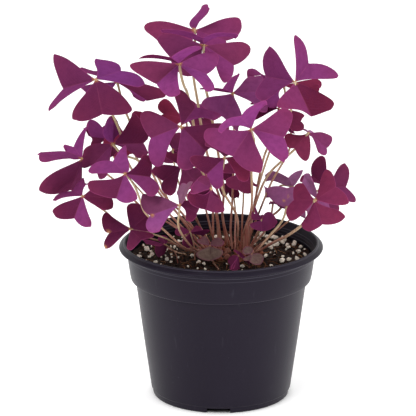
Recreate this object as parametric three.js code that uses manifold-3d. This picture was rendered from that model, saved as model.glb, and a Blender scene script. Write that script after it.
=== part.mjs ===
// Potted purple shamrock: a black nursery pot, potting mix, a crown of small bulbs, and leaves of three
// folded leaflets on thin stalks. Millimetres, +Z up, origin at the centre of the pot's rest face.
import * as THREE from "three";
import { mergeVertices } from "three/addons/utils/BufferGeometryUtils.js";
import Module from "manifold-3d";

// ---- driving dimensions ----
const POT_HEIGHT = 127.8;
const RIM_RADIUS = 82.6;
const FOOT_RADIUS = 54; // outer edge of the face that the pot stands on
const FLOOR_TOP = 1.8;
const POT_SEGMENTS = 36;
const NOTCH_WIDTH = 19;
const NOTCH_HEIGHT = 4.1;
const NOTCH_AZIMUTHS = [-92.2, -2.2, 87.8, 177.8]; // degrees from +X
const CHANNEL_START = 31; // each drain channel runs from here out through the foot
const CHANNEL_WALL = 1.5;
const DRAIN_RADIUS = 4.5;
const DRAIN_CIRCLE = 41;
const WALL_GAP = 0.4; // potting mix to pot
const SOIL_EDGE = 113.4;
const SOIL_RISE = 2.3;
const CROWN_CENTRE = [7.3, 10.1];
const CROWN_RADIUS = 28;
const CROWN_TOP = 117.5;
const CROWN_BOTTOM = 110;
const PIECE_GAP = 0.35;
const BLADE_THICKNESS = 0.56;
const BLADE_CURL = 0.05;
const HUB_RADIUS = 1.7;
const NECK = 4;
const LONG_NECKS = { "06": 7, "17": 10, "18": 8 }; // where a leaflet hangs close along the stalk

// ---- leaves ----
// kind, number, hub, three leaflets [left lobe tip, notch, right lobe tip, five edge shifts left, five right],
// stalk radius, stations down the stalk. Leaflet points are measured from the hub.
const LEAVES = [
  ["pair","01",[-32.93,-58,290.82],[[[-5.78,-33.89,-17.83],[-17.68,-10.03,-13.47],[-38.53,4.75,-3.06],[[-1.3,0.4,-0.3],[-0.1,0,0],[0.7,-0.4,0.1],[0.5,0,0.2],[0,0,0]],[[0.1,0,0.1],[0,0,0],[-0.1,-0.9,-1],[0.2,0.4,0.4],[-0.6,-0.3,-0.4]]],[[30.21,20.62,1.38],[21.5,1.63,-8.46],[26.23,-19.6,-16.02],[[-0.3,0.6,0.7],[-0.1,0.2,0.3],[-0.1,0.3,0.4],[0.6,-0.6,-0.9],[0,0,0]],[[1.1,1.5,0.4],[-0.9,-1.5,-0.5],[0.5,-1.3,-0.9],[0.4,-0.8,-0.6],[-0.5,0.1,0.2]]],[[14.29,-30.65,22.63],[-6.17,-25.24,11.76],[-31.25,-24.08,11.07],[[-0.3,-0.4,0.6],[-0.2,-0.3,0.5],[0,-0.1,0.1],[-0.2,-0.4,0.6],[0,0,0]],[[0,-0.9,2.1],[0.2,-0.5,1.2],[0.4,-1.3,3.1],[-1.2,-0.8,1.8],[0.9,0.6,-1.5]]]],1.15,[[-32.93,-58,290.82],[-32.08,-47.88,281.21],[-30.53,-38.1,271.34],[-28.81,-26.89,263.24],[-27.41,-14.46,257.03],[-24.68,-12.64,245.09],[-23.05,-6.51,233.15],[-21.71,1.92,222.13],[-19.51,7.46,209.5],[-16.7,12.83,196.9],[-13.56,19.23,184.87],[-10.06,24.48,172.42],[-6.58,27.29,159.18],[-3.87,28.09,145.5],[-1.76,27.11,131.72],[0.05,25.08,118]]],
  ["pair","02",[-13.98,-8,293.61],[[[-13.07,-34.49,-17.5],[-26.64,-9.53,-6.82],[-36.87,17.61,1.94],[[0,0,0],[0,0,0],[0,0.8,0.5],[-0.7,-0.4,-0.3],[0,1.2,0.8]],[[0.2,1.3,0.8],[-0.2,-0.3,-0.2],[0.2,0.6,0.4],[0.9,-0.2,0],[0,0,0]]],[[37.18,17.23,-8.24],[24.02,-5.67,-14.91],[16.77,-30.65,-22.72],[[0.2,0.7,0.5],[0.1,-0.4,-0.4],[0.6,2.6,1.8],[-1.1,-1.7,-0.8],[1.1,-0.1,-0.6]],[[2.4,1.9,0.2],[1.1,0.9,0.1],[3.6,3.4,0.7],[0.2,0,-0.1],[-0.2,-1.6,-1]]],[[22.17,-34.46,18.56],[-0.51,-25.88,12.66],[-31.45,-27.65,19.71],[[-0.4,-0.9,1.8],[-0.4,-0.8,1.7],[2.2,1,-1.9],[-0.1,-0.4,0.8],[1.7,-0.6,1.4]],[[0.3,-0.6,1.2],[0.3,-0.5,1.1],[0,-0.1,0.1],[0.2,-0.6,1.3],[0,0,0]]]],1.15,[[-13.98,-8,293.61],[-14.07,0.71,284.9],[-14.14,6.67,274.18],[-13.69,10.22,262.39],[-12.05,12.91,250.48],[-9.42,15.52,238.72],[-7.35,17.6,226.75],[-5.52,19.39,214.69],[-3.53,21.08,202.64],[-1.57,22.57,190.56],[0.09,23.74,178.4],[2.16,24.95,166.31],[1.93,26.48,154.2],[1.11,27.33,141.99],[3.29,27.58,129.87],[6.6,27.83,118]]],
  ["pair","03",[-21.23,25,297.77],[[[-11.99,-33.92,-18.98],[-24.75,-12.76,-10.09],[-40.58,5.31,0.93],[[0,0,0],[0,0,0],[0,0,0],[0,0,0],[0,0,0]],[[0.1,1.7,1.4],[-0.1,0.1,0.1],[-0.2,1.9,1.6],[1.3,0.7,0.7],[-0.8,-0.7,-0.6]]],[[9.46,18.05,16.62],[6.66,1.9,12.47],[11.14,-11.58,20.77],[[-0.6,0.1,0.5],[-6.1,0.1,0.2],[-3.2,-0.2,-0.8],[2.2,0.1,0.3],[-0.8,0.2,0.8]],[[0.4,-0.4,-0.2],[-0.8,1,0.5],[0.3,-0.5,-0.2],[0.5,0.2,0.8],[0.5,0,0.6]]],[[36.9,3.67,6.69],[25.09,-10.66,-5.96],[18.51,-22.34,-23.93],[[-0.2,0.8,0.8],[0.3,-0.4,-0.4],[0.1,0.2,0.2],[2.3,-2.2,-1.9],[0.6,-0.2,-0.1]],[[0,0,0],[0,0,0],[0,0,0],[0,0,0],[0,0,0]]]],1.15,[[-21.23,25,297.77],[-21.06,24.34,285.6],[-21.97,24.08,273.44],[-22.45,24.11,261.26],[-20.79,24.25,249.19],[-18.74,24.35,237.17],[-17.18,24.62,225.07],[-15.18,25.28,213.06],[-12.8,26.17,201.13],[-10.14,27.23,189.27],[-7.36,28.44,177.46],[-4.28,29.78,165.73],[-0.75,31.2,154.14],[1.1,32.52,142.17],[2.47,33.02,130.07],[4.24,32.86,118]]],
  ["pair","04",[-99.63,-20,268.24],[[[-36.79,-12.45,-21.89],[-26.42,11.84,-10.47],[-33.94,25.56,13.95],[[-2.7,4.7,1.4],[0.1,-1,-0.5],[-3.3,6,1.8],[-0.4,-1.4,-1],[0.1,-1.9,-1]],[[-1,0,-1.2],[0.1,0,0.1],[-2.3,-0.3,-4.1],[0.7,-0.2,0.4],[-1,0.7,0.6]]],[[29.2,-20.18,-19.56],[5.79,-20.57,-22.63],[-16.64,-27.74,-24.44],[[-0.5,0.3,0.3],[0.6,0.7,1],[-1.5,-1.2,-1.7],[1.8,-0.2,0],[0.2,-0.2,-0.2]],[[0.6,-0.3,-0.5],[0.3,-0.2,-0.3],[2.2,-0.7,-1.4],[-1.8,-1.1,-0.9],[-0.1,-1.1,-1.3]]],[[-1.16,38.77,7.15],[19.65,22.41,2],[38.68,5.14,-4.2],[[3.6,0,0],[1.2,0.1,0.4],[6.1,0.5,1.5],[4,1.5,0.3],[0,0,0]],[[-0.1,-0.3,0.6],[0.1,0.5,0.2],[0.6,-0.3,0.8],[1.5,1.2,0.4],[0.7,0.6,0.8]]]],1,[[-99.63,-20,268.24],[-94.77,-18.65,257.16],[-89.87,-16.71,246.2],[-85.8,-12.74,235.48],[-82.46,-6.78,225.41],[-79.77,-0.71,215.24],[-77.98,3.78,204.12],[-74.62,4.21,192.51],[-68.52,3.76,182.01],[-61.2,3.89,172.3],[-53.48,4.25,162.9],[-45.64,5.06,153.63],[-37.72,6.28,144.47],[-29.67,7.64,135.45],[-21.61,9.89,126.62],[-13.68,13.19,118]]],
  ["pair","05",[-83.63,25,254.46],[[[38.93,7.86,-12.91],[24.07,-12.14,-11.76],[20.13,-35.96,-6.24],[[0.7,2.7,1.1],[0.1,0.7,0.3],[1.3,4.4,1.8],[-1,-0.3,0.2],[0,0,0]],[[2.2,2.1,0.8],[-0.4,-0.9,-0.6],[1.2,1.4,0.7],[-1.1,0.9,1.2],[-0.4,-1,-0.6]]],[[-19.51,-29.2,-11.7],[-25.34,-5.36,-6.65],[-30.42,19.08,-8.75],[[0,0,0],[0,0,0],[0,0,0],[0,0,0],[0,0,0]],[[0,0,0],[0,0,0],[0,0,0],[1.1,1,0.7],[0,0,0]]],[[-29.88,20.19,7.54],[-11.52,24.07,4.98],[1.85,36.9,0.53],[[0,0,0],[0,0,0],[-0.3,0.2,0.1],[1.5,-5.4,-2.6],[-0.5,0.4,0.2]],[[0,0,0],[0,0,0],[0,0,0],[0,0,0],[0,0,0]]]],1,[[-83.63,25,254.46],[-80.87,24.54,242.89],[-77.57,23.67,231.36],[-73.06,23.01,220.22],[-69.29,21.99,208.83],[-65.06,21.27,197.59],[-59.63,21.11,186.85],[-54.17,20.74,176.13],[-49.31,19.78,165.18],[-41.84,19.14,155.8],[-33.02,18.4,147.64],[-25.6,17.5,138.23],[-19.14,18.5,128.14],[-13.08,20.86,118]]],
  ["pair","06",[58.53,-12,264.11],[[[-31.17,-16.77,-7.46],[-22.98,4.31,3.23],[-19.83,18.01,24.54],[[0,-0.3,-0.2],[-0.5,0.7,0.5],[0.4,-0.7,-0.5],[0.2,-0.1,-0.1],[0,0,0]],[[-1.4,-0.4,-0.8],[-0.4,-0.1,-0.2],[-3,-0.7,-1.6],[-2.1,0.5,0.5],[-0.8,0.4,0.5]]],[[1,24.54,32.19],[11.97,24.39,9.35],[35.52,19.74,-0.19],[[2.2,2.1,-0.2],[0.2,0.3,0.2],[3.2,2.8,-0.8],[0.7,1.2,0.9],[-0.3,-0.1,0.5]],[[0,1.9,1.3],[0,0.9,0.7],[-1.1,3.9,3.2],[1.6,1.9,0.9],[-0.3,-0.8,-0.5]]],[[31.23,9.65,-21.49],[12.95,-17.8,-23.14],[-11.8,-36.03,-10.06],[[-0.8,-1.2,-0.5],[0.2,0.8,0.6],[0.1,-1.1,-1],[2.1,2.9,1],[1.3,0.3,-0.8]],[[1.9,0.2,-1.5],[0.1,0.3,0.1],[3.3,-1.2,-3.9],[-0.3,2.9,2.8],[-1,-1.9,-0.8]]]],1,[[58.53,-12,264.11],[57.04,-22.74,254.37],[54.8,-20.6,241.06],[52.18,-10.58,230.71],[48.24,-0.09,221.26],[42.28,8.82,211.29],[36.45,15.59,199.69],[33.17,20.83,186.42],[30.77,26.35,173.05],[29.07,32.83,160.01],[28.14,40.8,147.75],[26.74,50.4,136.75],[24.53,58.98,125.15],[22.13,48.87,117.98],[21.16,34.25,117.52],[20.42,19.6,118]]],
  ["pair","07",[9.06,-2,252.44],[[[4.6,-13.48,-28.39],[-7.79,2.37,-20.48],[-24.85,14.3,-13.99],[[1.8,-1.2,1],[-0.2,0.1,-0.3],[-0.8,1,0.9],[1.2,-0.6,1.5],[-1.7,1.6,0.7]],[[-0.3,0.2,-0.2],[0,-0.1,-0.4],[0.4,-0.3,-0.7],[0.6,-0.1,1.3],[-0.6,0.2,-0.9]]],[[14.98,26.89,7.04],[21.68,7.77,-0.82],[27.35,-9.79,-12.23],[[1.8,-1.3,-1],[-0.1,0.1,0.1],[2.3,-1.8,-1.4],[4.1,7.4,3.6],[0.7,1.5,0.7]],[[2.8,3.2,1.8],[0,-0.9,-0.7],[1.1,1.5,0.9],[0,0,0],[0,0,0]]],[[5.01,-22.78,22.1],[-8.15,-19.67,9.04],[-26.85,-15.89,7.97],[[-1.3,-1.5,1.4],[-0.1,-0.2,0.2],[-3,-2.4,1.5],[0.1,-0.4,0.9],[-0.6,-0.8,0.8]],[[0,-0.5,1.3],[-0.1,0.2,-0.7],[0.5,-0.6,1.7],[-0.2,-0.1,0.2],[0.6,0.2,-0.7]]]],1,[[9.06,-2,252.44],[9.53,8.97,247.49],[9.98,19.49,241.66],[10.35,28.64,233.9],[10.57,34.76,223.61],[10.62,37.49,211.91],[10.57,38.05,199.89],[10.42,37.09,187.9],[10.16,34.82,176.08],[9.76,31.59,164.48],[9.2,28.03,152.99],[8.35,24.74,141.44],[7.81,21.99,129.74],[9,19.6,118]]],
  ["pair","08",[22.73,-88,246.33],[[[5.54,-27.05,-26.84],[-14.18,-7.46,-19.78],[-36.64,7.77,-9.64],[[-0.4,-0.1,-0.5],[-0.6,0.1,-0.3],[-1.7,1.1,0.3],[-0.7,-0.2,-0.8],[-0.5,-1,-1.7]],[[-0.2,0.4,0.6],[-0.2,-0.8,-1.4],[0,0.9,1.6],[0.3,0.2,0.4],[0,0,0]]],[[31.77,19.84,8.84],[25.59,-0.38,-6.32],[24.41,-23.24,-18.33],[[0.5,-0.2,-0.3],[0.1,0,0],[-0.3,0.5,0.6],[0,0,0],[0,0,0]],[[0.2,0.3,0.1],[0.3,0.3,0.1],[2.9,2.6,1.2],[1.6,-3.6,-3],[2.2,-1.8,-1.8]]],[[9.34,-22.77,28.66],[-8.21,-20.95,16.51],[-25.79,-26.22,7.78],[[-2.2,-2.8,3.5],[1,0.3,0.2],[-0.9,-0.9,1.1],[-0.9,-0.5,0.2],[0,0,0]],[[-0.5,-2.6,4.6],[-0.2,-1.1,2],[-0.1,-0.5,1],[-1.1,-1,0.8],[0,0,0]]]],1,[[22.73,-88,246.33],[24.15,-78.98,239.17],[25.51,-70.28,231.63],[25.1,-62.27,223.25],[24.2,-55.08,214.18],[23.81,-48.58,204.57],[23.91,-42.41,194.74],[24.27,-36.34,184.85],[24.52,-30.27,174.96],[24.33,-24.1,165.12],[23.11,-17.73,155.51],[20.59,-11.11,146.31],[18.39,-4.42,137.09],[17.4,2.18,127.59],[17.05,8.71,118]]],
  ["pair","09",[-31.8,-48.67,237.7],[[[-21.05,-10.43,-29.48],[-24.07,2.8,-10.33],[-31.8,19.89,3.81],[[-1.5,0.7,0.4],[-1,0.5,0.3],[-0.3,0.1,0.1],[-1,0.9,1],[0,0,0]],[[0.1,0,0.1],[0.1,0.1,0.2],[-0.3,0.5,0.4],[0.2,0,0.1],[-1.1,0.3,-0.3]]],[[-2.41,31.66,21.98],[11.33,21.78,9.86],[32.55,21.06,2.67],[[1.4,0.9,0.3],[-0.1,0,0.1],[1.1,0.7,0.1],[-0.7,0.7,0.9],[0,0,0]],[[-0.2,2.5,2.1],[-0.1,3.2,2.6],[-3.2,1.1,1.8],[-0.2,-0.7,-0.5],[0.2,0.1,0]]],[[38.32,5,-2.35],[19.66,-6.85,-18.24],[4.04,-26.04,-28.24],[[0,-0.6,-1.2],[0,-0.2,-0.3],[0.1,-1.1,-2.1],[-0.8,0.4,1],[0,0,0]],[[0,0,0],[0,0,0],[0,-0.1,-0.1],[0,0,0],[0,-0.1,-0.1]]]],1,[[-31.8,-48.67,237.7],[-28.39,-45.57,226.91],[-24.24,-42.07,216.5],[-19.55,-38.7,206.29],[-14.9,-35.62,195.97],[-11.05,-31.06,185.89],[-8.52,-24.17,176.76],[-6.82,-16.04,168.48],[-5.4,-7.56,160.48],[-4.09,0.17,151.77],[-3,5.23,141.32],[-2.23,6.51,129.71],[-1.64,6,118]]],
  ["pair","10",[-86.8,-4.89,210.98],[[[21.22,-5.68,22.7],[24.44,-4.83,1.77],[27.14,11.01,-11.86],[[1.5,-0.2,-1],[-0.3,0.1,0.1],[0.7,-0.1,0.9],[4.3,-0.7,-0.7],[-0.8,0.1,1.9]],[[0.4,-0.3,0.5],[0.3,-0.1,0.2],[-1.2,3,-4.5],[-0.7,0.4,-0.6],[0,0,0]]],[[4.19,23.66,8.45],[0.08,7.87,15.69],[-1.43,-7.9,24.05],[[-0.5,-0.4,0.6],[-0.2,-0.2,0.2],[1,1.1,-0.3],[0.3,1.1,2.4],[0.2,0.1,-0.5]],[[-4.5,-2.3,0.7],[-2.7,-1.3,0.4],[-3.9,-1.8,1.3],[0,0,0],[-0.7,-0.4,0]]],[[-9.59,-16.64,-24.63],[-16.07,-1.1,-16.49],[-24.13,15.33,-12.67],[[0,0,0],[0,0,0],[0,0,0],[1.8,-0.3,1.3],[0,0,0]],[[-0.6,1.6,1],[-0.1,0.3,0.2],[-1.1,2.7,1.7],[-3.5,-1.9,-5],[-0.5,-0.2,-0.6]]]],1,[[-86.8,-4.89,210.98],[-79.2,-3.06,201.6],[-68.42,0.32,196.81],[-59.29,2.91,189.13],[-51.01,5.56,180.4],[-46.63,7.87,169.35],[-42.07,9.55,158.1],[-35.37,11.27,147.9],[-28.67,13.17,137.74],[-21.84,15.24,127.68],[-14.51,17.34,118]]],
  ["pair","11",[-111.01,-20,203.05],[[[-32.27,-23.8,5.71],[-26.98,-2,2.39],[-35.99,18.29,-2.54],[[-0.2,1.4,0.8],[-0.1,-0.1,-0.1],[-0.4,1,0.6],[-0.2,5.3,3.3],[-0.4,-1.2,-0.7]],[[0,1,3.4],[0,0.5,1.5],[0.2,1.2,3.9],[1,0.3,1],[-1,0.2,0.6]]],[[-2.6,29.39,-30.05],[-9.07,1.71,-26.77],[-33.15,-13.72,-22.38],[[-0.7,-0.6,0.3],[0.1,0.1,0.1],[-0.2,-0.1,0.1],[0,0,0],[0.1,0.1,0]],[[-0.7,-0.5,1.1],[0,0.1,-0.3],[0.8,0.6,-1.2],[-0.3,-0.1,-0.6],[-0.5,0,-1.4]]],[[4.6,23.47,20.91],[-6.93,16.2,4.97],[-15.49,27.27,3.69],[[-2.7,2.7,0.3],[0.2,0.1,0.3],[-1.5,1.9,0.6],[-0.3,1.7,1.4],[-0.8,1.7,1]],[[-1.5,-0.2,-1.8],[-3.4,1.4,-2.1],[0.4,-0.7,-0.3],[-0.5,0.4,-0.1],[-0.5,0.4,-0.1]]]],0.9,[[-111.01,-20,203.05],[-113.84,-7.99,201.03],[-116.29,4.06,198.77],[-117.8,16.13,195.9],[-117.03,27.84,191.73],[-111.13,36.43,185.34],[-101.15,38.73,178.33],[-90.75,38.49,171.4],[-81.75,39.22,162.81],[-73.6,39.99,153.37],[-64.51,38.58,144.95],[-54.15,35.16,138.92],[-43.66,29.81,134.77],[-33.92,23.61,130.01],[-24.74,17.82,123.82],[-16.32,10.64,118]]],
  ["pair","12",[-75.95,-70,204.84],[[[-28.17,15.97,0.29],[-9.61,18.32,5.35],[0.25,27.82,15.77],[[0,0.2,0.1],[0,0.2,0.1],[-0.3,-0.4,-0.3],[-0.4,1.7,1],[-0.5,0,-0.1]],[[-2.3,0.8,-0.4],[4.4,-2.9,-0.2],[-2.8,1.7,0],[0.2,-0.6,-0.3],[0,0,0]]],[[10.86,-26.41,-12.15],[-6.27,-13.67,-15.86],[-27.93,-10.32,-9.2],[[-2.3,-0.2,-1],[0.6,0.2,0.7],[-4.1,-0.3,-1.5],[-0.2,-1.4,-1.6],[0.2,-0.4,-0.3]],[[-0.1,-0.2,-0.3],[0.2,-1.1,-1.5],[-0.1,0.7,1],[0,-0.1,-0.1],[0.1,0,0]]],[[18.87,21.64,10.14],[20.31,6.54,-4.18],[25.01,-11.51,-12.76],[[2.1,-0.2,-1.2],[1,0,-0.4],[1.7,-0.4,-1.1],[0,0,0],[1.2,-0.3,-1.2]],[[0.4,0.5,0.2],[0,0,0],[-0.3,-0.9,-0.5],[2.3,0.4,-0.5],[0.1,-0.2,-0.1]]]],0.9,[[-75.95,-70,204.84],[-71.55,-61.32,197.57],[-67.62,-54.19,188.54],[-64.4,-49.37,177.87],[-60.86,-46.57,166.57],[-53.01,-43.96,157.85],[-44.64,-41.71,149.32],[-37.1,-37.88,140.66],[-31.43,-30.15,133.21],[-25.45,-21.42,127.21],[-18.12,-13.04,122.31],[-10.13,-4.92,118]]],
  ["pair","13",[-109.95,-45.8,179.69],[[[-23.64,13.45,-6.9],[-8.6,17.68,-0.67],[1.14,26.62,8.35],[[-0.6,2.8,1.1],[-0.2,0,-0.1],[-0.6,2.2,0.8],[-2.2,1.8,0.1],[-0.5,0.1,-0.1]],[[-0.7,1.1,0.2],[-0.5,0.8,0.2],[1.9,-5,-1.9],[-0.1,0.2,0.1],[-3,-2.6,-3.3]]],[[6.19,-18.05,-19.56],[-6.69,-6.07,-16.61],[-23.45,1.36,-14.06],[[-1.6,0.4,-1.1],[0.7,-0.3,0.2],[-1.7,0.5,-0.8],[0.2,-0.7,-1],[0.3,-0.8,-1.1]],[[-0.1,0,-0.1],[0,0,-0.1],[0.1,-0.2,-0.4],[-2.4,0.1,-1.3],[-0.5,-0.1,-0.6]]],[[21.62,20.29,5.44],[23.47,1.11,-2.39],[22.5,-19.32,-5.1],[[0,0,0],[0,0,0],[0,0,0],[0,0,0],[0,0,0]],[[0.4,0.9,0.4],[-0.9,-1.7,-0.7],[0.1,0.7,0.3],[-0.4,-1,-0.4],[0.3,0.2,0.1]]]],0.8,[[-109.95,-45.8,179.69],[-103.51,-38.58,172.71],[-97.35,-30.96,165.93],[-91.45,-23.27,159.03],[-85.72,-16.3,151.24],[-78.27,-10.06,144.31],[-69.91,-4.53,137.84],[-60.41,-0.8,131.67],[-49.42,1.41,127.68],[-37.92,2.55,124.7],[-26.59,3.45,121.04],[-15.26,5.64,118]]],
  ["pair","14",[-32.68,-82.13,183.14],[[[-22.61,-17.5,-16.93],[-23.24,-0.18,-8.27],[-29.49,15.22,2],[[-0.8,0.8,0.3],[-0.5,0.5,0.2],[-0.1,0.2,0.1],[-1.2,0.6,0],[0,0,0]],[[0.7,0.1,0.4],[0.1,0,0.1],[-1,-0.2,-0.6],[-0.9,-0.6,-0.8],[-1.4,1.3,0.8]]],[[-0.72,23.12,7.62],[4.9,7.9,14.78],[10.3,-7.99,20.41],[[1,-0.9,0.5],[-0.9,0.8,-0.5],[-1.4,1.6,-0.3],[-0.5,0.8,0.2],[0.2,-0.1,0.1]],[[-1.3,2.1,0.6],[1.8,-2.6,-0.2],[-1.5,2.4,0.5],[0,0,0],[0,0,0]]],[[14.25,16.18,-3.21],[13.52,-1.34,-6.13],[8.91,-18.33,-7.73],[[-0.5,0.5,0.4],[-0.8,1.7,1.1],[0.1,-0.5,-0.3],[0,0,0],[0,0,0]],[[1.5,1.3,0.1],[1.2,1,0.1],[0.2,0.2,0],[0,0,0],[0,0,0]]]],0.9,[[-32.68,-82.13,183.14],[-33.31,-75.03,173.63],[-34.16,-67.41,164.56],[-33.49,-58.81,156.43],[-31.26,-49.8,149.02],[-28.43,-40.78,141.82],[-25.65,-31.46,135],[-22.21,-22.06,128.63],[-15.45,-14.27,122.9],[-6.34,-8.44,118]]],
  ["pair","15",[-8.25,-110.46,204.91],[[[8.67,2.08,-19.16],[-3.86,-5.97,-15.12],[-16.47,-10.78,-7.65],[[0.8,2.2,0.7],[-1.2,-1.2,-2.2],[-0.5,1,0.4],[0,0,0],[1.3,0.3,-1.8]],[[1.5,-0.4,-1],[0.3,-0.4,-2],[0.7,0.3,4.2],[0,0,0],[-1.7,-0.8,-0.2]]],[[-15.39,-7.62,0.64],[-10.81,3.76,5.74],[-4.64,15.59,5.92],[[0,0,0],[0,0,0],[-0.5,-0.3,-0.1],[0,0,0],[-1,-0.7,-0.2]],[[0,0,0],[0,0,0],[0,0,0],[0,0,0],[0,0,0]]],[[5.55,7.98,-12.23],[-2.47,2.24,-9.65],[-10.54,-2.99,-4.88],[[0,0,0],[0,0,0],[0,0,0],[0,0,0],[0,0,0]],[[0,0,0],[0,0,0],[0,0,0],[0,0,0],[0,0,0]]]],1,[[-8.25,-110.46,204.91],[-7.97,-100.13,198.34],[-7.7,-89.63,192.04],[-7.45,-78.81,186.31],[-7.23,-67.65,181.28],[-7.04,-56.34,176.58],[-6.88,-45.09,171.73],[-6.74,-34.16,166.21],[-6.63,-23.95,159.48],[-6.56,-15.16,150.98],[-6.52,-8.52,140.72],[-6.51,-3.57,129.52],[-6.52,0.59,118]]],
  ["pair","16",[2.3,-76.78,220.2],[[[-6.03,-18.51,-19.99],[-14.04,-3.67,-12.49],[-27.32,5.74,-2.45],[[-0.3,0.1,0],[-0.2,0.1,0],[-0.1,0,0],[0.2,0,0.1],[0,0,0]],[[1.2,-0.4,-0.9],[0,-0.1,-0.4],[0.1,-0.7,-1.2],[0,0,0],[0,0,0]]],[[22.89,15.42,-4.89],[19.06,-1.5,-7.54],[16.62,-17.51,-14.22],[[0,0,0],[0,0,0],[0,0,0],[0,0,0],[0,0,0]],[[0.5,0.5,0.2],[0.2,0.2,0.1],[0.3,0.3,0.1],[0,0,0],[0,0,0]]],[[-14.22,22.17,7.93],[1.15,17.62,9.75],[16.96,20.21,7.79],[[0.5,0.9,0.8],[0.3,0.5,0.4],[0.1,0.2,0.2],[0,0,0],[0,0,0]],[[0,0,0],[0,0,0],[0,0,0],[0,0,0],[0,0,0]]]],1,[[2.3,-76.78,220.2],[1.18,-69.9,210.6],[-0.47,-62.7,201.32],[-0.16,-55.23,192.11],[1.83,-47.57,183.27],[5.19,-39.88,174.88],[9.02,-32.3,166.58],[12.09,-24.89,157.83],[13.46,-17.79,148.44],[13.49,-11.21,138.56],[12.94,-5.16,128.35],[12.11,0.59,118]]],
  ["pair","17",[70.21,10,216],[[[-2.4,-8.8,-20.91],[-11.03,-0.84,-12.3],[-19.21,10.01,-6.54],[[0.2,0,0.1],[0.9,-0.2,0.3],[-0.9,0.3,0],[-0.2,0.2,0.2],[-0.2,0,-0.3]],[[-0.1,-0.6,-1],[-0.1,-0.5,-0.8],[0,-0.1,-0.1],[-0.9,-0.7,-1.9],[0,0,0]]],[[19.48,12.15,-6.72],[15.03,-1.66,-11.82],[11.12,-16.1,-13.83],[[0.3,0.7,0.4],[0.2,0,-0.1],[0.1,-0.3,-0.3],[-0.6,-0.7,-0.2],[0.8,0.2,-0.4]],[[0.9,1.1,0.1],[0.6,0.9,0.2],[1.4,1.7,0.1],[0.1,-0.8,-0.6],[-0.4,-0.8,-0.3]]],[[-3.94,14.91,-0.35],[-0.02,10.43,-0.79],[4.97,14.33,-3.55],[[0,0,0],[0,0,0],[0,0,0],[0,0,0],[0,0,0]],[[-0.2,-1.5,-0.8],[0.3,-1.8,-1.2],[-1.6,0.9,1.2],[-0.5,0.6,0.6],[0.4,0.2,0]]]],1,[[70.21,10,216],[64.01,11.2,206.63],[55.86,11.3,198.71],[47.69,11.81,190.81],[39.89,12.65,182.6],[34.23,13.43,172.81],[30.29,13.88,162.16],[26.76,14.13,151.35],[23.81,14.36,140.38],[21.64,14.66,129.22],[19.86,15,118]]],
  ["pair","18",[73.86,-56.11,179.46],[[[10.81,15.24,20.07],[16.29,1.99,10.35],[25.92,-8.73,0.96],[[0.3,-0.2,0],[0.1,0,0],[0.2,0.3,0.4],[0.1,0.1,0.2],[0.3,0.6,0.8]],[[-0.1,0,0],[-0.1,-0.1,-0.2],[0.5,0.7,1.2],[0.3,0.1,0.3],[1,-0.1,0.3]]],[[-20.12,4.64,-18.32],[-16.46,10.2,-3.04],[-14.08,22.66,6.93],[[0,0,0.1],[0.4,-0.3,-0.2],[-1.1,1.1,1],[-2.5,1.4,-0.1],[0.1,-0.1,-0.1]],[[-0.3,0,-0.2],[-0.2,0,-0.1],[-0.1,0,0],[0,0,0],[0,0,0]]],[[23.4,-10.19,-10.92],[5.44,-7.93,-17.62],[-6.13,4.06,-26.68],[[0.1,-0.3,-0.9],[-0.3,-0.4,-1.4],[-1.7,-0.3,-1.9],[0.8,-0.4,-0.7],[0.6,-0.3,-0.5]],[[0.1,-0.1,-0.2],[-0.4,0.4,0.1],[-2.8,2.3,-0.4],[0.4,-0.3,0.4],[0,0,0]]]],1.2,[[73.86,-56.11,179.46],[72.18,-49.71,170.86],[69.03,-44.6,161.86],[63.55,-40.53,153.47],[57.07,-35.28,146.55],[50.87,-28.89,140.36],[44.73,-21.64,135.11],[39.2,-14.12,129.59],[33.91,-6.76,123.63],[28.28,0.61,118]]],
  ["pair","19",[85.25,22,167.19],[[[16.11,15.84,15.14],[16.72,9.39,-2.67],[24.12,-5.07,-10.35],[[0.4,0.1,-0.4],[0.7,0.2,-0.5],[1.9,0.4,-1.6],[1.6,1.4,1.5],[0.7,0.4,0.1]],[[0,0,0],[0,0,0],[0.3,0.6,0.3],[0.5,-0.5,-0.5],[0.3,0.1,0]]],[[-20.67,-10.8,10.75],[-11.5,3.61,8.25],[-4.32,11.6,23.29],[[0.1,1.2,0.6],[0.1,0.8,0.4],[-0.7,-0.8,-0.1],[-0.4,0.9,0.8],[-1,-1.6,-0.3]],[[0.5,0.1,0.1],[0.2,0,0],[0.4,-0.1,-0.2],[-2.4,0.1,0.4],[-0.3,-0.1,-0.2]]],[[11.06,7.09,-22.07],[2.74,-6.3,-17.56],[-8.75,-17.95,-16.24],[[0,0,0],[0,0,0],[0.3,0.3,0],[0,0,0],[0.4,0.4,-0.1]],[[0,0,0],[0,0,0],[0,0,0],[0,0,0],[0,0,0]]]],1,[[85.25,22,167.19],[74.61,21.9,162.44],[63.79,22.35,158.14],[53.25,23.44,153.49],[45.29,23.66,145.09],[35.86,24.09,138.41],[30.09,23.11,128.36],[24.94,21.71,118]]],
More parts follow.
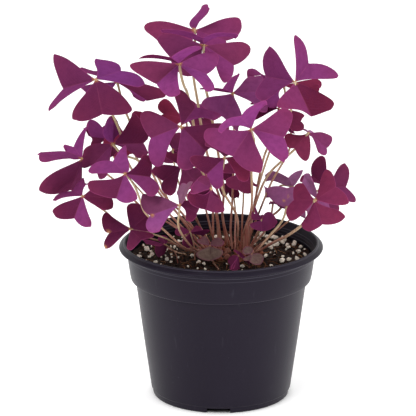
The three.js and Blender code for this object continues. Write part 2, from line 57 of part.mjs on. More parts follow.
  ["whole","01",[50.91,35.23,248.46],[[[-29.77,3.96,12.5],[-16.97,16.77,2.61],[-8.83,29.04,-11.92],[[0,0.6,2.6],[0.1,0.2,0.7],[-3.2,-0.9,-3.9],[1.4,0.7,3],[1,-0.2,-0.6]],[[-1,0.1,0.9],[-0.3,0,0.2],[-0.8,1.6,-2.5],[0,0,0],[0,0,0]]],[[-8.18,-29.38,-9.69],[-17.33,-11.57,-10.64],[-27.34,5.03,-15.86],[[-1.9,0.9,-0.4],[-1.9,1,-0.3],[-0.2,0.1,0],[0,0,0],[0,0,0]],[[0,0,0],[0,0,0],[0,0,0],[0,0,0],[0,0,0]]],[[29.72,18.68,-0.69],[25.62,-2.26,-0.7],[25.97,-23.57,-0.46],[[0,1.4,0.6],[0,0.3,0.1],[0.1,2.3,1],[-0.1,-4,-1.7],[0.2,0.8,0.3]],[[0,0,0],[0,0,0],[0,0,0],[0.1,6.6,2.9],[0,0,0]]]],1,[[50.91,35.23,248.46],[52.71,38.65,236.93],[54.48,39.31,224.96],[56.14,35.88,213.48],[57.06,29.02,203.52],[53.37,23.87,193.4],[47.4,22.89,182.86],[41.4,21.53,172.37],[36.54,18.18,161.77],[32.26,16.88,150.8],[29,22.1,140.32],[25.53,25.92,129.32],[21.9,28.53,118]]],
  ["whole","02",[46.49,20,233.71],[[[-20.12,-12.87,-6.93],[-17.81,2.69,-0.9],[-15.76,19.28,1.16],[[-0.4,1.9,1.1],[-0.1,0.5,0.3],[1,5.9,3.5],[0,0,0],[0.9,-0.4,-0.1]],[[0,0,0],[0,0,0],[0,0,0],[0,0,0],[0,0,0]]],[[20.82,16.01,-9.34],[18.04,-0.33,-10.18],[17.57,-16.45,-13.85],[[0,0,0],[0,0,0],[0,0,0],[-1.6,-0.4,0.5],[0,0,0]],[[-0.6,-0.9,-0.2],[-0.1,-0.1,0],[-1.9,-2.8,-0.6],[0.8,0.8,0.1],[0,0,0]]],[[13.69,-10.9,-17.76],[3.63,-15.92,-8.13],[-5.91,-24.2,-0.52],[[-0.6,-0.9,-0.1],[-0.1,-0.1,0],[-2,-2.8,-0.3],[-1.2,-2.6,-0.7],[0,0,0]],[[1.3,-0.5,-1.4],[0.1,0.5,0.2],[3.3,2.2,-1.4],[0,0,0],[2.3,3.2,0.3]]]],1,[[46.49,20,233.71],[45.43,21.67,221.93],[43.22,21.75,210.22],[39.7,20.11,198.93],[35.86,18.53,187.73],[32.42,18.43,176.3],[29.49,20.21,164.87],[27.15,22.77,153.44],[25.58,22.98,141.62],[24.21,23.35,129.77],[22.77,24.83,118]]],
  ["whole","03",[-28.43,38,220.05],[[[-20.77,-14.48,-4.33],[-18.12,-1.93,4.94],[-18.77,11.53,13.31],[[-0.1,0.1,0.1],[0,0,0],[0,0,0],[-1.6,0.3,0.8],[0,0,0]],[[-0.1,-0.1,-0.1],[-0.9,-1,-0.5],[0.3,0.5,0.3],[-3,-1.6,-0.3],[-0.5,0.2,0.3]]],[[-3.1,20.96,12.11],[8.32,12.89,9.3],[21.56,10.47,4.59],[[0,0,0],[0,0,0],[0,0,0],[0,0,0],[0,0,0]],[[0,0,0],[0,0,0],[0,0,0],[0.2,0.4,0.4],[0,0,0]]],[[21.13,9.48,-4.27],[14.41,-3.99,-8.64],[7.34,-16.14,-15.6],[[0,0,0],[0,0,0],[0,0,0],[0,0,0],[0,0,0]],[[1.6,0.6,0],[2.4,0.9,0],[0,0,0],[0,0,0],[0,0,0]]]],1,[[-28.43,38,220.05],[-26.89,36.69,208.54],[-24.85,35.43,197.1],[-22.11,34.26,185.8],[-19.09,33.15,174.56],[-16.28,32.05,163.27],[-13.73,30.97,151.92],[-11.11,29.92,140.57],[-8.3,28.92,129.27],[-5.38,27.95,118]]],
  ["whole","04",[-39.12,5,203.62],[[[-6.12,10.07,10.14],[-1.06,2.76,10.97],[6.87,-0.12,13.8],[[0,0,0],[0,0,0],[0,0,0],[0,0,0],[0,0,0]],[[1.3,-0.7,-0.9],[1.8,-0.9,-1.2],[0.1,0,0],[0,0,0],[0,0,0]]],[[6.73,10.5,-9.26],[1.15,2.64,-12.05],[-8.57,6.34,-11.43],[[0,0,0],[0,0,0],[0,0,0],[0,0,0],[0,0,0]],[[0,0,0],[0,0,0],[0,0,0],[0,0,0],[0,0,0]]],[[9.84,4.03,11.35],[11.09,0.39,2.61],[14.16,0.08,-6.42],[[0,0,0],[0,0,0],[0,0,0],[0,0,0],[0,0,0]],[[0,0,0],[0,0,0],[0,0,0],[0,0,0],[0,0,0]]]],0.8,[[-39.12,5,203.62],[-37.74,4.7,191.94],[-35.5,5.29,180.42],[-32.23,6.9,169.25],[-28.2,9.24,158.45],[-23.5,12.11,148.06],[-18.3,15.38,138.03],[-13.09,18.84,128.07],[-8.12,22.34,118]]],
  ["whole","05",[-75.93,50,202.39],[[[7.41,3.26,20.01],[11.03,7.42,8.65],[16.09,14.45,-0.61],[[0.2,0.1,-0.1],[0.2,0.1,-0.1],[-0.4,-0.2,0.4],[2.7,1.6,1.6],[0.2,0.1,0.4]],[[0,0,0],[0,0,0],[0.5,0.8,-3.2],[0,0,0],[0.7,0.8,-2.7]]],[[10.4,11.45,-15.34],[1.4,0.87,-15.9],[-10.16,-6.51,-18.14],[[0,0,0],[0,0,0],[0,0,0],[0.1,0.2,1],[0,0,0]],[[1,0.5,-1],[0.6,0.3,-0.6],[0.3,0.1,-0.3],[0,0,0],[0,0,0]]],[[-19.95,-6.05,-7.31],[-15.44,-2.73,4.48],[-15.4,4.91,15.06],[[0,0,0],[0,0,0],[0,0,0],[0,0,0],[0,0,0]],[[-0.5,-0.3,-0.2],[-0.7,-0.4,-0.3],[0.7,0.7,0.7],[-1.4,-1.6,-1.8],[0,0,0]]]],1,[[-75.93,50,202.39],[-72.33,47.08,192.19],[-67.42,44.35,182.52],[-61.33,41.82,173.46],[-55.24,39.26,164.41],[-48.89,36.74,155.54],[-41.5,34.46,147.44],[-33.68,32.32,139.71],[-26.2,30.13,131.66],[-18.08,28.16,124.22],[-8.91,26.56,118]]],
  ["whole","06",[-31.43,-35,200.48],[[[-10.37,-14.41,-18.89],[-14.83,-3.03,-10.27],[-24.11,7.99,-5.2],[[0.4,-0.2,-0.1],[-0.7,0.2,0],[0.6,-0.2,0],[-2.1,0.6,-0.3],[-0.7,-0.2,-0.6]],[[-0.3,1,0.9],[-0.1,0.2,0.1],[-0.1,0.6,0.6],[0.8,-0.4,-0.1],[0,0,0]]],[[19.27,10.87,-8.93],[12.14,-5.46,-12.45],[1.14,-19.86,-13.16],[[0,0,0],[0,0,0],[0,0,0],[0,0,0],[0,0,0]],[[1,1,0.2],[0.2,0.5,0.2],[2,0,-1.3],[0,0,0],[-2.7,-2.1,0]]],[[-13.82,18.49,8.18],[0.47,16.27,7.55],[13.96,19.78,3.66],[[0,0,0],[0,0,0],[0,0,0],[-0.1,-3,-2],[0,0,0]],[[0,0,0],[0,0,0],[0,0,0],[0,0,0],[0,0,0]]]],1,[[-31.43,-35,200.48],[-31.01,-26.89,192.55],[-30.38,-18.88,184.52],[-29.34,-11.08,176.34],[-27.69,-3.75,167.83],[-25.18,2.61,158.78],[-21.73,7.48,149.14],[-17.81,10.85,139.04],[-13.9,12.94,128.59],[-10.05,14.33,118]]],
  ["whole","07",[-94.12,56.38,198.07],[[[-14.11,9.58,13.52],[-3.4,14.35,6.25],[6.85,20.62,-0.87],[[-1.1,-5.7,-2.8],[-1.5,-5.7,-2.5],[-2.1,-3.9,-1],[-0.2,1.4,1],[0.9,1.5,0.3]],[[0,0,0],[0,0,0],[0,0,0],[0.9,4.7,2.4],[0,0,0]]],[[-11.7,-17.83,-0.1],[-13.94,-5.54,4.46],[-18.74,6.39,7.93],[[0,0,0],[0,0,0],[0,0,0],[3.1,1.8,-0.2],[0,0,0]],[[0,0,0],[0,0,0],[0.1,-0.1,-0.1],[0.9,1.1,0.2],[0.2,-0.3,-0.2]]],[[11.21,6.49,-15.93],[5.96,-5.91,-12.42],[-1.69,-17.4,-10.76],[[0.3,0.5,0.1],[0,0.1,0],[1.4,2.3,0.5],[0,0,0],[0,0,0]],[[0,0,0],[0,0,0],[0,0,0],[0,0,0],[0,0,0]]]],0.8,[[-94.12,56.38,198.07],[-89.74,55.03,186.66],[-83.31,52.86,176.43],[-75.6,49.87,167.32],[-67.71,46.22,158.61],[-59.44,41.96,150.56],[-50.82,37.37,143.07],[-42.03,32.96,135.67],[-32.71,29.1,128.64],[-22.28,26.15,122.83],[-11.2,23.85,118]]],
  ["whole","08",[15.37,20,178.76],[[[9.51,-2.3,-14.96],[-0.85,-8.09,-11.14],[-10.6,-13.39,-5.37],[[1.7,2.7,2.9],[2.9,3,2.1],[0.9,0.1,-0.7],[-0.3,-0.5,-0.5],[-0.4,-1.8,-2.6]],[[-0.5,0,0.7],[-0.1,-0.2,-0.2],[-0.3,0.1,0.6],[0,0,0],[0,0,0]]],[[-15.51,-6.49,6.19],[-9.62,3.06,8.42],[-6.09,13.87,9.57],[[0,0,0],[0,0,0],[0,0,0],[0,0,0],[0,0,0]],[[0,0,0],[0,0,0],[0,0,0],[0,0,0],[0,0,0]]],[[6.88,15.32,6.02],[10.33,7.92,-1.15],[14.2,3.42,-10.25],[[0,0,0],[0,0,0],[0,0,0],[0,0,0],[0,0,0]],[[-0.3,-0.9,-0.9],[-0.4,-0.7,-0.6],[2.4,1.5,-0.1],[-2.1,-3.3,-2.6],[1.4,-0.3,-1.7]]]],0.85,[[15.37,20,178.76],[17.83,18.72,168.91],[18.18,16.86,158.86],[17.55,15.99,148.67],[17.14,15.84,138.44],[16.89,16.15,128.2],[16.32,16.87,118]]],
  ["whole","09",[75.5,-30,172.92],[[[-4.86,-4.47,22.03],[-6.17,7.2,13.87],[-10.31,19.16,7.26],[[0.5,-0.5,0],[1.1,-1,0.4],[-0.1,0.1,-0.1],[-3.7,3.4,-1.1],[0,0,0]],[[0,0,0],[0,0,0],[0,0,0],[1,-1.4,5],[0,0,0]]],[[-5.1,-6.02,-19.32],[-7.06,-11.28,-7.49],[-13.44,-15.66,3.07],[[0,0,0],[0,0,0],[0,0,0],[0,0,0],[0,0,0]],[[0,0,0],[0,0,0],[0,0,0],[0,0,0],[0,0,0]]],[[8.11,19.1,3.83],[9.72,10.72,-5.45],[11.28,5.69,-16.9],[[0,0,0],[0,0,0],[0,0,0],[0,0,0],[0,0,0]],[[0,0,0],[0,0,0],[0,0,0],[0,0,0],[0,0,0]]]],0.8,[[75.5,-30,172.92],[68.74,-24.43,164.9],[61.52,-19.15,157.09],[54.18,-13.93,149.34],[47.18,-8.44,141.48],[40.34,-2.72,133.63],[33.61,3.15,125.81],[26.93,9.11,118]]],
  ["whole","10",[8.35,58,161.76],[[[6.01,-2.73,-12.49],[-2.24,0.29,-10.13],[-9.85,5.26,-8.84],[[0.4,-0.1,0.2],[0,0,0],[0.2,-0.1,-0.7],[-0.9,0.1,-2.3],[-1.2,0.1,-2.8]],[[0,0,0],[0,0,0],[0,0,0],[0.2,-0.7,-4],[0,0,0]]],[[-8.19,11.34,0.13],[-4.83,6.46,6.34],[0.45,5.11,13.05],[[0,0,0],[0,0,0],[0,0,0],[0,0,0],[0,0,0]],[[0.8,-0.5,0],[0.8,-0.5,0],[0.1,-0.1,0],[0,0,0],[0,0,0]]],[[10.09,2.27,9.94],[10.23,-1.65,1.86],[12.29,-2.92,-6.79],[[0,0,0],[0,0,0],[0,0,0],[0,0,0],[0,0,0]],[[0,0,0],[0,0,0],[0,0,0],[0,0,0],[0,0,0]]]],0.8,[[8.35,58,161.76],[10.05,58.93,151.92],[11.47,56.32,142.41],[12.12,50.24,134.51],[11.87,42.13,128.62],[11.5,33.5,123.48],[11.49,25.08,118]]],
  ["whole","11",[58.72,48,159.98],[[[7.15,-18.55,19.18],[-3.8,-12.26,11.51],[-22.95,-10.75,13.11],[[-0.6,-0.2,0.3],[0.8,0.8,-1.1],[-1.4,-1,1.4],[0.6,-0.5,0.9],[0.2,-0.5,0.8]],[[0.8,-1.4,2],[-0.6,1.6,-2.5],[0.7,1.9,-3.1],[-2.6,-2.2,3.9],[0.6,-2.1,3.2]]],[[9.92,14.63,-15.89],[12.01,-1.4,-12.27],[9.64,-17.81,-12.45],[[0,0,0],[0,0,0],[0,0,0],[0,0,0],[0,0,0]],[[0,0,0],[0,0,0],[0,0,0],[0,0,0],[0,0,0]]],[[-22.28,-5.24,-8.1],[-14.09,8.08,-7.04],[-5.6,20.13,-12.35],[[0,0,0],[0,0,0],[-0.7,3.6,2.8],[4.1,-1.9,-0.4],[-0.9,4.7,3.7]],[[0,0,0],[0,0,0],[0,0,0],[0,0,0],[0,0,0]]]],1,[[58.72,48,159.98],[49.26,46.64,161.35],[44.16,39.36,156.47],[42.36,32.29,149.2],[40.86,26.47,140.83],[37.41,21.82,132.36],[31.18,18.71,124.8],[23.65,16.87,118]]],
  ["whole","12",[52.88,5,154.92],[[[-16.18,12.22,11.57],[0.54,10.06,13.47],[16.7,8.92,13.4],[[-0.3,-0.1,-0.3],[-0.6,-0.4,-0.7],[0.5,1.7,2.6],[-0.4,0.5,0.6],[-1,2.2,2.9]],[[0,0,0],[0,0,0],[0,0,0],[0,0,0],[0,0,0]]],[[13.39,10.51,12.56],[14.36,5.64,0.14],[14.56,8.14,-13],[[0,0,0],[0,0,0],[0,0,0],[0,0,0],[0,0,0]],[[0,0,0],[0,0,0],[1.4,0,4.7],[-0.1,-0.1,0.1],[0.2,-0.4,3.9]]],[[15.15,14.11,-5.97],[2.05,14.32,-6.14],[-6.43,20.5,1.71],[[0,0,0],[0,0,0],[0,0,0],[0,0,0],[0,0,0]],[[-2.1,-0.6,-1],[0.1,-0.6,-1.6],[-6,-2,-3.3],[-4.8,-1,-1.1],[-2.5,-1.6,-3.4]]]],1.1,[[52.88,5,154.92],[50.7,-4.07,149.66],[46.48,-12.85,145.25],[40.42,-20.54,140.93],[34.05,-26.66,134.98],[28.48,-24.81,127.18],[26.63,-15.23,122.92],[26.05,-4.88,120.23],[25.83,5.6,118]]],
  ["whole","13",[-72.21,-42,150.77],[[[1.69,19.02,16.31],[12.99,10.31,8.51],[24.87,2.96,0.82],[[-0.2,0.1,0.1],[-0.6,-0.1,-0.1],[-0.8,0,0],[1.2,0.9,0.9],[0.2,0.2,0.2]],[[0,0,0],[0,0,0],[0,0,0],[0,0,0],[0,0,0]]],[[-19.65,-11.55,-11.8],[-16.96,-0.03,-2.65],[-22.72,9.48,7.93],[[-0.3,0.3,0.3],[-0.2,0.2,0.2],[-1.3,1.1,0.8],[-0.8,-0.5,-0.5],[-0.8,-0.4,-0.5]],[[-0.3,-0.3,-0.4],[0.5,0.4,0.6],[0.3,1.1,1.6],[0,-2.4,-3.2],[0.2,0.6,0.8]]],[[18.82,-8.95,-2.23],[8.57,-12.74,-4.37],[-0.07,-18.16,-11.22],[[0,0,0],[0,0,0],[0,0,0],[0,0,0],[0,0,0]],[[0,0,0],[0,0,0],[0,0,0],[0,0,0],[0,0,0]]]],0.8,[[-72.21,-42,150.77],[-61.5,-38.79,148.18],[-51.62,-34.79,143.81],[-43.21,-28.84,138.69],[-37.1,-21.4,132.39],[-31.55,-13.57,126.01],[-23.79,-6.51,121.31],[-14.65,-0.31,118]]],
  ["whole","14",[32.56,-5,147.4],[[[8.37,-6.43,-4.77],[0.33,-6.86,-7.17],[-8.54,-7.36,-3.64],[[2.2,3.1,4.2],[-0.2,2.7,3.2],[4,1.2,2.3],[0,0,0],[0,0,0]],[[0,0,0],[0,0,0],[0,0,0],[0,0,0],[0,0,0]]],[[-7.96,-3.67,2.8],[-5.21,3.19,3.67],[-1.89,9.35,0.96],[[0,0,0],[0,0,0],[0,0,0],[-2.3,4.5,3.8],[0,0,0]],[[0,0,0],[0,0,0],[1,1.3,0.3],[-1.1,6.5,5.1],[1.1,1.3,0.2]]],[[1.39,11.85,-0.22],[4.5,5.25,4.31],[10.96,2.46,-4.97],[[-1.3,1.2,0.7],[-0.2,0.2,0.1],[-0.3,1.9,2.3],[-0.2,0.5,0.5],[0.5,0,0.3]],[[0,0,0],[0,0,0],[0,0,0],[3,1.5,0.3],[0,0,0]]]],0.8,[[32.56,-5,147.4],[30.48,-7.01,138.39],[28.98,0.13,131.78],[26.17,7.1,125.38],[21.66,11.94,118]]],
  ["whole","15",[-25.07,-8.89,138.06],[[[-11.19,-9.49,1.67],[-10.89,1.94,2.36],[-7.35,12.87,1.11],[[0,0,0],[0,0,0],[0,0,0],[0,0,0],[0,0,0]],[[0,0,0],[0,0,0],[0,0,0],[0,0,0],[0,0,0]]],[[8.03,14.61,0.58],[10.47,3.9,-3.74],[15.71,-4.02,3.34],[[0,0,0],[0,0,0],[0,0,0],[0,0,0],[0,0,0]],[[0,0,0],[0,0,0],[0,0,0],[0,0,0],[0,0,0]]],[[3.17,9.3,-12.19],[-1.62,-2.69,-12.24],[-5.56,-13.2,-6.43],[[0,0,0],[0,0,0],[0,0,0],[0,0,0],[0,0,0]],[[0,0,0],[0,0,0],[0,0,0],[0,0,0],[0,0,0]]]],0.7,[[-25.07,-8.89,138.06],[-22.73,-7.51,130.41],[-21.53,-6.81,122.41],[-21.17,-6.6,114.3]]],
  ["whole","16",[-9.13,-26.36,132.13],[[[-9.84,-5.21,5.82],[-7.35,3.13,4.85],[-3.86,11.26,4.48],[[0,0,0],[0,0,0],[0,0,0],[0,0,0],[0,0,0]],[[0,0,0],[0,0,0],[0,0,0],[0,0,0],[0,0,0]]],[[4.99,12.36,3.05],[9.78,3.12,4.06],[10.94,-7,3.86],[[0,0,0],[0,0,0],[0,0,0],[0,0,0],[0,0,0]],[[0,0,0],[0,0,0],[0,0,0],[0,0,0],[0,0,0]]],[[9.74,-9.65,-4.52],[0.16,-8.04,-9.89],[-10,-8.36,-6.18],[[0,0,0],[0,0,0],[0,0,0],[0,0,0],[0,0,0]],[[0,0,0],[0,0,0],[0,0,0],[0,0,0],[0,0,0]]]],0.7,[[-9.13,-26.36,132.13],[-7.52,-22.8,126.89],[-6.56,-20.67,120.79],[-6.25,-19.99,114.3]]],
  ["whole","17",[-45.35,-20,131.4],[[[-8.33,-15.83,4.53],[-14.13,-4.58,2.27],[-16.75,7.65,2.25],[[0,0,0],[0,0,0],[0,0,0],[0,0,0],[0,0,0]],[[0,0,0],[0,0,0],[0,0,0],[0,0,0],[0,0,0]]],[[0.91,8.86,-8.26],[-4.6,-1.43,-10.5],[-7.68,-8.32,-2.02],[[0,0,0],[0,0,0],[0,0,0],[0,0,0],[0,0,0]],[[0,0,0],[0,0,0],[0,0,0],[0,0,0],[0,0,0]]],[[-5.56,13.23,1.36],[-1.48,10.14,4.43],[2.49,14.52,0.96],[[0,0,0],[0,0,0],[0,0,0],[0,0,0],[0,0,0]],[[0,0,0],[0,0,0],[0,0,0],[0,0,0],[0,0,0]]]],0.6,[[-45.35,-20,131.4],[-40.21,-17.06,127.12],[-36.35,-14.85,121.37],[-34.93,-14.04,114.3]]],
  ["whole","18",[24.35,-36,128.44],[[[3.7,-5.52,-7.43],[-0.95,-6.14,-3.8],[-6.61,-6.83,-2.86],[[0,0,0],[0,0,0],[0,0,0],[0,0,0],[0,0,0]],[[0,0,0],[0,0,0],[0,0,0],[0,0,0],[0,0,0]]],[[9.14,6.08,-3.6],[7.42,-2.81,-7.49],[0.93,-10.01,-5.2],[[0,0,0],[0,0,0],[0,0,0],[0,0,0],[0,0,0]],[[0,0,0],[0,0,0],[0,0,0],[0,0,0],[0,0,0]]],[[-7.17,-4.68,3.15],[-5.34,2.76,5],[-0.46,8.94,3.06],[[0,0,0],[0,0,0],[0,0,0],[0,0,0],[0,0,0]],[[0,0,0],[0,0,0],[0,0,0],[0,0,0],[0,0,0]]]],0.6,[[24.35,-36,128.44],[23.2,-32.9,124.36],[22.49,-30.99,119.52],[22.27,-30.37,114.3]]],
  ["whole","19",[13.77,-39.76,128.37],[[[-6.02,-8.31,-9.48],[-6.76,0.77,-8.2],[-7.91,10.05,-5.69],[[0,0,0],[0,0,0],[0,0,0],[0,0,0],[0,0,0]],[[0,0,0],[0,0,0],[0,0,0],[0,0,0],[0,0,0]]],[[1.29,6.3,-12.49],[0.86,-2.25,-10],[-5.23,-8.81,-9.74],[[0,0,0],[0,0,0],[0,0,0],[0,0,0],[0,0,0]],[[0,0,0],[0,0,0],[0,0,0],[0,0,0],[0,0,0]]],[[-2.06,13.42,0.62],[4.2,8.67,-2.41],[9.58,5.38,-8],[[0,0,0],[0,0,0],[0,0,0],[0,0,0],[0,0,0]],[[0,0,0],[0,0,0],[0,0,0],[0,0,0],[0,0,0]]]],0.6,[[13.77,-39.76,128.37],[13.34,-36.48,124.31],[13.08,-34.46,119.5],[13,-33.81,114.3]]]];

// ---- helpers ----
const wasm = await Module();
wasm.setup();

function solid(geometry) {
  const g = geometry.clone();
  g.deleteAttribute("normal");
  g.deleteAttribute("uv");
  const m = mergeVertices(g, 1e-4);
  return new wasm.Manifold(
    new wasm.Mesh({
      numProp: 3,
      vertProperties: new Float32Array(m.attributes.position.array),
      triVerts: new Uint32Array(m.index.array),
    }),
  );
}

function geometryOf(s) {
  const m = s.getMesh();
  const n = m.numProp;
  const v = new Float32Array(m.numVert * 3);
  for (let i = 0; i < m.numVert; i++)
    v.set(m.vertProperties.subarray(i * n, i * n + 3), i * 3);
  const g = new THREE.BufferGeometry();
  g.setAttribute("position", new THREE.BufferAttribute(v, 3));
  g.setIndex(new THREE.BufferAttribute(new Uint32Array(m.triVerts), 1));
  const flat = g.toNonIndexed();
  flat.computeVertexNormals();
  return flat;
}

const group = new THREE.Group();
function add(name, s, material) {
  const mesh = new THREE.Mesh(geometryOf(s), material);
  mesh.name = name;
  group.add(mesh);
}

const potPlastic = new THREE.MeshStandardMaterial({ name: "pot_plastic", color: 0x33313a, roughness: 0.5, metalness: 0 });
const pottingMix = new THREE.MeshStandardMaterial({ name: "potting_mix", color: 0x2a1a14, roughness: 0.95, metalness: 0 });
const bulbScale = new THREE.MeshStandardMaterial({ name: "bulb_scale", color: 0x6b4634, roughness: 0.8, metalness: 0 });
const leafPurple = new THREE.MeshStandardMaterial({ name: "leaf_purple", color: 0x6a2a58, roughness: 0.55, metalness: 0 });
const stalkTan = new THREE.MeshStandardMaterial({ name: "stalk_tan", color: 0xa08460, roughness: 0.6, metalness: 0 });

const rad = (d) => (d * Math.PI) / 180;
const lathe = (profile) =>
  new THREE.LatheGeometry(profile.map(([r, z]) => new THREE.Vector2(r, z)), POT_SEGMENTS).rotateX(Math.PI / 2);

// ---- pot ----
const potOuter = [
  [0, 0], [FOOT_RADIUS, 0], [55.5, 1.4], [56.2, 5], [56.9, 6.2], [62.8, 47.6], [69.4, 97.1], [72.9, 98.1], [73.5, 100.2],
  [75.3, 112], [76.2, 121.4], [81.9, 122.9], [RIM_RADIUS, 123.8], [79.2, 127.2], [78.5, POT_HEIGHT], [77.9, POT_HEIGHT],
];
const potInner = [
  [77.2, 126.5], [74.8, 119.5], [74.1, 112], [72.5, 101.5], [71.8, 99.8], [68, 98.3], [67.8, 96], [61.5, 47.6], [55.6, 6],
  [54.4, FLOOR_TOP], [0, FLOOR_TOP],
];
// a box along a channel, from radius r0 to r1
const channelBox = (azimuth, r0, r1, width, z0, z1) =>
  solid(new THREE.BoxGeometry(r1 - r0, width, z1 - z0).translate((r0 + r1) / 2, 0, (z0 + z1) / 2).rotateZ(rad(azimuth)));
const roof = NOTCH_HEIGHT + CHANNEL_WALL;
let pot = solid(lathe([...potOuter, ...potInner]));
const envelope = solid(lathe([...potOuter, [0, POT_HEIGHT]]));
for (const a of NOTCH_AZIMUTHS)
  pot = pot.add(
    channelBox(a, CHANNEL_START - CHANNEL_WALL, 60, NOTCH_WIDTH + 2 * CHANNEL_WALL, 0.5, roof).intersect(envelope),
  );
for (const a of NOTCH_AZIMUTHS) {
  pot = pot.subtract(channelBox(a, CHANNEL_START, 60, NOTCH_WIDTH, -1, NOTCH_HEIGHT));
  const hole = new THREE.CylinderGeometry(DRAIN_RADIUS, DRAIN_RADIUS, 8, 10).rotateX(Math.PI / 2);
  pot = pot.subtract(solid(hole.translate(DRAIN_CIRCLE, 0, 5).rotateZ(rad(a))));
}
add("pot", pot, potPlastic);

// ---- potting mix ----
const soilHeight = (x, y) => {
  const dx = x - CROWN_CENTRE[0], dy = y - CROWN_CENTRE[1];
  return SOIL_EDGE + SOIL_RISE * Math.exp(-(dx * dx + dy * dy) / (44 * 44)) +
    0.35 * Math.sin(x * 0.21 + 1.3) * Math.sin(y * 0.24 + 0.4);
};
const soilProfile = [
  [0, FLOOR_TOP + WALL_GAP], [54.4 - WALL_GAP, FLOOR_TOP + WALL_GAP], [55.6 - WALL_GAP, 6.4], [61.5 - WALL_GAP, 47.6],
  [67.8 - WALL_GAP, 96.1], [67.9 - WALL_GAP, 98.6], [71.75 - WALL_GAP, 100.15], [72.45 - WALL_GAP, 101.7],
  [74.1 - WALL_GAP, SOIL_EDGE],
  [52, SOIL_EDGE], [0, SOIL_EDGE],
];
const soilGeometry = lathe(soilProfile);
{
  const p = soilGeometry.attributes.position;
  for (let i = 0; i < p.count; i++)
    if (p.getZ(i) > SOIL_EDGE - 0.01 && Math.hypot(p.getX(i), p.getY(i)) < 72)
      p.setZ(i, soilHeight(p.getX(i), p.getY(i)));
}
let soil = solid(soilGeometry);
for (const a of NOTCH_AZIMUTHS)
  soil = soil.subtract(
    channelBox(a, CHANNEL_START - CHANNEL_WALL - WALL_GAP, 60, NOTCH_WIDTH + 2 * (CHANNEL_WALL + WALL_GAP), 0, roof + WALL_GAP),
  );

// ---- crown: the clump of bulbs, half sunk in the mix ----
function crownGeometry(grow) {
  const g = new THREE.LatheGeometry(
    [
      [0, CROWN_BOTTOM - grow], [CROWN_RADIUS - 6, CROWN_BOTTOM - grow], [CROWN_RADIUS + grow, CROWN_TOP - 3.2],
      [CROWN_RADIUS - 0.6 + grow, CROWN_TOP - 1.2 + grow], [CROWN_RADIUS - 3, CROWN_TOP + grow], [0, CROWN_TOP + grow],
    ].map(([r, z]) => new THREE.Vector2(r, z)), 24,
  ).rotateX(Math.PI / 2);
  const p = g.attributes.position;
  for (let i = 0; i < p.count; i++) {
    const a = Math.atan2(p.getY(i), p.getX(i));
    const k = 1 + 0.035 * Math.sin(5 * a + 0.6) + 0.025 * Math.sin(8 * a + 2.1);
    p.setX(i, p.getX(i) * k);
    p.setY(i, p.getY(i) * k);
  }
  return g.translate(CROWN_CENTRE[0], CROWN_CENTRE[1], 0);
}
add("crown", solid(crownGeometry(0)), bulbScale);
soil = soil.subtract(solid(crownGeometry(PIECE_GAP)));
add("soil", soil, pottingMix);

// ---- leaflet surface ----
const NOTCH_RATIO = 0.73;
const LOBE_ANGLE = rad(38);
const TIP_ROUND = 0.165;
const add2 = (p, q, k = 1) => [p[0] + q[0] * k, p[1] + q[1] * k];
const bez = (p, t) => {
  const u = 1 - t;
  return [0, 1].map((k) => u * u * u * p[0][k] + 3 * u * u * t * p[1][k] + 3 * u * t * t * p[2][k] + t * t * t * p[3][k]);
};
// half outline for a lobe of unit length: the far edge from the notch round the lobe, and the straight side
function outline(nt) {
  const tc = rad(36.5);
  const c = [(1 - TIP_ROUND) * Math.cos(tc), (1 - TIP_ROUND) * Math.sin(tc)];
  const a1 = rad(126), a0 = rad(18);
  const notch = [NOTCH_RATIO, 0];
  const p0 = add2(c, [Math.cos(a0), Math.sin(a0)], TIP_ROUND);
  const back = [Math.sin(a0), -Math.cos(a0)];
  const line = [];
  for (let i = 0; i < 60; i++) line.push(bez([notch, add2(notch, [0.055, 0.075]), add2(p0, back, 0.14), p0], i / 59));
  for (let i = 1; i < 60; i++) {
    const a = a0 + ((a1 - a0) * i) / 59;
    line.push(add2(c, [Math.cos(a), Math.sin(a)], TIP_ROUND));
  }
  const d = [0];
  for (let i = 1; i < line.length; i++) d.push(d[i - 1] + Math.hypot(line[i][0] - line[i - 1][0], line[i][1] - line[i - 1][1]));
  const far = [];
  for (let j = 0; j <= nt; j++) {
    const q = (d[d.length - 1] * j) / nt;
    let i = 1;
    while (i < line.length - 1 && d[i] < q) i++;
    const f = Math.min(1, Math.max(0, (q - d[i - 1]) / (d[i] - d[i - 1])));
    far.push([0, 1].map((k) => line[i - 1][k] * (1 - f) + line[i][k] * f));
  }
  const end = far[nt];
  const on = [-Math.sin(a1), Math.cos(a1)];
  return [far, (s) => bez([[0, 0], [0.2, 0.19], add2(end, on, 0.24), end], s)];
}
const [fine] = outline(40);
let tipAt = 0;
fine.forEach((p, i) => { if (Math.hypot(...p) > Math.hypot(...fine[tipAt])) tipAt = i; });
const TIP_T = tipAt / 40;
const clamp01 = (x) => Math.min(1, Math.max(0, x));
function edgeWeights(s, t) {
  const beyond = t > TIP_T;
  const f = clamp01((t - TIP_T) / (1 - TIP_T));
  return [
    ((s ** 1.3 * (1 - s)) / (0.6 ** 1.3 * 0.4)) * t * t,
    ((s ** 0.8 * (1 - s) ** 1.8) / (0.3 ** 0.8 * 0.7 ** 1.8)) * t * t,
    beyond ? s ** 3 * Math.sin((Math.PI / 2) * f) : 0,
    beyond ? 0 : s ** 3 * Math.sin(Math.PI * clamp01(t / TIP_T)),
    beyond ? s ** 3 * Math.sin(Math.PI * f) : 0,
  ];
}
const V = (a) => new THREE.Vector3(a[0], a[1], a[2]);
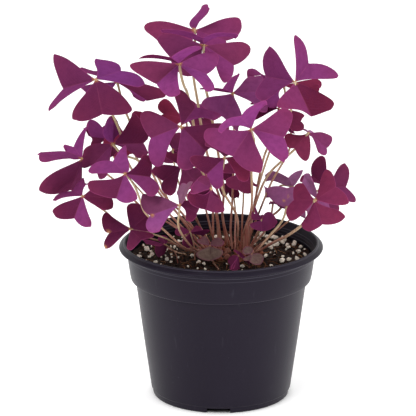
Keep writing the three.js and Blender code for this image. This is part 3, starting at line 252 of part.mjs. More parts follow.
function leafletGrid([L, N, R, shL, shR], rows, nt, s0 = 0.03) {
  const [far, side] = outline(nt);
  const lt = [Math.cos(LOBE_ANGLE), Math.sin(LOBE_ANGLE)];
  const n = V(N), size = n.length() / NOTCH_RATIO;
  const half = (tipA, shifts, sign) => {
    const tip = V(tipA);
    const normal = new THREE.Vector3().crossVectors(n, tip).multiplyScalar(sign).normalize();
    return rows.map((row) => {
      const s = s0 + (1 - s0) * row;
      const line = [];
      for (let j = 0; j <= nt; j++) {
        const t = j / nt;
        const sv = side(s);
        const px = (1 - t) * s * NOTCH_RATIO + t * sv[0] + s * far[j][0] - s * ((1 - t) * NOTCH_RATIO + t * far[nt][0]);
        const py = t * sv[1] + s * far[j][1] - s * t * far[nt][1];
        const a = py / lt[1], b = (px - a * lt[0]) / NOTCH_RATIO;
        const p = tip.clone().multiplyScalar(a).addScaledVector(n, b);
        edgeWeights(s, t).forEach((w, k) => p.addScaledVector(V(shifts[k]), w));
        const off = BLADE_CURL * size * (Math.sin(Math.PI * t) * s * 0.6 - 0.9 * s ** 2.2 * (0.35 + 0.65 * t ** 1.5));
        line.push(p.addScaledVector(normal, off));
      }
      return line;
    });
  };
  const left = half(L, shL, 1), right = half(R, shR, -1);
  return left.map((l, i) => [...l.slice().reverse(), ...right[i].slice(1)]);
}
// a leaflet as a closed thin shell; near the hub it is only its two straight halves
function leafletSolid(data, hub, mids) {
  const nt = 3, nc = 2 * nt + 1;
  const rows = [0, 0.08, ...mids, 1];
  const grid = leafletGrid(data, rows, nt);
  const pts = [], id = rows.map(() => []);
  grid.forEach((row, i) => row.forEach((p, j) => {
    if (i < 2 && j % nt) return;
    id[i][j] = pts.length;
    pts.push(p);
  }));
  const tris = [];
  const quad = (a, b, c, d) => tris.push([a, b, c], [a, c, d]);
  for (const h of [0, nt]) quad(id[0][h], id[1][h], id[1][h + nt], id[0][h + nt]);
  for (const [h, left] of [[0, true], [nt, false]]) {
    const a = id[1][h], b = id[1][h + nt], c = id[2];
    tris.push([a, c[h], c[h + 1]]);
    if (left) tris.push([a, c[h + 1], b], [b, c[h + 1], c[h + 2]], [b, c[h + 2], c[h + 3]]);
    else tris.push([a, c[h + 1], c[h + 2]], [a, c[h + 2], b], [b, c[h + 2], c[h + 3]]);
  }
  for (let i = 2; i < rows.length - 1; i++)
    for (let j = 0; j < nc - 1; j++) quad(id[i][j], id[i + 1][j], id[i + 1][j + 1], id[i][j + 1]);
  const faces = pts.map(() => []);
  for (const t of tris) {
    const [a, b, c] = t.map((k) => pts[k]);
    const n = new THREE.Vector3().crossVectors(b.clone().sub(a), c.clone().sub(a));
    if (n.length() > 1e-9) t.forEach((k) => faces[k].push(n.clone().normalize()));
  }
  // at a crease the offset grows so that both sides keep their thickness
  const normal = faces.map((f) => {
    const m = f.reduce((s, n) => s.add(n), new THREE.Vector3()).normalize();
    return m.multiplyScalar(1 / Math.max(0.55, Math.min(...f.map((n) => n.dot(m)))));
  });
  const pos = [], count = pts.length;
  for (const side of [0.5, -0.5])
    pts.forEach((p, k) => {
      const q = p.clone().addScaledVector(normal[k], side * BLADE_THICKNESS);
      pos.push(q.x + hub[0], q.y + hub[1], q.z + hub[2]);
    });
  const idx = [];
  for (const [a, b, c] of tris) idx.push(a, b, c, a + count, c + count, b + count);
  const last = rows.length - 1;
  const rim = [id[0][0], id[0][nt]];
  for (let i = 0; i <= last; i++) rim.push(id[i][nc - 1]);
  for (let j = nc - 2; j >= 0; j--) rim.push(id[last][j]);
  for (let i = last - 1; i > 0; i--) rim.push(id[i][0]);
  rim.forEach((a, k) => {
    const b = rim[(k + 1) % rim.length];
    idx.push(a, b, b + count, a, b + count, a + count);
  });
  const g = new THREE.BufferGeometry();
  g.setAttribute("position", new THREE.Float32BufferAttribute(pos, 3));
  g.setIndex(idx);
  let s = solid(g);
  if (s.volume() < 0) {
    const flip = [];
    for (let k = 0; k < idx.length; k += 3) flip.push(idx[k], idx[k + 2], idx[k + 1]);
    g.setIndex(flip);
    s = solid(g);
  }
  return s;
}
// a stalk: a thin tube along its stations, from below the hub down to the crown
function neckSolid(points, hub, radius, length) {
  const curve = new THREE.CatmullRomCurve3(points.map(V), false, "centripetal");
  const a = V(hub), b = curve.getPointAt(length / curve.getLength());
  const axis = b.clone().sub(a);
  const g = new THREE.CylinderGeometry(radius, radius, axis.length(), 5, 1);
  g.applyQuaternion(new THREE.Quaternion().setFromUnitVectors(new THREE.Vector3(0, -1, 0), axis.clone().normalize()));
  g.translate((a.x + b.x) / 2, (a.y + b.y) / 2, (a.z + b.z) / 2);
  return solid(g);
}
function stalkSolid(points, radius, from, sides) {
  const curve = new THREE.CatmullRomCurve3(points.map(V), false, "centripetal");
  const length = curve.getLength();
  const u0 = from / length;
  // the foot stops clear of the crown or the mix
  let u1 = 1;
  const end = points[points.length - 1];
  const onCrown = Math.hypot(end[0] - CROWN_CENTRE[0], end[1] - CROWN_CENTRE[1]) < CROWN_RADIUS + 3;
  const t1 = curve.getTangentAt(1);
  const floor = (onCrown ? CROWN_TOP : soilHeight(end[0], end[1])) + PIECE_GAP + radius * 1.05 * Math.hypot(t1.x, t1.y);
  const pts = [];
  const steps = Math.max(2, Math.round(length / 15));
  while (u1 > 0.5 && curve.getPointAt(u1).z < floor) u1 -= 0.002;
  for (let i = 0; i <= steps; i++) pts.push(curve.getPointAt(u0 + ((u1 - u0) * i) / steps));
  if (!onCrown && pts[pts.length - 1].z > floor + 0.5)
    pts.push(new THREE.Vector3(end[0], end[1], soilHeight(end[0], end[1]) + PIECE_GAP + 0.1));
  const path = new THREE.CatmullRomCurve3(pts, false, "centripetal");
  const section = new THREE.Shape();
  for (let k = 0; k < sides; k++) {
    const a = (2 * Math.PI * k) / sides;
    const x = radius * Math.cos(a), y = radius * Math.sin(a);
    if (k) section.lineTo(x, y); else section.moveTo(x, y);
  }
  section.closePath();
  return solid(new THREE.ExtrudeGeometry(section, { steps: pts.length - 1, bevelEnabled: false, extrudePath: path }));
}

for (const [kind, number, hub, leaflets, radius, stations] of LEAVES) {
  const length = Math.max(...leaflets.map((l) => Math.hypot(...l[0])));
  const hubSize = HUB_RADIUS * (length < 16 ? 0.7 : 1);
  let blade = solid(new THREE.OctahedronGeometry(hubSize, 0).translate(...hub));
  for (const l of leaflets) blade = blade.add(leafletSolid(l, hub, length < 16 ? [] : [0.56]));
  if (kind === "pair") {
    // the swollen joint under the hub belongs to the blade
    const neck = LONG_NECKS[number] ?? NECK;
    blade = blade.add(neckSolid(stations, hub, radius * 1.05, neck));
    add("leaf_" + number + "_blade", blade, leafPurple);
    add("leaf_" + number + "_stem", stalkSolid(stations, radius, neck + PIECE_GAP, 5), stalkTan);
  } else {
    add("small_leaf_" + number, blade.add(stalkSolid(stations, radius * 0.9, 0.3, 4)), leafPurple);
  }
}

export default group;
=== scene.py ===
"""Looks for the potted purple shamrock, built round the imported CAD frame. Metres, +Z up; the tables below are in millimetres."""

import math

import bmesh
import bpy
import numpy as np
from mathutils import Matrix, Vector, noise


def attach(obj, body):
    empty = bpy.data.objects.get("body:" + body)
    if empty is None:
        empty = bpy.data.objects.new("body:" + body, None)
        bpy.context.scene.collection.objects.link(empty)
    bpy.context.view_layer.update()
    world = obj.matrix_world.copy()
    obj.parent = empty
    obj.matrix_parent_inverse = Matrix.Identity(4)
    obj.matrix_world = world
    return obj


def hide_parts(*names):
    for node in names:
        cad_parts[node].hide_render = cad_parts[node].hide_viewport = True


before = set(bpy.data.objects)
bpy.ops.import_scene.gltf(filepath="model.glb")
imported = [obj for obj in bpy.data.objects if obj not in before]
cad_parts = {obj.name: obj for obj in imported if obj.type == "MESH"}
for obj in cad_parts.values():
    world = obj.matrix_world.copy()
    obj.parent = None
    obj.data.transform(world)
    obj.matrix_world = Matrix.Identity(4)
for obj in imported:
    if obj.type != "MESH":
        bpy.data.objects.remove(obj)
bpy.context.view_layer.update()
MM = 0.001

# kind, number, hub, three leaflets [left lobe tip, notch, right lobe tip, five edge shifts left, five right],
# stalk radius, stations down the stalk
LEAVES = [
  ["pair","01",[-32.93,-58,290.82],[[[-5.78,-33.89,-17.83],[-17.68,-10.03,-13.47],[-38.53,4.75,-3.06],[[-1.3,0.4,-0.3],[-0.1,0,0],[0.7,-0.4,0.1],[0.5,0,0.2],[0,0,0]],[[0.1,0,0.1],[0,0,0],[-0.1,-0.9,-1],[0.2,0.4,0.4],[-0.6,-0.3,-0.4]]],[[30.21,20.62,1.38],[21.5,1.63,-8.46],[26.23,-19.6,-16.02],[[-0.3,0.6,0.7],[-0.1,0.2,0.3],[-0.1,0.3,0.4],[0.6,-0.6,-0.9],[0,0,0]],[[1.1,1.5,0.4],[-0.9,-1.5,-0.5],[0.5,-1.3,-0.9],[0.4,-0.8,-0.6],[-0.5,0.1,0.2]]],[[14.29,-30.65,22.63],[-6.17,-25.24,11.76],[-31.25,-24.08,11.07],[[-0.3,-0.4,0.6],[-0.2,-0.3,0.5],[0,-0.1,0.1],[-0.2,-0.4,0.6],[0,0,0]],[[0,-0.9,2.1],[0.2,-0.5,1.2],[0.4,-1.3,3.1],[-1.2,-0.8,1.8],[0.9,0.6,-1.5]]]],1.15,[[-32.93,-58,290.82],[-32.08,-47.88,281.21],[-30.53,-38.1,271.34],[-28.81,-26.89,263.24],[-27.41,-14.46,257.03],[-24.68,-12.64,245.09],[-23.05,-6.51,233.15],[-21.71,1.92,222.13],[-19.51,7.46,209.5],[-16.7,12.83,196.9],[-13.56,19.23,184.87],[-10.06,24.48,172.42],[-6.58,27.29,159.18],[-3.87,28.09,145.5],[-1.76,27.11,131.72],[0.05,25.08,118]]],
  ["pair","02",[-13.98,-8,293.61],[[[-13.07,-34.49,-17.5],[-26.64,-9.53,-6.82],[-36.87,17.61,1.94],[[0,0,0],[0,0,0],[0,0.8,0.5],[-0.7,-0.4,-0.3],[0,1.2,0.8]],[[0.2,1.3,0.8],[-0.2,-0.3,-0.2],[0.2,0.6,0.4],[0.9,-0.2,0],[0,0,0]]],[[37.18,17.23,-8.24],[24.02,-5.67,-14.91],[16.77,-30.65,-22.72],[[0.2,0.7,0.5],[0.1,-0.4,-0.4],[0.6,2.6,1.8],[-1.1,-1.7,-0.8],[1.1,-0.1,-0.6]],[[2.4,1.9,0.2],[1.1,0.9,0.1],[3.6,3.4,0.7],[0.2,0,-0.1],[-0.2,-1.6,-1]]],[[22.17,-34.46,18.56],[-0.51,-25.88,12.66],[-31.45,-27.65,19.71],[[-0.4,-0.9,1.8],[-0.4,-0.8,1.7],[2.2,1,-1.9],[-0.1,-0.4,0.8],[1.7,-0.6,1.4]],[[0.3,-0.6,1.2],[0.3,-0.5,1.1],[0,-0.1,0.1],[0.2,-0.6,1.3],[0,0,0]]]],1.15,[[-13.98,-8,293.61],[-14.07,0.71,284.9],[-14.14,6.67,274.18],[-13.69,10.22,262.39],[-12.05,12.91,250.48],[-9.42,15.52,238.72],[-7.35,17.6,226.75],[-5.52,19.39,214.69],[-3.53,21.08,202.64],[-1.57,22.57,190.56],[0.09,23.74,178.4],[2.16,24.95,166.31],[1.93,26.48,154.2],[1.11,27.33,141.99],[3.29,27.58,129.87],[6.6,27.83,118]]],
  ["pair","03",[-21.23,25,297.77],[[[-11.99,-33.92,-18.98],[-24.75,-12.76,-10.09],[-40.58,5.31,0.93],[[0,0,0],[0,0,0],[0,0,0],[0,0,0],[0,0,0]],[[0.1,1.7,1.4],[-0.1,0.1,0.1],[-0.2,1.9,1.6],[1.3,0.7,0.7],[-0.8,-0.7,-0.6]]],[[9.46,18.05,16.62],[6.66,1.9,12.47],[11.14,-11.58,20.77],[[-0.6,0.1,0.5],[-6.1,0.1,0.2],[-3.2,-0.2,-0.8],[2.2,0.1,0.3],[-0.8,0.2,0.8]],[[0.4,-0.4,-0.2],[-0.8,1,0.5],[0.3,-0.5,-0.2],[0.5,0.2,0.8],[0.5,0,0.6]]],[[36.9,3.67,6.69],[25.09,-10.66,-5.96],[18.51,-22.34,-23.93],[[-0.2,0.8,0.8],[0.3,-0.4,-0.4],[0.1,0.2,0.2],[2.3,-2.2,-1.9],[0.6,-0.2,-0.1]],[[0,0,0],[0,0,0],[0,0,0],[0,0,0],[0,0,0]]]],1.15,[[-21.23,25,297.77],[-21.06,24.34,285.6],[-21.97,24.08,273.44],[-22.45,24.11,261.26],[-20.79,24.25,249.19],[-18.74,24.35,237.17],[-17.18,24.62,225.07],[-15.18,25.28,213.06],[-12.8,26.17,201.13],[-10.14,27.23,189.27],[-7.36,28.44,177.46],[-4.28,29.78,165.73],[-0.75,31.2,154.14],[1.1,32.52,142.17],[2.47,33.02,130.07],[4.24,32.86,118]]],
  ["pair","04",[-99.63,-20,268.24],[[[-36.79,-12.45,-21.89],[-26.42,11.84,-10.47],[-33.94,25.56,13.95],[[-2.7,4.7,1.4],[0.1,-1,-0.5],[-3.3,6,1.8],[-0.4,-1.4,-1],[0.1,-1.9,-1]],[[-1,0,-1.2],[0.1,0,0.1],[-2.3,-0.3,-4.1],[0.7,-0.2,0.4],[-1,0.7,0.6]]],[[29.2,-20.18,-19.56],[5.79,-20.57,-22.63],[-16.64,-27.74,-24.44],[[-0.5,0.3,0.3],[0.6,0.7,1],[-1.5,-1.2,-1.7],[1.8,-0.2,0],[0.2,-0.2,-0.2]],[[0.6,-0.3,-0.5],[0.3,-0.2,-0.3],[2.2,-0.7,-1.4],[-1.8,-1.1,-0.9],[-0.1,-1.1,-1.3]]],[[-1.16,38.77,7.15],[19.65,22.41,2],[38.68,5.14,-4.2],[[3.6,0,0],[1.2,0.1,0.4],[6.1,0.5,1.5],[4,1.5,0.3],[0,0,0]],[[-0.1,-0.3,0.6],[0.1,0.5,0.2],[0.6,-0.3,0.8],[1.5,1.2,0.4],[0.7,0.6,0.8]]]],1,[[-99.63,-20,268.24],[-94.77,-18.65,257.16],[-89.87,-16.71,246.2],[-85.8,-12.74,235.48],[-82.46,-6.78,225.41],[-79.77,-0.71,215.24],[-77.98,3.78,204.12],[-74.62,4.21,192.51],[-68.52,3.76,182.01],[-61.2,3.89,172.3],[-53.48,4.25,162.9],[-45.64,5.06,153.63],[-37.72,6.28,144.47],[-29.67,7.64,135.45],[-21.61,9.89,126.62],[-13.68,13.19,118]]],
  ["pair","05",[-83.63,25,254.46],[[[38.93,7.86,-12.91],[24.07,-12.14,-11.76],[20.13,-35.96,-6.24],[[0.7,2.7,1.1],[0.1,0.7,0.3],[1.3,4.4,1.8],[-1,-0.3,0.2],[0,0,0]],[[2.2,2.1,0.8],[-0.4,-0.9,-0.6],[1.2,1.4,0.7],[-1.1,0.9,1.2],[-0.4,-1,-0.6]]],[[-19.51,-29.2,-11.7],[-25.34,-5.36,-6.65],[-30.42,19.08,-8.75],[[0,0,0],[0,0,0],[0,0,0],[0,0,0],[0,0,0]],[[0,0,0],[0,0,0],[0,0,0],[1.1,1,0.7],[0,0,0]]],[[-29.88,20.19,7.54],[-11.52,24.07,4.98],[1.85,36.9,0.53],[[0,0,0],[0,0,0],[-0.3,0.2,0.1],[1.5,-5.4,-2.6],[-0.5,0.4,0.2]],[[0,0,0],[0,0,0],[0,0,0],[0,0,0],[0,0,0]]]],1,[[-83.63,25,254.46],[-80.87,24.54,242.89],[-77.57,23.67,231.36],[-73.06,23.01,220.22],[-69.29,21.99,208.83],[-65.06,21.27,197.59],[-59.63,21.11,186.85],[-54.17,20.74,176.13],[-49.31,19.78,165.18],[-41.84,19.14,155.8],[-33.02,18.4,147.64],[-25.6,17.5,138.23],[-19.14,18.5,128.14],[-13.08,20.86,118]]],
  ["pair","06",[58.53,-12,264.11],[[[-31.17,-16.77,-7.46],[-22.98,4.31,3.23],[-19.83,18.01,24.54],[[0,-0.3,-0.2],[-0.5,0.7,0.5],[0.4,-0.7,-0.5],[0.2,-0.1,-0.1],[0,0,0]],[[-1.4,-0.4,-0.8],[-0.4,-0.1,-0.2],[-3,-0.7,-1.6],[-2.1,0.5,0.5],[-0.8,0.4,0.5]]],[[1,24.54,32.19],[11.97,24.39,9.35],[35.52,19.74,-0.19],[[2.2,2.1,-0.2],[0.2,0.3,0.2],[3.2,2.8,-0.8],[0.7,1.2,0.9],[-0.3,-0.1,0.5]],[[0,1.9,1.3],[0,0.9,0.7],[-1.1,3.9,3.2],[1.6,1.9,0.9],[-0.3,-0.8,-0.5]]],[[31.23,9.65,-21.49],[12.95,-17.8,-23.14],[-11.8,-36.03,-10.06],[[-0.8,-1.2,-0.5],[0.2,0.8,0.6],[0.1,-1.1,-1],[2.1,2.9,1],[1.3,0.3,-0.8]],[[1.9,0.2,-1.5],[0.1,0.3,0.1],[3.3,-1.2,-3.9],[-0.3,2.9,2.8],[-1,-1.9,-0.8]]]],1,[[58.53,-12,264.11],[57.04,-22.74,254.37],[54.8,-20.6,241.06],[52.18,-10.58,230.71],[48.24,-0.09,221.26],[42.28,8.82,211.29],[36.45,15.59,199.69],[33.17,20.83,186.42],[30.77,26.35,173.05],[29.07,32.83,160.01],[28.14,40.8,147.75],[26.74,50.4,136.75],[24.53,58.98,125.15],[22.13,48.87,117.98],[21.16,34.25,117.52],[20.42,19.6,118]]],
  ["pair","07",[9.06,-2,252.44],[[[4.6,-13.48,-28.39],[-7.79,2.37,-20.48],[-24.85,14.3,-13.99],[[1.8,-1.2,1],[-0.2,0.1,-0.3],[-0.8,1,0.9],[1.2,-0.6,1.5],[-1.7,1.6,0.7]],[[-0.3,0.2,-0.2],[0,-0.1,-0.4],[0.4,-0.3,-0.7],[0.6,-0.1,1.3],[-0.6,0.2,-0.9]]],[[14.98,26.89,7.04],[21.68,7.77,-0.82],[27.35,-9.79,-12.23],[[1.8,-1.3,-1],[-0.1,0.1,0.1],[2.3,-1.8,-1.4],[4.1,7.4,3.6],[0.7,1.5,0.7]],[[2.8,3.2,1.8],[0,-0.9,-0.7],[1.1,1.5,0.9],[0,0,0],[0,0,0]]],[[5.01,-22.78,22.1],[-8.15,-19.67,9.04],[-26.85,-15.89,7.97],[[-1.3,-1.5,1.4],[-0.1,-0.2,0.2],[-3,-2.4,1.5],[0.1,-0.4,0.9],[-0.6,-0.8,0.8]],[[0,-0.5,1.3],[-0.1,0.2,-0.7],[0.5,-0.6,1.7],[-0.2,-0.1,0.2],[0.6,0.2,-0.7]]]],1,[[9.06,-2,252.44],[9.53,8.97,247.49],[9.98,19.49,241.66],[10.35,28.64,233.9],[10.57,34.76,223.61],[10.62,37.49,211.91],[10.57,38.05,199.89],[10.42,37.09,187.9],[10.16,34.82,176.08],[9.76,31.59,164.48],[9.2,28.03,152.99],[8.35,24.74,141.44],[7.81,21.99,129.74],[9,19.6,118]]],
  ["pair","08",[22.73,-88,246.33],[[[5.54,-27.05,-26.84],[-14.18,-7.46,-19.78],[-36.64,7.77,-9.64],[[-0.4,-0.1,-0.5],[-0.6,0.1,-0.3],[-1.7,1.1,0.3],[-0.7,-0.2,-0.8],[-0.5,-1,-1.7]],[[-0.2,0.4,0.6],[-0.2,-0.8,-1.4],[0,0.9,1.6],[0.3,0.2,0.4],[0,0,0]]],[[31.77,19.84,8.84],[25.59,-0.38,-6.32],[24.41,-23.24,-18.33],[[0.5,-0.2,-0.3],[0.1,0,0],[-0.3,0.5,0.6],[0,0,0],[0,0,0]],[[0.2,0.3,0.1],[0.3,0.3,0.1],[2.9,2.6,1.2],[1.6,-3.6,-3],[2.2,-1.8,-1.8]]],[[9.34,-22.77,28.66],[-8.21,-20.95,16.51],[-25.79,-26.22,7.78],[[-2.2,-2.8,3.5],[1,0.3,0.2],[-0.9,-0.9,1.1],[-0.9,-0.5,0.2],[0,0,0]],[[-0.5,-2.6,4.6],[-0.2,-1.1,2],[-0.1,-0.5,1],[-1.1,-1,0.8],[0,0,0]]]],1,[[22.73,-88,246.33],[24.15,-78.98,239.17],[25.51,-70.28,231.63],[25.1,-62.27,223.25],[24.2,-55.08,214.18],[23.81,-48.58,204.57],[23.91,-42.41,194.74],[24.27,-36.34,184.85],[24.52,-30.27,174.96],[24.33,-24.1,165.12],[23.11,-17.73,155.51],[20.59,-11.11,146.31],[18.39,-4.42,137.09],[17.4,2.18,127.59],[17.05,8.71,118]]],
  ["pair","09",[-31.8,-48.67,237.7],[[[-21.05,-10.43,-29.48],[-24.07,2.8,-10.33],[-31.8,19.89,3.81],[[-1.5,0.7,0.4],[-1,0.5,0.3],[-0.3,0.1,0.1],[-1,0.9,1],[0,0,0]],[[0.1,0,0.1],[0.1,0.1,0.2],[-0.3,0.5,0.4],[0.2,0,0.1],[-1.1,0.3,-0.3]]],[[-2.41,31.66,21.98],[11.33,21.78,9.86],[32.55,21.06,2.67],[[1.4,0.9,0.3],[-0.1,0,0.1],[1.1,0.7,0.1],[-0.7,0.7,0.9],[0,0,0]],[[-0.2,2.5,2.1],[-0.1,3.2,2.6],[-3.2,1.1,1.8],[-0.2,-0.7,-0.5],[0.2,0.1,0]]],[[38.32,5,-2.35],[19.66,-6.85,-18.24],[4.04,-26.04,-28.24],[[0,-0.6,-1.2],[0,-0.2,-0.3],[0.1,-1.1,-2.1],[-0.8,0.4,1],[0,0,0]],[[0,0,0],[0,0,0],[0,-0.1,-0.1],[0,0,0],[0,-0.1,-0.1]]]],1,[[-31.8,-48.67,237.7],[-28.39,-45.57,226.91],[-24.24,-42.07,216.5],[-19.55,-38.7,206.29],[-14.9,-35.62,195.97],[-11.05,-31.06,185.89],[-8.52,-24.17,176.76],[-6.82,-16.04,168.48],[-5.4,-7.56,160.48],[-4.09,0.17,151.77],[-3,5.23,141.32],[-2.23,6.51,129.71],[-1.64,6,118]]],
  ["pair","10",[-86.8,-4.89,210.98],[[[21.22,-5.68,22.7],[24.44,-4.83,1.77],[27.14,11.01,-11.86],[[1.5,-0.2,-1],[-0.3,0.1,0.1],[0.7,-0.1,0.9],[4.3,-0.7,-0.7],[-0.8,0.1,1.9]],[[0.4,-0.3,0.5],[0.3,-0.1,0.2],[-1.2,3,-4.5],[-0.7,0.4,-0.6],[0,0,0]]],[[4.19,23.66,8.45],[0.08,7.87,15.69],[-1.43,-7.9,24.05],[[-0.5,-0.4,0.6],[-0.2,-0.2,0.2],[1,1.1,-0.3],[0.3,1.1,2.4],[0.2,0.1,-0.5]],[[-4.5,-2.3,0.7],[-2.7,-1.3,0.4],[-3.9,-1.8,1.3],[0,0,0],[-0.7,-0.4,0]]],[[-9.59,-16.64,-24.63],[-16.07,-1.1,-16.49],[-24.13,15.33,-12.67],[[0,0,0],[0,0,0],[0,0,0],[1.8,-0.3,1.3],[0,0,0]],[[-0.6,1.6,1],[-0.1,0.3,0.2],[-1.1,2.7,1.7],[-3.5,-1.9,-5],[-0.5,-0.2,-0.6]]]],1,[[-86.8,-4.89,210.98],[-79.2,-3.06,201.6],[-68.42,0.32,196.81],[-59.29,2.91,189.13],[-51.01,5.56,180.4],[-46.63,7.87,169.35],[-42.07,9.55,158.1],[-35.37,11.27,147.9],[-28.67,13.17,137.74],[-21.84,15.24,127.68],[-14.51,17.34,118]]],
  ["pair","11",[-111.01,-20,203.05],[[[-32.27,-23.8,5.71],[-26.98,-2,2.39],[-35.99,18.29,-2.54],[[-0.2,1.4,0.8],[-0.1,-0.1,-0.1],[-0.4,1,0.6],[-0.2,5.3,3.3],[-0.4,-1.2,-0.7]],[[0,1,3.4],[0,0.5,1.5],[0.2,1.2,3.9],[1,0.3,1],[-1,0.2,0.6]]],[[-2.6,29.39,-30.05],[-9.07,1.71,-26.77],[-33.15,-13.72,-22.38],[[-0.7,-0.6,0.3],[0.1,0.1,0.1],[-0.2,-0.1,0.1],[0,0,0],[0.1,0.1,0]],[[-0.7,-0.5,1.1],[0,0.1,-0.3],[0.8,0.6,-1.2],[-0.3,-0.1,-0.6],[-0.5,0,-1.4]]],[[4.6,23.47,20.91],[-6.93,16.2,4.97],[-15.49,27.27,3.69],[[-2.7,2.7,0.3],[0.2,0.1,0.3],[-1.5,1.9,0.6],[-0.3,1.7,1.4],[-0.8,1.7,1]],[[-1.5,-0.2,-1.8],[-3.4,1.4,-2.1],[0.4,-0.7,-0.3],[-0.5,0.4,-0.1],[-0.5,0.4,-0.1]]]],0.9,[[-111.01,-20,203.05],[-113.84,-7.99,201.03],[-116.29,4.06,198.77],[-117.8,16.13,195.9],[-117.03,27.84,191.73],[-111.13,36.43,185.34],[-101.15,38.73,178.33],[-90.75,38.49,171.4],[-81.75,39.22,162.81],[-73.6,39.99,153.37],[-64.51,38.58,144.95],[-54.15,35.16,138.92],[-43.66,29.81,134.77],[-33.92,23.61,130.01],[-24.74,17.82,123.82],[-16.32,10.64,118]]],
  ["pair","12",[-75.95,-70,204.84],[[[-28.17,15.97,0.29],[-9.61,18.32,5.35],[0.25,27.82,15.77],[[0,0.2,0.1],[0,0.2,0.1],[-0.3,-0.4,-0.3],[-0.4,1.7,1],[-0.5,0,-0.1]],[[-2.3,0.8,-0.4],[4.4,-2.9,-0.2],[-2.8,1.7,0],[0.2,-0.6,-0.3],[0,0,0]]],[[10.86,-26.41,-12.15],[-6.27,-13.67,-15.86],[-27.93,-10.32,-9.2],[[-2.3,-0.2,-1],[0.6,0.2,0.7],[-4.1,-0.3,-1.5],[-0.2,-1.4,-1.6],[0.2,-0.4,-0.3]],[[-0.1,-0.2,-0.3],[0.2,-1.1,-1.5],[-0.1,0.7,1],[0,-0.1,-0.1],[0.1,0,0]]],[[18.87,21.64,10.14],[20.31,6.54,-4.18],[25.01,-11.51,-12.76],[[2.1,-0.2,-1.2],[1,0,-0.4],[1.7,-0.4,-1.1],[0,0,0],[1.2,-0.3,-1.2]],[[0.4,0.5,0.2],[0,0,0],[-0.3,-0.9,-0.5],[2.3,0.4,-0.5],[0.1,-0.2,-0.1]]]],0.9,[[-75.95,-70,204.84],[-71.55,-61.32,197.57],[-67.62,-54.19,188.54],[-64.4,-49.37,177.87],[-60.86,-46.57,166.57],[-53.01,-43.96,157.85],[-44.64,-41.71,149.32],[-37.1,-37.88,140.66],[-31.43,-30.15,133.21],[-25.45,-21.42,127.21],[-18.12,-13.04,122.31],[-10.13,-4.92,118]]],
  ["pair","13",[-109.95,-45.8,179.69],[[[-23.64,13.45,-6.9],[-8.6,17.68,-0.67],[1.14,26.62,8.35],[[-0.6,2.8,1.1],[-0.2,0,-0.1],[-0.6,2.2,0.8],[-2.2,1.8,0.1],[-0.5,0.1,-0.1]],[[-0.7,1.1,0.2],[-0.5,0.8,0.2],[1.9,-5,-1.9],[-0.1,0.2,0.1],[-3,-2.6,-3.3]]],[[6.19,-18.05,-19.56],[-6.69,-6.07,-16.61],[-23.45,1.36,-14.06],[[-1.6,0.4,-1.1],[0.7,-0.3,0.2],[-1.7,0.5,-0.8],[0.2,-0.7,-1],[0.3,-0.8,-1.1]],[[-0.1,0,-0.1],[0,0,-0.1],[0.1,-0.2,-0.4],[-2.4,0.1,-1.3],[-0.5,-0.1,-0.6]]],[[21.62,20.29,5.44],[23.47,1.11,-2.39],[22.5,-19.32,-5.1],[[0,0,0],[0,0,0],[0,0,0],[0,0,0],[0,0,0]],[[0.4,0.9,0.4],[-0.9,-1.7,-0.7],[0.1,0.7,0.3],[-0.4,-1,-0.4],[0.3,0.2,0.1]]]],0.8,[[-109.95,-45.8,179.69],[-103.51,-38.58,172.71],[-97.35,-30.96,165.93],[-91.45,-23.27,159.03],[-85.72,-16.3,151.24],[-78.27,-10.06,144.31],[-69.91,-4.53,137.84],[-60.41,-0.8,131.67],[-49.42,1.41,127.68],[-37.92,2.55,124.7],[-26.59,3.45,121.04],[-15.26,5.64,118]]],
  ["pair","14",[-32.68,-82.13,183.14],[[[-22.61,-17.5,-16.93],[-23.24,-0.18,-8.27],[-29.49,15.22,2],[[-0.8,0.8,0.3],[-0.5,0.5,0.2],[-0.1,0.2,0.1],[-1.2,0.6,0],[0,0,0]],[[0.7,0.1,0.4],[0.1,0,0.1],[-1,-0.2,-0.6],[-0.9,-0.6,-0.8],[-1.4,1.3,0.8]]],[[-0.72,23.12,7.62],[4.9,7.9,14.78],[10.3,-7.99,20.41],[[1,-0.9,0.5],[-0.9,0.8,-0.5],[-1.4,1.6,-0.3],[-0.5,0.8,0.2],[0.2,-0.1,0.1]],[[-1.3,2.1,0.6],[1.8,-2.6,-0.2],[-1.5,2.4,0.5],[0,0,0],[0,0,0]]],[[14.25,16.18,-3.21],[13.52,-1.34,-6.13],[8.91,-18.33,-7.73],[[-0.5,0.5,0.4],[-0.8,1.7,1.1],[0.1,-0.5,-0.3],[0,0,0],[0,0,0]],[[1.5,1.3,0.1],[1.2,1,0.1],[0.2,0.2,0],[0,0,0],[0,0,0]]]],0.9,[[-32.68,-82.13,183.14],[-33.31,-75.03,173.63],[-34.16,-67.41,164.56],[-33.49,-58.81,156.43],[-31.26,-49.8,149.02],[-28.43,-40.78,141.82],[-25.65,-31.46,135],[-22.21,-22.06,128.63],[-15.45,-14.27,122.9],[-6.34,-8.44,118]]],
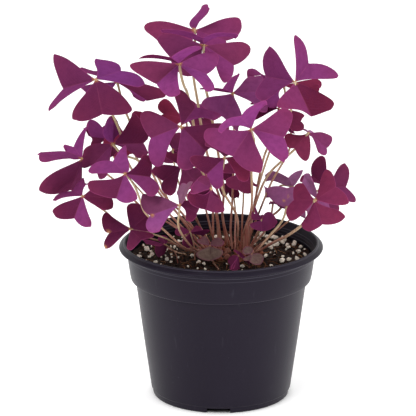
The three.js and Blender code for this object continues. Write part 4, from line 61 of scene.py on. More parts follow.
  ["pair","15",[-8.25,-110.46,204.91],[[[8.67,2.08,-19.16],[-3.86,-5.97,-15.12],[-16.47,-10.78,-7.65],[[0.8,2.2,0.7],[-1.2,-1.2,-2.2],[-0.5,1,0.4],[0,0,0],[1.3,0.3,-1.8]],[[1.5,-0.4,-1],[0.3,-0.4,-2],[0.7,0.3,4.2],[0,0,0],[-1.7,-0.8,-0.2]]],[[-15.39,-7.62,0.64],[-10.81,3.76,5.74],[-4.64,15.59,5.92],[[0,0,0],[0,0,0],[-0.5,-0.3,-0.1],[0,0,0],[-1,-0.7,-0.2]],[[0,0,0],[0,0,0],[0,0,0],[0,0,0],[0,0,0]]],[[5.55,7.98,-12.23],[-2.47,2.24,-9.65],[-10.54,-2.99,-4.88],[[0,0,0],[0,0,0],[0,0,0],[0,0,0],[0,0,0]],[[0,0,0],[0,0,0],[0,0,0],[0,0,0],[0,0,0]]]],1,[[-8.25,-110.46,204.91],[-7.97,-100.13,198.34],[-7.7,-89.63,192.04],[-7.45,-78.81,186.31],[-7.23,-67.65,181.28],[-7.04,-56.34,176.58],[-6.88,-45.09,171.73],[-6.74,-34.16,166.21],[-6.63,-23.95,159.48],[-6.56,-15.16,150.98],[-6.52,-8.52,140.72],[-6.51,-3.57,129.52],[-6.52,0.59,118]]],
  ["pair","16",[2.3,-76.78,220.2],[[[-6.03,-18.51,-19.99],[-14.04,-3.67,-12.49],[-27.32,5.74,-2.45],[[-0.3,0.1,0],[-0.2,0.1,0],[-0.1,0,0],[0.2,0,0.1],[0,0,0]],[[1.2,-0.4,-0.9],[0,-0.1,-0.4],[0.1,-0.7,-1.2],[0,0,0],[0,0,0]]],[[22.89,15.42,-4.89],[19.06,-1.5,-7.54],[16.62,-17.51,-14.22],[[0,0,0],[0,0,0],[0,0,0],[0,0,0],[0,0,0]],[[0.5,0.5,0.2],[0.2,0.2,0.1],[0.3,0.3,0.1],[0,0,0],[0,0,0]]],[[-14.22,22.17,7.93],[1.15,17.62,9.75],[16.96,20.21,7.79],[[0.5,0.9,0.8],[0.3,0.5,0.4],[0.1,0.2,0.2],[0,0,0],[0,0,0]],[[0,0,0],[0,0,0],[0,0,0],[0,0,0],[0,0,0]]]],1,[[2.3,-76.78,220.2],[1.18,-69.9,210.6],[-0.47,-62.7,201.32],[-0.16,-55.23,192.11],[1.83,-47.57,183.27],[5.19,-39.88,174.88],[9.02,-32.3,166.58],[12.09,-24.89,157.83],[13.46,-17.79,148.44],[13.49,-11.21,138.56],[12.94,-5.16,128.35],[12.11,0.59,118]]],
  ["pair","17",[70.21,10,216],[[[-2.4,-8.8,-20.91],[-11.03,-0.84,-12.3],[-19.21,10.01,-6.54],[[0.2,0,0.1],[0.9,-0.2,0.3],[-0.9,0.3,0],[-0.2,0.2,0.2],[-0.2,0,-0.3]],[[-0.1,-0.6,-1],[-0.1,-0.5,-0.8],[0,-0.1,-0.1],[-0.9,-0.7,-1.9],[0,0,0]]],[[19.48,12.15,-6.72],[15.03,-1.66,-11.82],[11.12,-16.1,-13.83],[[0.3,0.7,0.4],[0.2,0,-0.1],[0.1,-0.3,-0.3],[-0.6,-0.7,-0.2],[0.8,0.2,-0.4]],[[0.9,1.1,0.1],[0.6,0.9,0.2],[1.4,1.7,0.1],[0.1,-0.8,-0.6],[-0.4,-0.8,-0.3]]],[[-3.94,14.91,-0.35],[-0.02,10.43,-0.79],[4.97,14.33,-3.55],[[0,0,0],[0,0,0],[0,0,0],[0,0,0],[0,0,0]],[[-0.2,-1.5,-0.8],[0.3,-1.8,-1.2],[-1.6,0.9,1.2],[-0.5,0.6,0.6],[0.4,0.2,0]]]],1,[[70.21,10,216],[64.01,11.2,206.63],[55.86,11.3,198.71],[47.69,11.81,190.81],[39.89,12.65,182.6],[34.23,13.43,172.81],[30.29,13.88,162.16],[26.76,14.13,151.35],[23.81,14.36,140.38],[21.64,14.66,129.22],[19.86,15,118]]],
  ["pair","18",[73.86,-56.11,179.46],[[[10.81,15.24,20.07],[16.29,1.99,10.35],[25.92,-8.73,0.96],[[0.3,-0.2,0],[0.1,0,0],[0.2,0.3,0.4],[0.1,0.1,0.2],[0.3,0.6,0.8]],[[-0.1,0,0],[-0.1,-0.1,-0.2],[0.5,0.7,1.2],[0.3,0.1,0.3],[1,-0.1,0.3]]],[[-20.12,4.64,-18.32],[-16.46,10.2,-3.04],[-14.08,22.66,6.93],[[0,0,0.1],[0.4,-0.3,-0.2],[-1.1,1.1,1],[-2.5,1.4,-0.1],[0.1,-0.1,-0.1]],[[-0.3,0,-0.2],[-0.2,0,-0.1],[-0.1,0,0],[0,0,0],[0,0,0]]],[[23.4,-10.19,-10.92],[5.44,-7.93,-17.62],[-6.13,4.06,-26.68],[[0.1,-0.3,-0.9],[-0.3,-0.4,-1.4],[-1.7,-0.3,-1.9],[0.8,-0.4,-0.7],[0.6,-0.3,-0.5]],[[0.1,-0.1,-0.2],[-0.4,0.4,0.1],[-2.8,2.3,-0.4],[0.4,-0.3,0.4],[0,0,0]]]],1.2,[[73.86,-56.11,179.46],[72.18,-49.71,170.86],[69.03,-44.6,161.86],[63.55,-40.53,153.47],[57.07,-35.28,146.55],[50.87,-28.89,140.36],[44.73,-21.64,135.11],[39.2,-14.12,129.59],[33.91,-6.76,123.63],[28.28,0.61,118]]],
  ["pair","19",[85.25,22,167.19],[[[16.11,15.84,15.14],[16.72,9.39,-2.67],[24.12,-5.07,-10.35],[[0.4,0.1,-0.4],[0.7,0.2,-0.5],[1.9,0.4,-1.6],[1.6,1.4,1.5],[0.7,0.4,0.1]],[[0,0,0],[0,0,0],[0.3,0.6,0.3],[0.5,-0.5,-0.5],[0.3,0.1,0]]],[[-20.67,-10.8,10.75],[-11.5,3.61,8.25],[-4.32,11.6,23.29],[[0.1,1.2,0.6],[0.1,0.8,0.4],[-0.7,-0.8,-0.1],[-0.4,0.9,0.8],[-1,-1.6,-0.3]],[[0.5,0.1,0.1],[0.2,0,0],[0.4,-0.1,-0.2],[-2.4,0.1,0.4],[-0.3,-0.1,-0.2]]],[[11.06,7.09,-22.07],[2.74,-6.3,-17.56],[-8.75,-17.95,-16.24],[[0,0,0],[0,0,0],[0.3,0.3,0],[0,0,0],[0.4,0.4,-0.1]],[[0,0,0],[0,0,0],[0,0,0],[0,0,0],[0,0,0]]]],1,[[85.25,22,167.19],[74.61,21.9,162.44],[63.79,22.35,158.14],[53.25,23.44,153.49],[45.29,23.66,145.09],[35.86,24.09,138.41],[30.09,23.11,128.36],[24.94,21.71,118]]],
  ["whole","01",[50.91,35.23,248.46],[[[-29.77,3.96,12.5],[-16.97,16.77,2.61],[-8.83,29.04,-11.92],[[0,0.6,2.6],[0.1,0.2,0.7],[-3.2,-0.9,-3.9],[1.4,0.7,3],[1,-0.2,-0.6]],[[-1,0.1,0.9],[-0.3,0,0.2],[-0.8,1.6,-2.5],[0,0,0],[0,0,0]]],[[-8.18,-29.38,-9.69],[-17.33,-11.57,-10.64],[-27.34,5.03,-15.86],[[-1.9,0.9,-0.4],[-1.9,1,-0.3],[-0.2,0.1,0],[0,0,0],[0,0,0]],[[0,0,0],[0,0,0],[0,0,0],[0,0,0],[0,0,0]]],[[29.72,18.68,-0.69],[25.62,-2.26,-0.7],[25.97,-23.57,-0.46],[[0,1.4,0.6],[0,0.3,0.1],[0.1,2.3,1],[-0.1,-4,-1.7],[0.2,0.8,0.3]],[[0,0,0],[0,0,0],[0,0,0],[0.1,6.6,2.9],[0,0,0]]]],1,[[50.91,35.23,248.46],[52.71,38.65,236.93],[54.48,39.31,224.96],[56.14,35.88,213.48],[57.06,29.02,203.52],[53.37,23.87,193.4],[47.4,22.89,182.86],[41.4,21.53,172.37],[36.54,18.18,161.77],[32.26,16.88,150.8],[29,22.1,140.32],[25.53,25.92,129.32],[21.9,28.53,118]]],
  ["whole","02",[46.49,20,233.71],[[[-20.12,-12.87,-6.93],[-17.81,2.69,-0.9],[-15.76,19.28,1.16],[[-0.4,1.9,1.1],[-0.1,0.5,0.3],[1,5.9,3.5],[0,0,0],[0.9,-0.4,-0.1]],[[0,0,0],[0,0,0],[0,0,0],[0,0,0],[0,0,0]]],[[20.82,16.01,-9.34],[18.04,-0.33,-10.18],[17.57,-16.45,-13.85],[[0,0,0],[0,0,0],[0,0,0],[-1.6,-0.4,0.5],[0,0,0]],[[-0.6,-0.9,-0.2],[-0.1,-0.1,0],[-1.9,-2.8,-0.6],[0.8,0.8,0.1],[0,0,0]]],[[13.69,-10.9,-17.76],[3.63,-15.92,-8.13],[-5.91,-24.2,-0.52],[[-0.6,-0.9,-0.1],[-0.1,-0.1,0],[-2,-2.8,-0.3],[-1.2,-2.6,-0.7],[0,0,0]],[[1.3,-0.5,-1.4],[0.1,0.5,0.2],[3.3,2.2,-1.4],[0,0,0],[2.3,3.2,0.3]]]],1,[[46.49,20,233.71],[45.43,21.67,221.93],[43.22,21.75,210.22],[39.7,20.11,198.93],[35.86,18.53,187.73],[32.42,18.43,176.3],[29.49,20.21,164.87],[27.15,22.77,153.44],[25.58,22.98,141.62],[24.21,23.35,129.77],[22.77,24.83,118]]],
  ["whole","03",[-28.43,38,220.05],[[[-20.77,-14.48,-4.33],[-18.12,-1.93,4.94],[-18.77,11.53,13.31],[[-0.1,0.1,0.1],[0,0,0],[0,0,0],[-1.6,0.3,0.8],[0,0,0]],[[-0.1,-0.1,-0.1],[-0.9,-1,-0.5],[0.3,0.5,0.3],[-3,-1.6,-0.3],[-0.5,0.2,0.3]]],[[-3.1,20.96,12.11],[8.32,12.89,9.3],[21.56,10.47,4.59],[[0,0,0],[0,0,0],[0,0,0],[0,0,0],[0,0,0]],[[0,0,0],[0,0,0],[0,0,0],[0.2,0.4,0.4],[0,0,0]]],[[21.13,9.48,-4.27],[14.41,-3.99,-8.64],[7.34,-16.14,-15.6],[[0,0,0],[0,0,0],[0,0,0],[0,0,0],[0,0,0]],[[1.6,0.6,0],[2.4,0.9,0],[0,0,0],[0,0,0],[0,0,0]]]],1,[[-28.43,38,220.05],[-26.89,36.69,208.54],[-24.85,35.43,197.1],[-22.11,34.26,185.8],[-19.09,33.15,174.56],[-16.28,32.05,163.27],[-13.73,30.97,151.92],[-11.11,29.92,140.57],[-8.3,28.92,129.27],[-5.38,27.95,118]]],
  ["whole","04",[-39.12,5,203.62],[[[-6.12,10.07,10.14],[-1.06,2.76,10.97],[6.87,-0.12,13.8],[[0,0,0],[0,0,0],[0,0,0],[0,0,0],[0,0,0]],[[1.3,-0.7,-0.9],[1.8,-0.9,-1.2],[0.1,0,0],[0,0,0],[0,0,0]]],[[6.73,10.5,-9.26],[1.15,2.64,-12.05],[-8.57,6.34,-11.43],[[0,0,0],[0,0,0],[0,0,0],[0,0,0],[0,0,0]],[[0,0,0],[0,0,0],[0,0,0],[0,0,0],[0,0,0]]],[[9.84,4.03,11.35],[11.09,0.39,2.61],[14.16,0.08,-6.42],[[0,0,0],[0,0,0],[0,0,0],[0,0,0],[0,0,0]],[[0,0,0],[0,0,0],[0,0,0],[0,0,0],[0,0,0]]]],0.8,[[-39.12,5,203.62],[-37.74,4.7,191.94],[-35.5,5.29,180.42],[-32.23,6.9,169.25],[-28.2,9.24,158.45],[-23.5,12.11,148.06],[-18.3,15.38,138.03],[-13.09,18.84,128.07],[-8.12,22.34,118]]],
  ["whole","05",[-75.93,50,202.39],[[[7.41,3.26,20.01],[11.03,7.42,8.65],[16.09,14.45,-0.61],[[0.2,0.1,-0.1],[0.2,0.1,-0.1],[-0.4,-0.2,0.4],[2.7,1.6,1.6],[0.2,0.1,0.4]],[[0,0,0],[0,0,0],[0.5,0.8,-3.2],[0,0,0],[0.7,0.8,-2.7]]],[[10.4,11.45,-15.34],[1.4,0.87,-15.9],[-10.16,-6.51,-18.14],[[0,0,0],[0,0,0],[0,0,0],[0.1,0.2,1],[0,0,0]],[[1,0.5,-1],[0.6,0.3,-0.6],[0.3,0.1,-0.3],[0,0,0],[0,0,0]]],[[-19.95,-6.05,-7.31],[-15.44,-2.73,4.48],[-15.4,4.91,15.06],[[0,0,0],[0,0,0],[0,0,0],[0,0,0],[0,0,0]],[[-0.5,-0.3,-0.2],[-0.7,-0.4,-0.3],[0.7,0.7,0.7],[-1.4,-1.6,-1.8],[0,0,0]]]],1,[[-75.93,50,202.39],[-72.33,47.08,192.19],[-67.42,44.35,182.52],[-61.33,41.82,173.46],[-55.24,39.26,164.41],[-48.89,36.74,155.54],[-41.5,34.46,147.44],[-33.68,32.32,139.71],[-26.2,30.13,131.66],[-18.08,28.16,124.22],[-8.91,26.56,118]]],
  ["whole","06",[-31.43,-35,200.48],[[[-10.37,-14.41,-18.89],[-14.83,-3.03,-10.27],[-24.11,7.99,-5.2],[[0.4,-0.2,-0.1],[-0.7,0.2,0],[0.6,-0.2,0],[-2.1,0.6,-0.3],[-0.7,-0.2,-0.6]],[[-0.3,1,0.9],[-0.1,0.2,0.1],[-0.1,0.6,0.6],[0.8,-0.4,-0.1],[0,0,0]]],[[19.27,10.87,-8.93],[12.14,-5.46,-12.45],[1.14,-19.86,-13.16],[[0,0,0],[0,0,0],[0,0,0],[0,0,0],[0,0,0]],[[1,1,0.2],[0.2,0.5,0.2],[2,0,-1.3],[0,0,0],[-2.7,-2.1,0]]],[[-13.82,18.49,8.18],[0.47,16.27,7.55],[13.96,19.78,3.66],[[0,0,0],[0,0,0],[0,0,0],[-0.1,-3,-2],[0,0,0]],[[0,0,0],[0,0,0],[0,0,0],[0,0,0],[0,0,0]]]],1,[[-31.43,-35,200.48],[-31.01,-26.89,192.55],[-30.38,-18.88,184.52],[-29.34,-11.08,176.34],[-27.69,-3.75,167.83],[-25.18,2.61,158.78],[-21.73,7.48,149.14],[-17.81,10.85,139.04],[-13.9,12.94,128.59],[-10.05,14.33,118]]],
  ["whole","07",[-94.12,56.38,198.07],[[[-14.11,9.58,13.52],[-3.4,14.35,6.25],[6.85,20.62,-0.87],[[-1.1,-5.7,-2.8],[-1.5,-5.7,-2.5],[-2.1,-3.9,-1],[-0.2,1.4,1],[0.9,1.5,0.3]],[[0,0,0],[0,0,0],[0,0,0],[0.9,4.7,2.4],[0,0,0]]],[[-11.7,-17.83,-0.1],[-13.94,-5.54,4.46],[-18.74,6.39,7.93],[[0,0,0],[0,0,0],[0,0,0],[3.1,1.8,-0.2],[0,0,0]],[[0,0,0],[0,0,0],[0.1,-0.1,-0.1],[0.9,1.1,0.2],[0.2,-0.3,-0.2]]],[[11.21,6.49,-15.93],[5.96,-5.91,-12.42],[-1.69,-17.4,-10.76],[[0.3,0.5,0.1],[0,0.1,0],[1.4,2.3,0.5],[0,0,0],[0,0,0]],[[0,0,0],[0,0,0],[0,0,0],[0,0,0],[0,0,0]]]],0.8,[[-94.12,56.38,198.07],[-89.74,55.03,186.66],[-83.31,52.86,176.43],[-75.6,49.87,167.32],[-67.71,46.22,158.61],[-59.44,41.96,150.56],[-50.82,37.37,143.07],[-42.03,32.96,135.67],[-32.71,29.1,128.64],[-22.28,26.15,122.83],[-11.2,23.85,118]]],
  ["whole","08",[15.37,20,178.76],[[[9.51,-2.3,-14.96],[-0.85,-8.09,-11.14],[-10.6,-13.39,-5.37],[[1.7,2.7,2.9],[2.9,3,2.1],[0.9,0.1,-0.7],[-0.3,-0.5,-0.5],[-0.4,-1.8,-2.6]],[[-0.5,0,0.7],[-0.1,-0.2,-0.2],[-0.3,0.1,0.6],[0,0,0],[0,0,0]]],[[-15.51,-6.49,6.19],[-9.62,3.06,8.42],[-6.09,13.87,9.57],[[0,0,0],[0,0,0],[0,0,0],[0,0,0],[0,0,0]],[[0,0,0],[0,0,0],[0,0,0],[0,0,0],[0,0,0]]],[[6.88,15.32,6.02],[10.33,7.92,-1.15],[14.2,3.42,-10.25],[[0,0,0],[0,0,0],[0,0,0],[0,0,0],[0,0,0]],[[-0.3,-0.9,-0.9],[-0.4,-0.7,-0.6],[2.4,1.5,-0.1],[-2.1,-3.3,-2.6],[1.4,-0.3,-1.7]]]],0.85,[[15.37,20,178.76],[17.83,18.72,168.91],[18.18,16.86,158.86],[17.55,15.99,148.67],[17.14,15.84,138.44],[16.89,16.15,128.2],[16.32,16.87,118]]],
  ["whole","09",[75.5,-30,172.92],[[[-4.86,-4.47,22.03],[-6.17,7.2,13.87],[-10.31,19.16,7.26],[[0.5,-0.5,0],[1.1,-1,0.4],[-0.1,0.1,-0.1],[-3.7,3.4,-1.1],[0,0,0]],[[0,0,0],[0,0,0],[0,0,0],[1,-1.4,5],[0,0,0]]],[[-5.1,-6.02,-19.32],[-7.06,-11.28,-7.49],[-13.44,-15.66,3.07],[[0,0,0],[0,0,0],[0,0,0],[0,0,0],[0,0,0]],[[0,0,0],[0,0,0],[0,0,0],[0,0,0],[0,0,0]]],[[8.11,19.1,3.83],[9.72,10.72,-5.45],[11.28,5.69,-16.9],[[0,0,0],[0,0,0],[0,0,0],[0,0,0],[0,0,0]],[[0,0,0],[0,0,0],[0,0,0],[0,0,0],[0,0,0]]]],0.8,[[75.5,-30,172.92],[68.74,-24.43,164.9],[61.52,-19.15,157.09],[54.18,-13.93,149.34],[47.18,-8.44,141.48],[40.34,-2.72,133.63],[33.61,3.15,125.81],[26.93,9.11,118]]],
  ["whole","10",[8.35,58,161.76],[[[6.01,-2.73,-12.49],[-2.24,0.29,-10.13],[-9.85,5.26,-8.84],[[0.4,-0.1,0.2],[0,0,0],[0.2,-0.1,-0.7],[-0.9,0.1,-2.3],[-1.2,0.1,-2.8]],[[0,0,0],[0,0,0],[0,0,0],[0.2,-0.7,-4],[0,0,0]]],[[-8.19,11.34,0.13],[-4.83,6.46,6.34],[0.45,5.11,13.05],[[0,0,0],[0,0,0],[0,0,0],[0,0,0],[0,0,0]],[[0.8,-0.5,0],[0.8,-0.5,0],[0.1,-0.1,0],[0,0,0],[0,0,0]]],[[10.09,2.27,9.94],[10.23,-1.65,1.86],[12.29,-2.92,-6.79],[[0,0,0],[0,0,0],[0,0,0],[0,0,0],[0,0,0]],[[0,0,0],[0,0,0],[0,0,0],[0,0,0],[0,0,0]]]],0.8,[[8.35,58,161.76],[10.05,58.93,151.92],[11.47,56.32,142.41],[12.12,50.24,134.51],[11.87,42.13,128.62],[11.5,33.5,123.48],[11.49,25.08,118]]],
  ["whole","11",[58.72,48,159.98],[[[7.15,-18.55,19.18],[-3.8,-12.26,11.51],[-22.95,-10.75,13.11],[[-0.6,-0.2,0.3],[0.8,0.8,-1.1],[-1.4,-1,1.4],[0.6,-0.5,0.9],[0.2,-0.5,0.8]],[[0.8,-1.4,2],[-0.6,1.6,-2.5],[0.7,1.9,-3.1],[-2.6,-2.2,3.9],[0.6,-2.1,3.2]]],[[9.92,14.63,-15.89],[12.01,-1.4,-12.27],[9.64,-17.81,-12.45],[[0,0,0],[0,0,0],[0,0,0],[0,0,0],[0,0,0]],[[0,0,0],[0,0,0],[0,0,0],[0,0,0],[0,0,0]]],[[-22.28,-5.24,-8.1],[-14.09,8.08,-7.04],[-5.6,20.13,-12.35],[[0,0,0],[0,0,0],[-0.7,3.6,2.8],[4.1,-1.9,-0.4],[-0.9,4.7,3.7]],[[0,0,0],[0,0,0],[0,0,0],[0,0,0],[0,0,0]]]],1,[[58.72,48,159.98],[49.26,46.64,161.35],[44.16,39.36,156.47],[42.36,32.29,149.2],[40.86,26.47,140.83],[37.41,21.82,132.36],[31.18,18.71,124.8],[23.65,16.87,118]]],
  ["whole","12",[52.88,5,154.92],[[[-16.18,12.22,11.57],[0.54,10.06,13.47],[16.7,8.92,13.4],[[-0.3,-0.1,-0.3],[-0.6,-0.4,-0.7],[0.5,1.7,2.6],[-0.4,0.5,0.6],[-1,2.2,2.9]],[[0,0,0],[0,0,0],[0,0,0],[0,0,0],[0,0,0]]],[[13.39,10.51,12.56],[14.36,5.64,0.14],[14.56,8.14,-13],[[0,0,0],[0,0,0],[0,0,0],[0,0,0],[0,0,0]],[[0,0,0],[0,0,0],[1.4,0,4.7],[-0.1,-0.1,0.1],[0.2,-0.4,3.9]]],[[15.15,14.11,-5.97],[2.05,14.32,-6.14],[-6.43,20.5,1.71],[[0,0,0],[0,0,0],[0,0,0],[0,0,0],[0,0,0]],[[-2.1,-0.6,-1],[0.1,-0.6,-1.6],[-6,-2,-3.3],[-4.8,-1,-1.1],[-2.5,-1.6,-3.4]]]],1.1,[[52.88,5,154.92],[50.7,-4.07,149.66],[46.48,-12.85,145.25],[40.42,-20.54,140.93],[34.05,-26.66,134.98],[28.48,-24.81,127.18],[26.63,-15.23,122.92],[26.05,-4.88,120.23],[25.83,5.6,118]]],
  ["whole","13",[-72.21,-42,150.77],[[[1.69,19.02,16.31],[12.99,10.31,8.51],[24.87,2.96,0.82],[[-0.2,0.1,0.1],[-0.6,-0.1,-0.1],[-0.8,0,0],[1.2,0.9,0.9],[0.2,0.2,0.2]],[[0,0,0],[0,0,0],[0,0,0],[0,0,0],[0,0,0]]],[[-19.65,-11.55,-11.8],[-16.96,-0.03,-2.65],[-22.72,9.48,7.93],[[-0.3,0.3,0.3],[-0.2,0.2,0.2],[-1.3,1.1,0.8],[-0.8,-0.5,-0.5],[-0.8,-0.4,-0.5]],[[-0.3,-0.3,-0.4],[0.5,0.4,0.6],[0.3,1.1,1.6],[0,-2.4,-3.2],[0.2,0.6,0.8]]],[[18.82,-8.95,-2.23],[8.57,-12.74,-4.37],[-0.07,-18.16,-11.22],[[0,0,0],[0,0,0],[0,0,0],[0,0,0],[0,0,0]],[[0,0,0],[0,0,0],[0,0,0],[0,0,0],[0,0,0]]]],0.8,[[-72.21,-42,150.77],[-61.5,-38.79,148.18],[-51.62,-34.79,143.81],[-43.21,-28.84,138.69],[-37.1,-21.4,132.39],[-31.55,-13.57,126.01],[-23.79,-6.51,121.31],[-14.65,-0.31,118]]],
  ["whole","14",[32.56,-5,147.4],[[[8.37,-6.43,-4.77],[0.33,-6.86,-7.17],[-8.54,-7.36,-3.64],[[2.2,3.1,4.2],[-0.2,2.7,3.2],[4,1.2,2.3],[0,0,0],[0,0,0]],[[0,0,0],[0,0,0],[0,0,0],[0,0,0],[0,0,0]]],[[-7.96,-3.67,2.8],[-5.21,3.19,3.67],[-1.89,9.35,0.96],[[0,0,0],[0,0,0],[0,0,0],[-2.3,4.5,3.8],[0,0,0]],[[0,0,0],[0,0,0],[1,1.3,0.3],[-1.1,6.5,5.1],[1.1,1.3,0.2]]],[[1.39,11.85,-0.22],[4.5,5.25,4.31],[10.96,2.46,-4.97],[[-1.3,1.2,0.7],[-0.2,0.2,0.1],[-0.3,1.9,2.3],[-0.2,0.5,0.5],[0.5,0,0.3]],[[0,0,0],[0,0,0],[0,0,0],[3,1.5,0.3],[0,0,0]]]],0.8,[[32.56,-5,147.4],[30.48,-7.01,138.39],[28.98,0.13,131.78],[26.17,7.1,125.38],[21.66,11.94,118]]],
  ["whole","15",[-25.07,-8.89,138.06],[[[-11.19,-9.49,1.67],[-10.89,1.94,2.36],[-7.35,12.87,1.11],[[0,0,0],[0,0,0],[0,0,0],[0,0,0],[0,0,0]],[[0,0,0],[0,0,0],[0,0,0],[0,0,0],[0,0,0]]],[[8.03,14.61,0.58],[10.47,3.9,-3.74],[15.71,-4.02,3.34],[[0,0,0],[0,0,0],[0,0,0],[0,0,0],[0,0,0]],[[0,0,0],[0,0,0],[0,0,0],[0,0,0],[0,0,0]]],[[3.17,9.3,-12.19],[-1.62,-2.69,-12.24],[-5.56,-13.2,-6.43],[[0,0,0],[0,0,0],[0,0,0],[0,0,0],[0,0,0]],[[0,0,0],[0,0,0],[0,0,0],[0,0,0],[0,0,0]]]],0.7,[[-25.07,-8.89,138.06],[-22.73,-7.51,130.41],[-21.53,-6.81,122.41],[-21.17,-6.6,114.3]]],
  ["whole","16",[-9.13,-26.36,132.13],[[[-9.84,-5.21,5.82],[-7.35,3.13,4.85],[-3.86,11.26,4.48],[[0,0,0],[0,0,0],[0,0,0],[0,0,0],[0,0,0]],[[0,0,0],[0,0,0],[0,0,0],[0,0,0],[0,0,0]]],[[4.99,12.36,3.05],[9.78,3.12,4.06],[10.94,-7,3.86],[[0,0,0],[0,0,0],[0,0,0],[0,0,0],[0,0,0]],[[0,0,0],[0,0,0],[0,0,0],[0,0,0],[0,0,0]]],[[9.74,-9.65,-4.52],[0.16,-8.04,-9.89],[-10,-8.36,-6.18],[[0,0,0],[0,0,0],[0,0,0],[0,0,0],[0,0,0]],[[0,0,0],[0,0,0],[0,0,0],[0,0,0],[0,0,0]]]],0.7,[[-9.13,-26.36,132.13],[-7.52,-22.8,126.89],[-6.56,-20.67,120.79],[-6.25,-19.99,114.3]]],
  ["whole","17",[-45.35,-20,131.4],[[[-8.33,-15.83,4.53],[-14.13,-4.58,2.27],[-16.75,7.65,2.25],[[0,0,0],[0,0,0],[0,0,0],[0,0,0],[0,0,0]],[[0,0,0],[0,0,0],[0,0,0],[0,0,0],[0,0,0]]],[[0.91,8.86,-8.26],[-4.6,-1.43,-10.5],[-7.68,-8.32,-2.02],[[0,0,0],[0,0,0],[0,0,0],[0,0,0],[0,0,0]],[[0,0,0],[0,0,0],[0,0,0],[0,0,0],[0,0,0]]],[[-5.56,13.23,1.36],[-1.48,10.14,4.43],[2.49,14.52,0.96],[[0,0,0],[0,0,0],[0,0,0],[0,0,0],[0,0,0]],[[0,0,0],[0,0,0],[0,0,0],[0,0,0],[0,0,0]]]],0.6,[[-45.35,-20,131.4],[-40.21,-17.06,127.12],[-36.35,-14.85,121.37],[-34.93,-14.04,114.3]]],
  ["whole","18",[24.35,-36,128.44],[[[3.7,-5.52,-7.43],[-0.95,-6.14,-3.8],[-6.61,-6.83,-2.86],[[0,0,0],[0,0,0],[0,0,0],[0,0,0],[0,0,0]],[[0,0,0],[0,0,0],[0,0,0],[0,0,0],[0,0,0]]],[[9.14,6.08,-3.6],[7.42,-2.81,-7.49],[0.93,-10.01,-5.2],[[0,0,0],[0,0,0],[0,0,0],[0,0,0],[0,0,0]],[[0,0,0],[0,0,0],[0,0,0],[0,0,0],[0,0,0]]],[[-7.17,-4.68,3.15],[-5.34,2.76,5],[-0.46,8.94,3.06],[[0,0,0],[0,0,0],[0,0,0],[0,0,0],[0,0,0]],[[0,0,0],[0,0,0],[0,0,0],[0,0,0],[0,0,0]]]],0.6,[[24.35,-36,128.44],[23.2,-32.9,124.36],[22.49,-30.99,119.52],[22.27,-30.37,114.3]]],
  ["whole","19",[13.77,-39.76,128.37],[[[-6.02,-8.31,-9.48],[-6.76,0.77,-8.2],[-7.91,10.05,-5.69],[[0,0,0],[0,0,0],[0,0,0],[0,0,0],[0,0,0]],[[0,0,0],[0,0,0],[0,0,0],[0,0,0],[0,0,0]]],[[1.29,6.3,-12.49],[0.86,-2.25,-10],[-5.23,-8.81,-9.74],[[0,0,0],[0,0,0],[0,0,0],[0,0,0],[0,0,0]],[[0,0,0],[0,0,0],[0,0,0],[0,0,0],[0,0,0]]],[[-2.06,13.42,0.62],[4.2,8.67,-2.41],[9.58,5.38,-8],[[0,0,0],[0,0,0],[0,0,0],[0,0,0],[0,0,0]],[[0,0,0],[0,0,0],[0,0,0],[0,0,0],[0,0,0]]]],0.6,[[13.77,-39.76,128.37],[13.34,-36.48,124.31],[13.08,-34.46,119.5],[13,-33.81,114.3]]]]

CROWN = (7.3, 10.1)


def soil_height(x, y):
    dx, dy = x - CROWN[0], y - CROWN[1]
    return (
        113.4
        + 2.3 * np.exp(-(dx * dx + dy * dy) / (44.0 * 44.0))
        + 0.35 * np.sin(x * 0.21 + 1.3) * np.sin(y * 0.24 + 0.4)
    )


# ---------------------------------------------------------------- camera
# 416 px frame, focal length 3400 px, 16.73 degrees down
ELEV = math.radians(16.7315)
TARGET = np.array([-10.569, 0.0, 156.0])
DIST = 2743.12
EYE = TARGET + DIST * np.array([0.0, -math.cos(ELEV), math.sin(ELEV)])
FOCAL = 3400.0

cam_data = bpy.data.cameras.new("camera")
cam_data.sensor_fit = "HORIZONTAL"
cam_data.sensor_width = 36.0
cam_data.lens = 36.0 * FOCAL / 416.0
cam_data.clip_start, cam_data.clip_end = 0.05, 60.0
cam = bpy.data.objects.new("camera", cam_data)
bpy.context.scene.collection.objects.link(cam)
cam.location = Vector(EYE * MM)
cam.rotation_euler = (math.pi / 2 - ELEV, 0, 0)
bpy.context.scene.camera = cam


def on_level(px, py, z):
    """The point at height z that shows at that place in the 416 px picture, in mm."""
    right = np.array([1.0, 0, 0])
    ahead = np.array([0, math.cos(ELEV), -math.sin(ELEV)])
    up = np.array([0, math.sin(ELEV), math.cos(ELEV)])
    ray = ahead + right * ((px - 208.0) / FOCAL) - up * ((py - 208.0) / FOCAL)
    return EYE + ray * ((z - EYE[2]) / ray[2])


def shown_at(points):
    """Where points show in the 416 px picture."""
    v = np.asarray(points, float) - EYE
    ahead = np.array([0, math.cos(ELEV), -math.sin(ELEV)])
    up = np.array([0, math.sin(ELEV), math.cos(ELEV)])
    d = v @ ahead
    return np.stack([208.0 + FOCAL * v[:, 0] / d, 208.0 - FOCAL * (v @ up) / d], 1)


def on_soil(px, py, above=0.0):
    z = 114.5
    for _ in range(4):
        p = on_level(px, py, z + above)
        z = float(soil_height(p[0], p[1]))
    return np.array([p[0], p[1], z])


# ---------------------------------------------------------------- materials
def lin(h):
    h = h.lstrip("#")
    c = [int(h[i : i + 2], 16) / 255 for i in (0, 2, 4)]
    return tuple(x / 12.92 if x < 0.04045 else ((x + 0.055) / 1.055) ** 2.4 for x in c) + (1.0,)


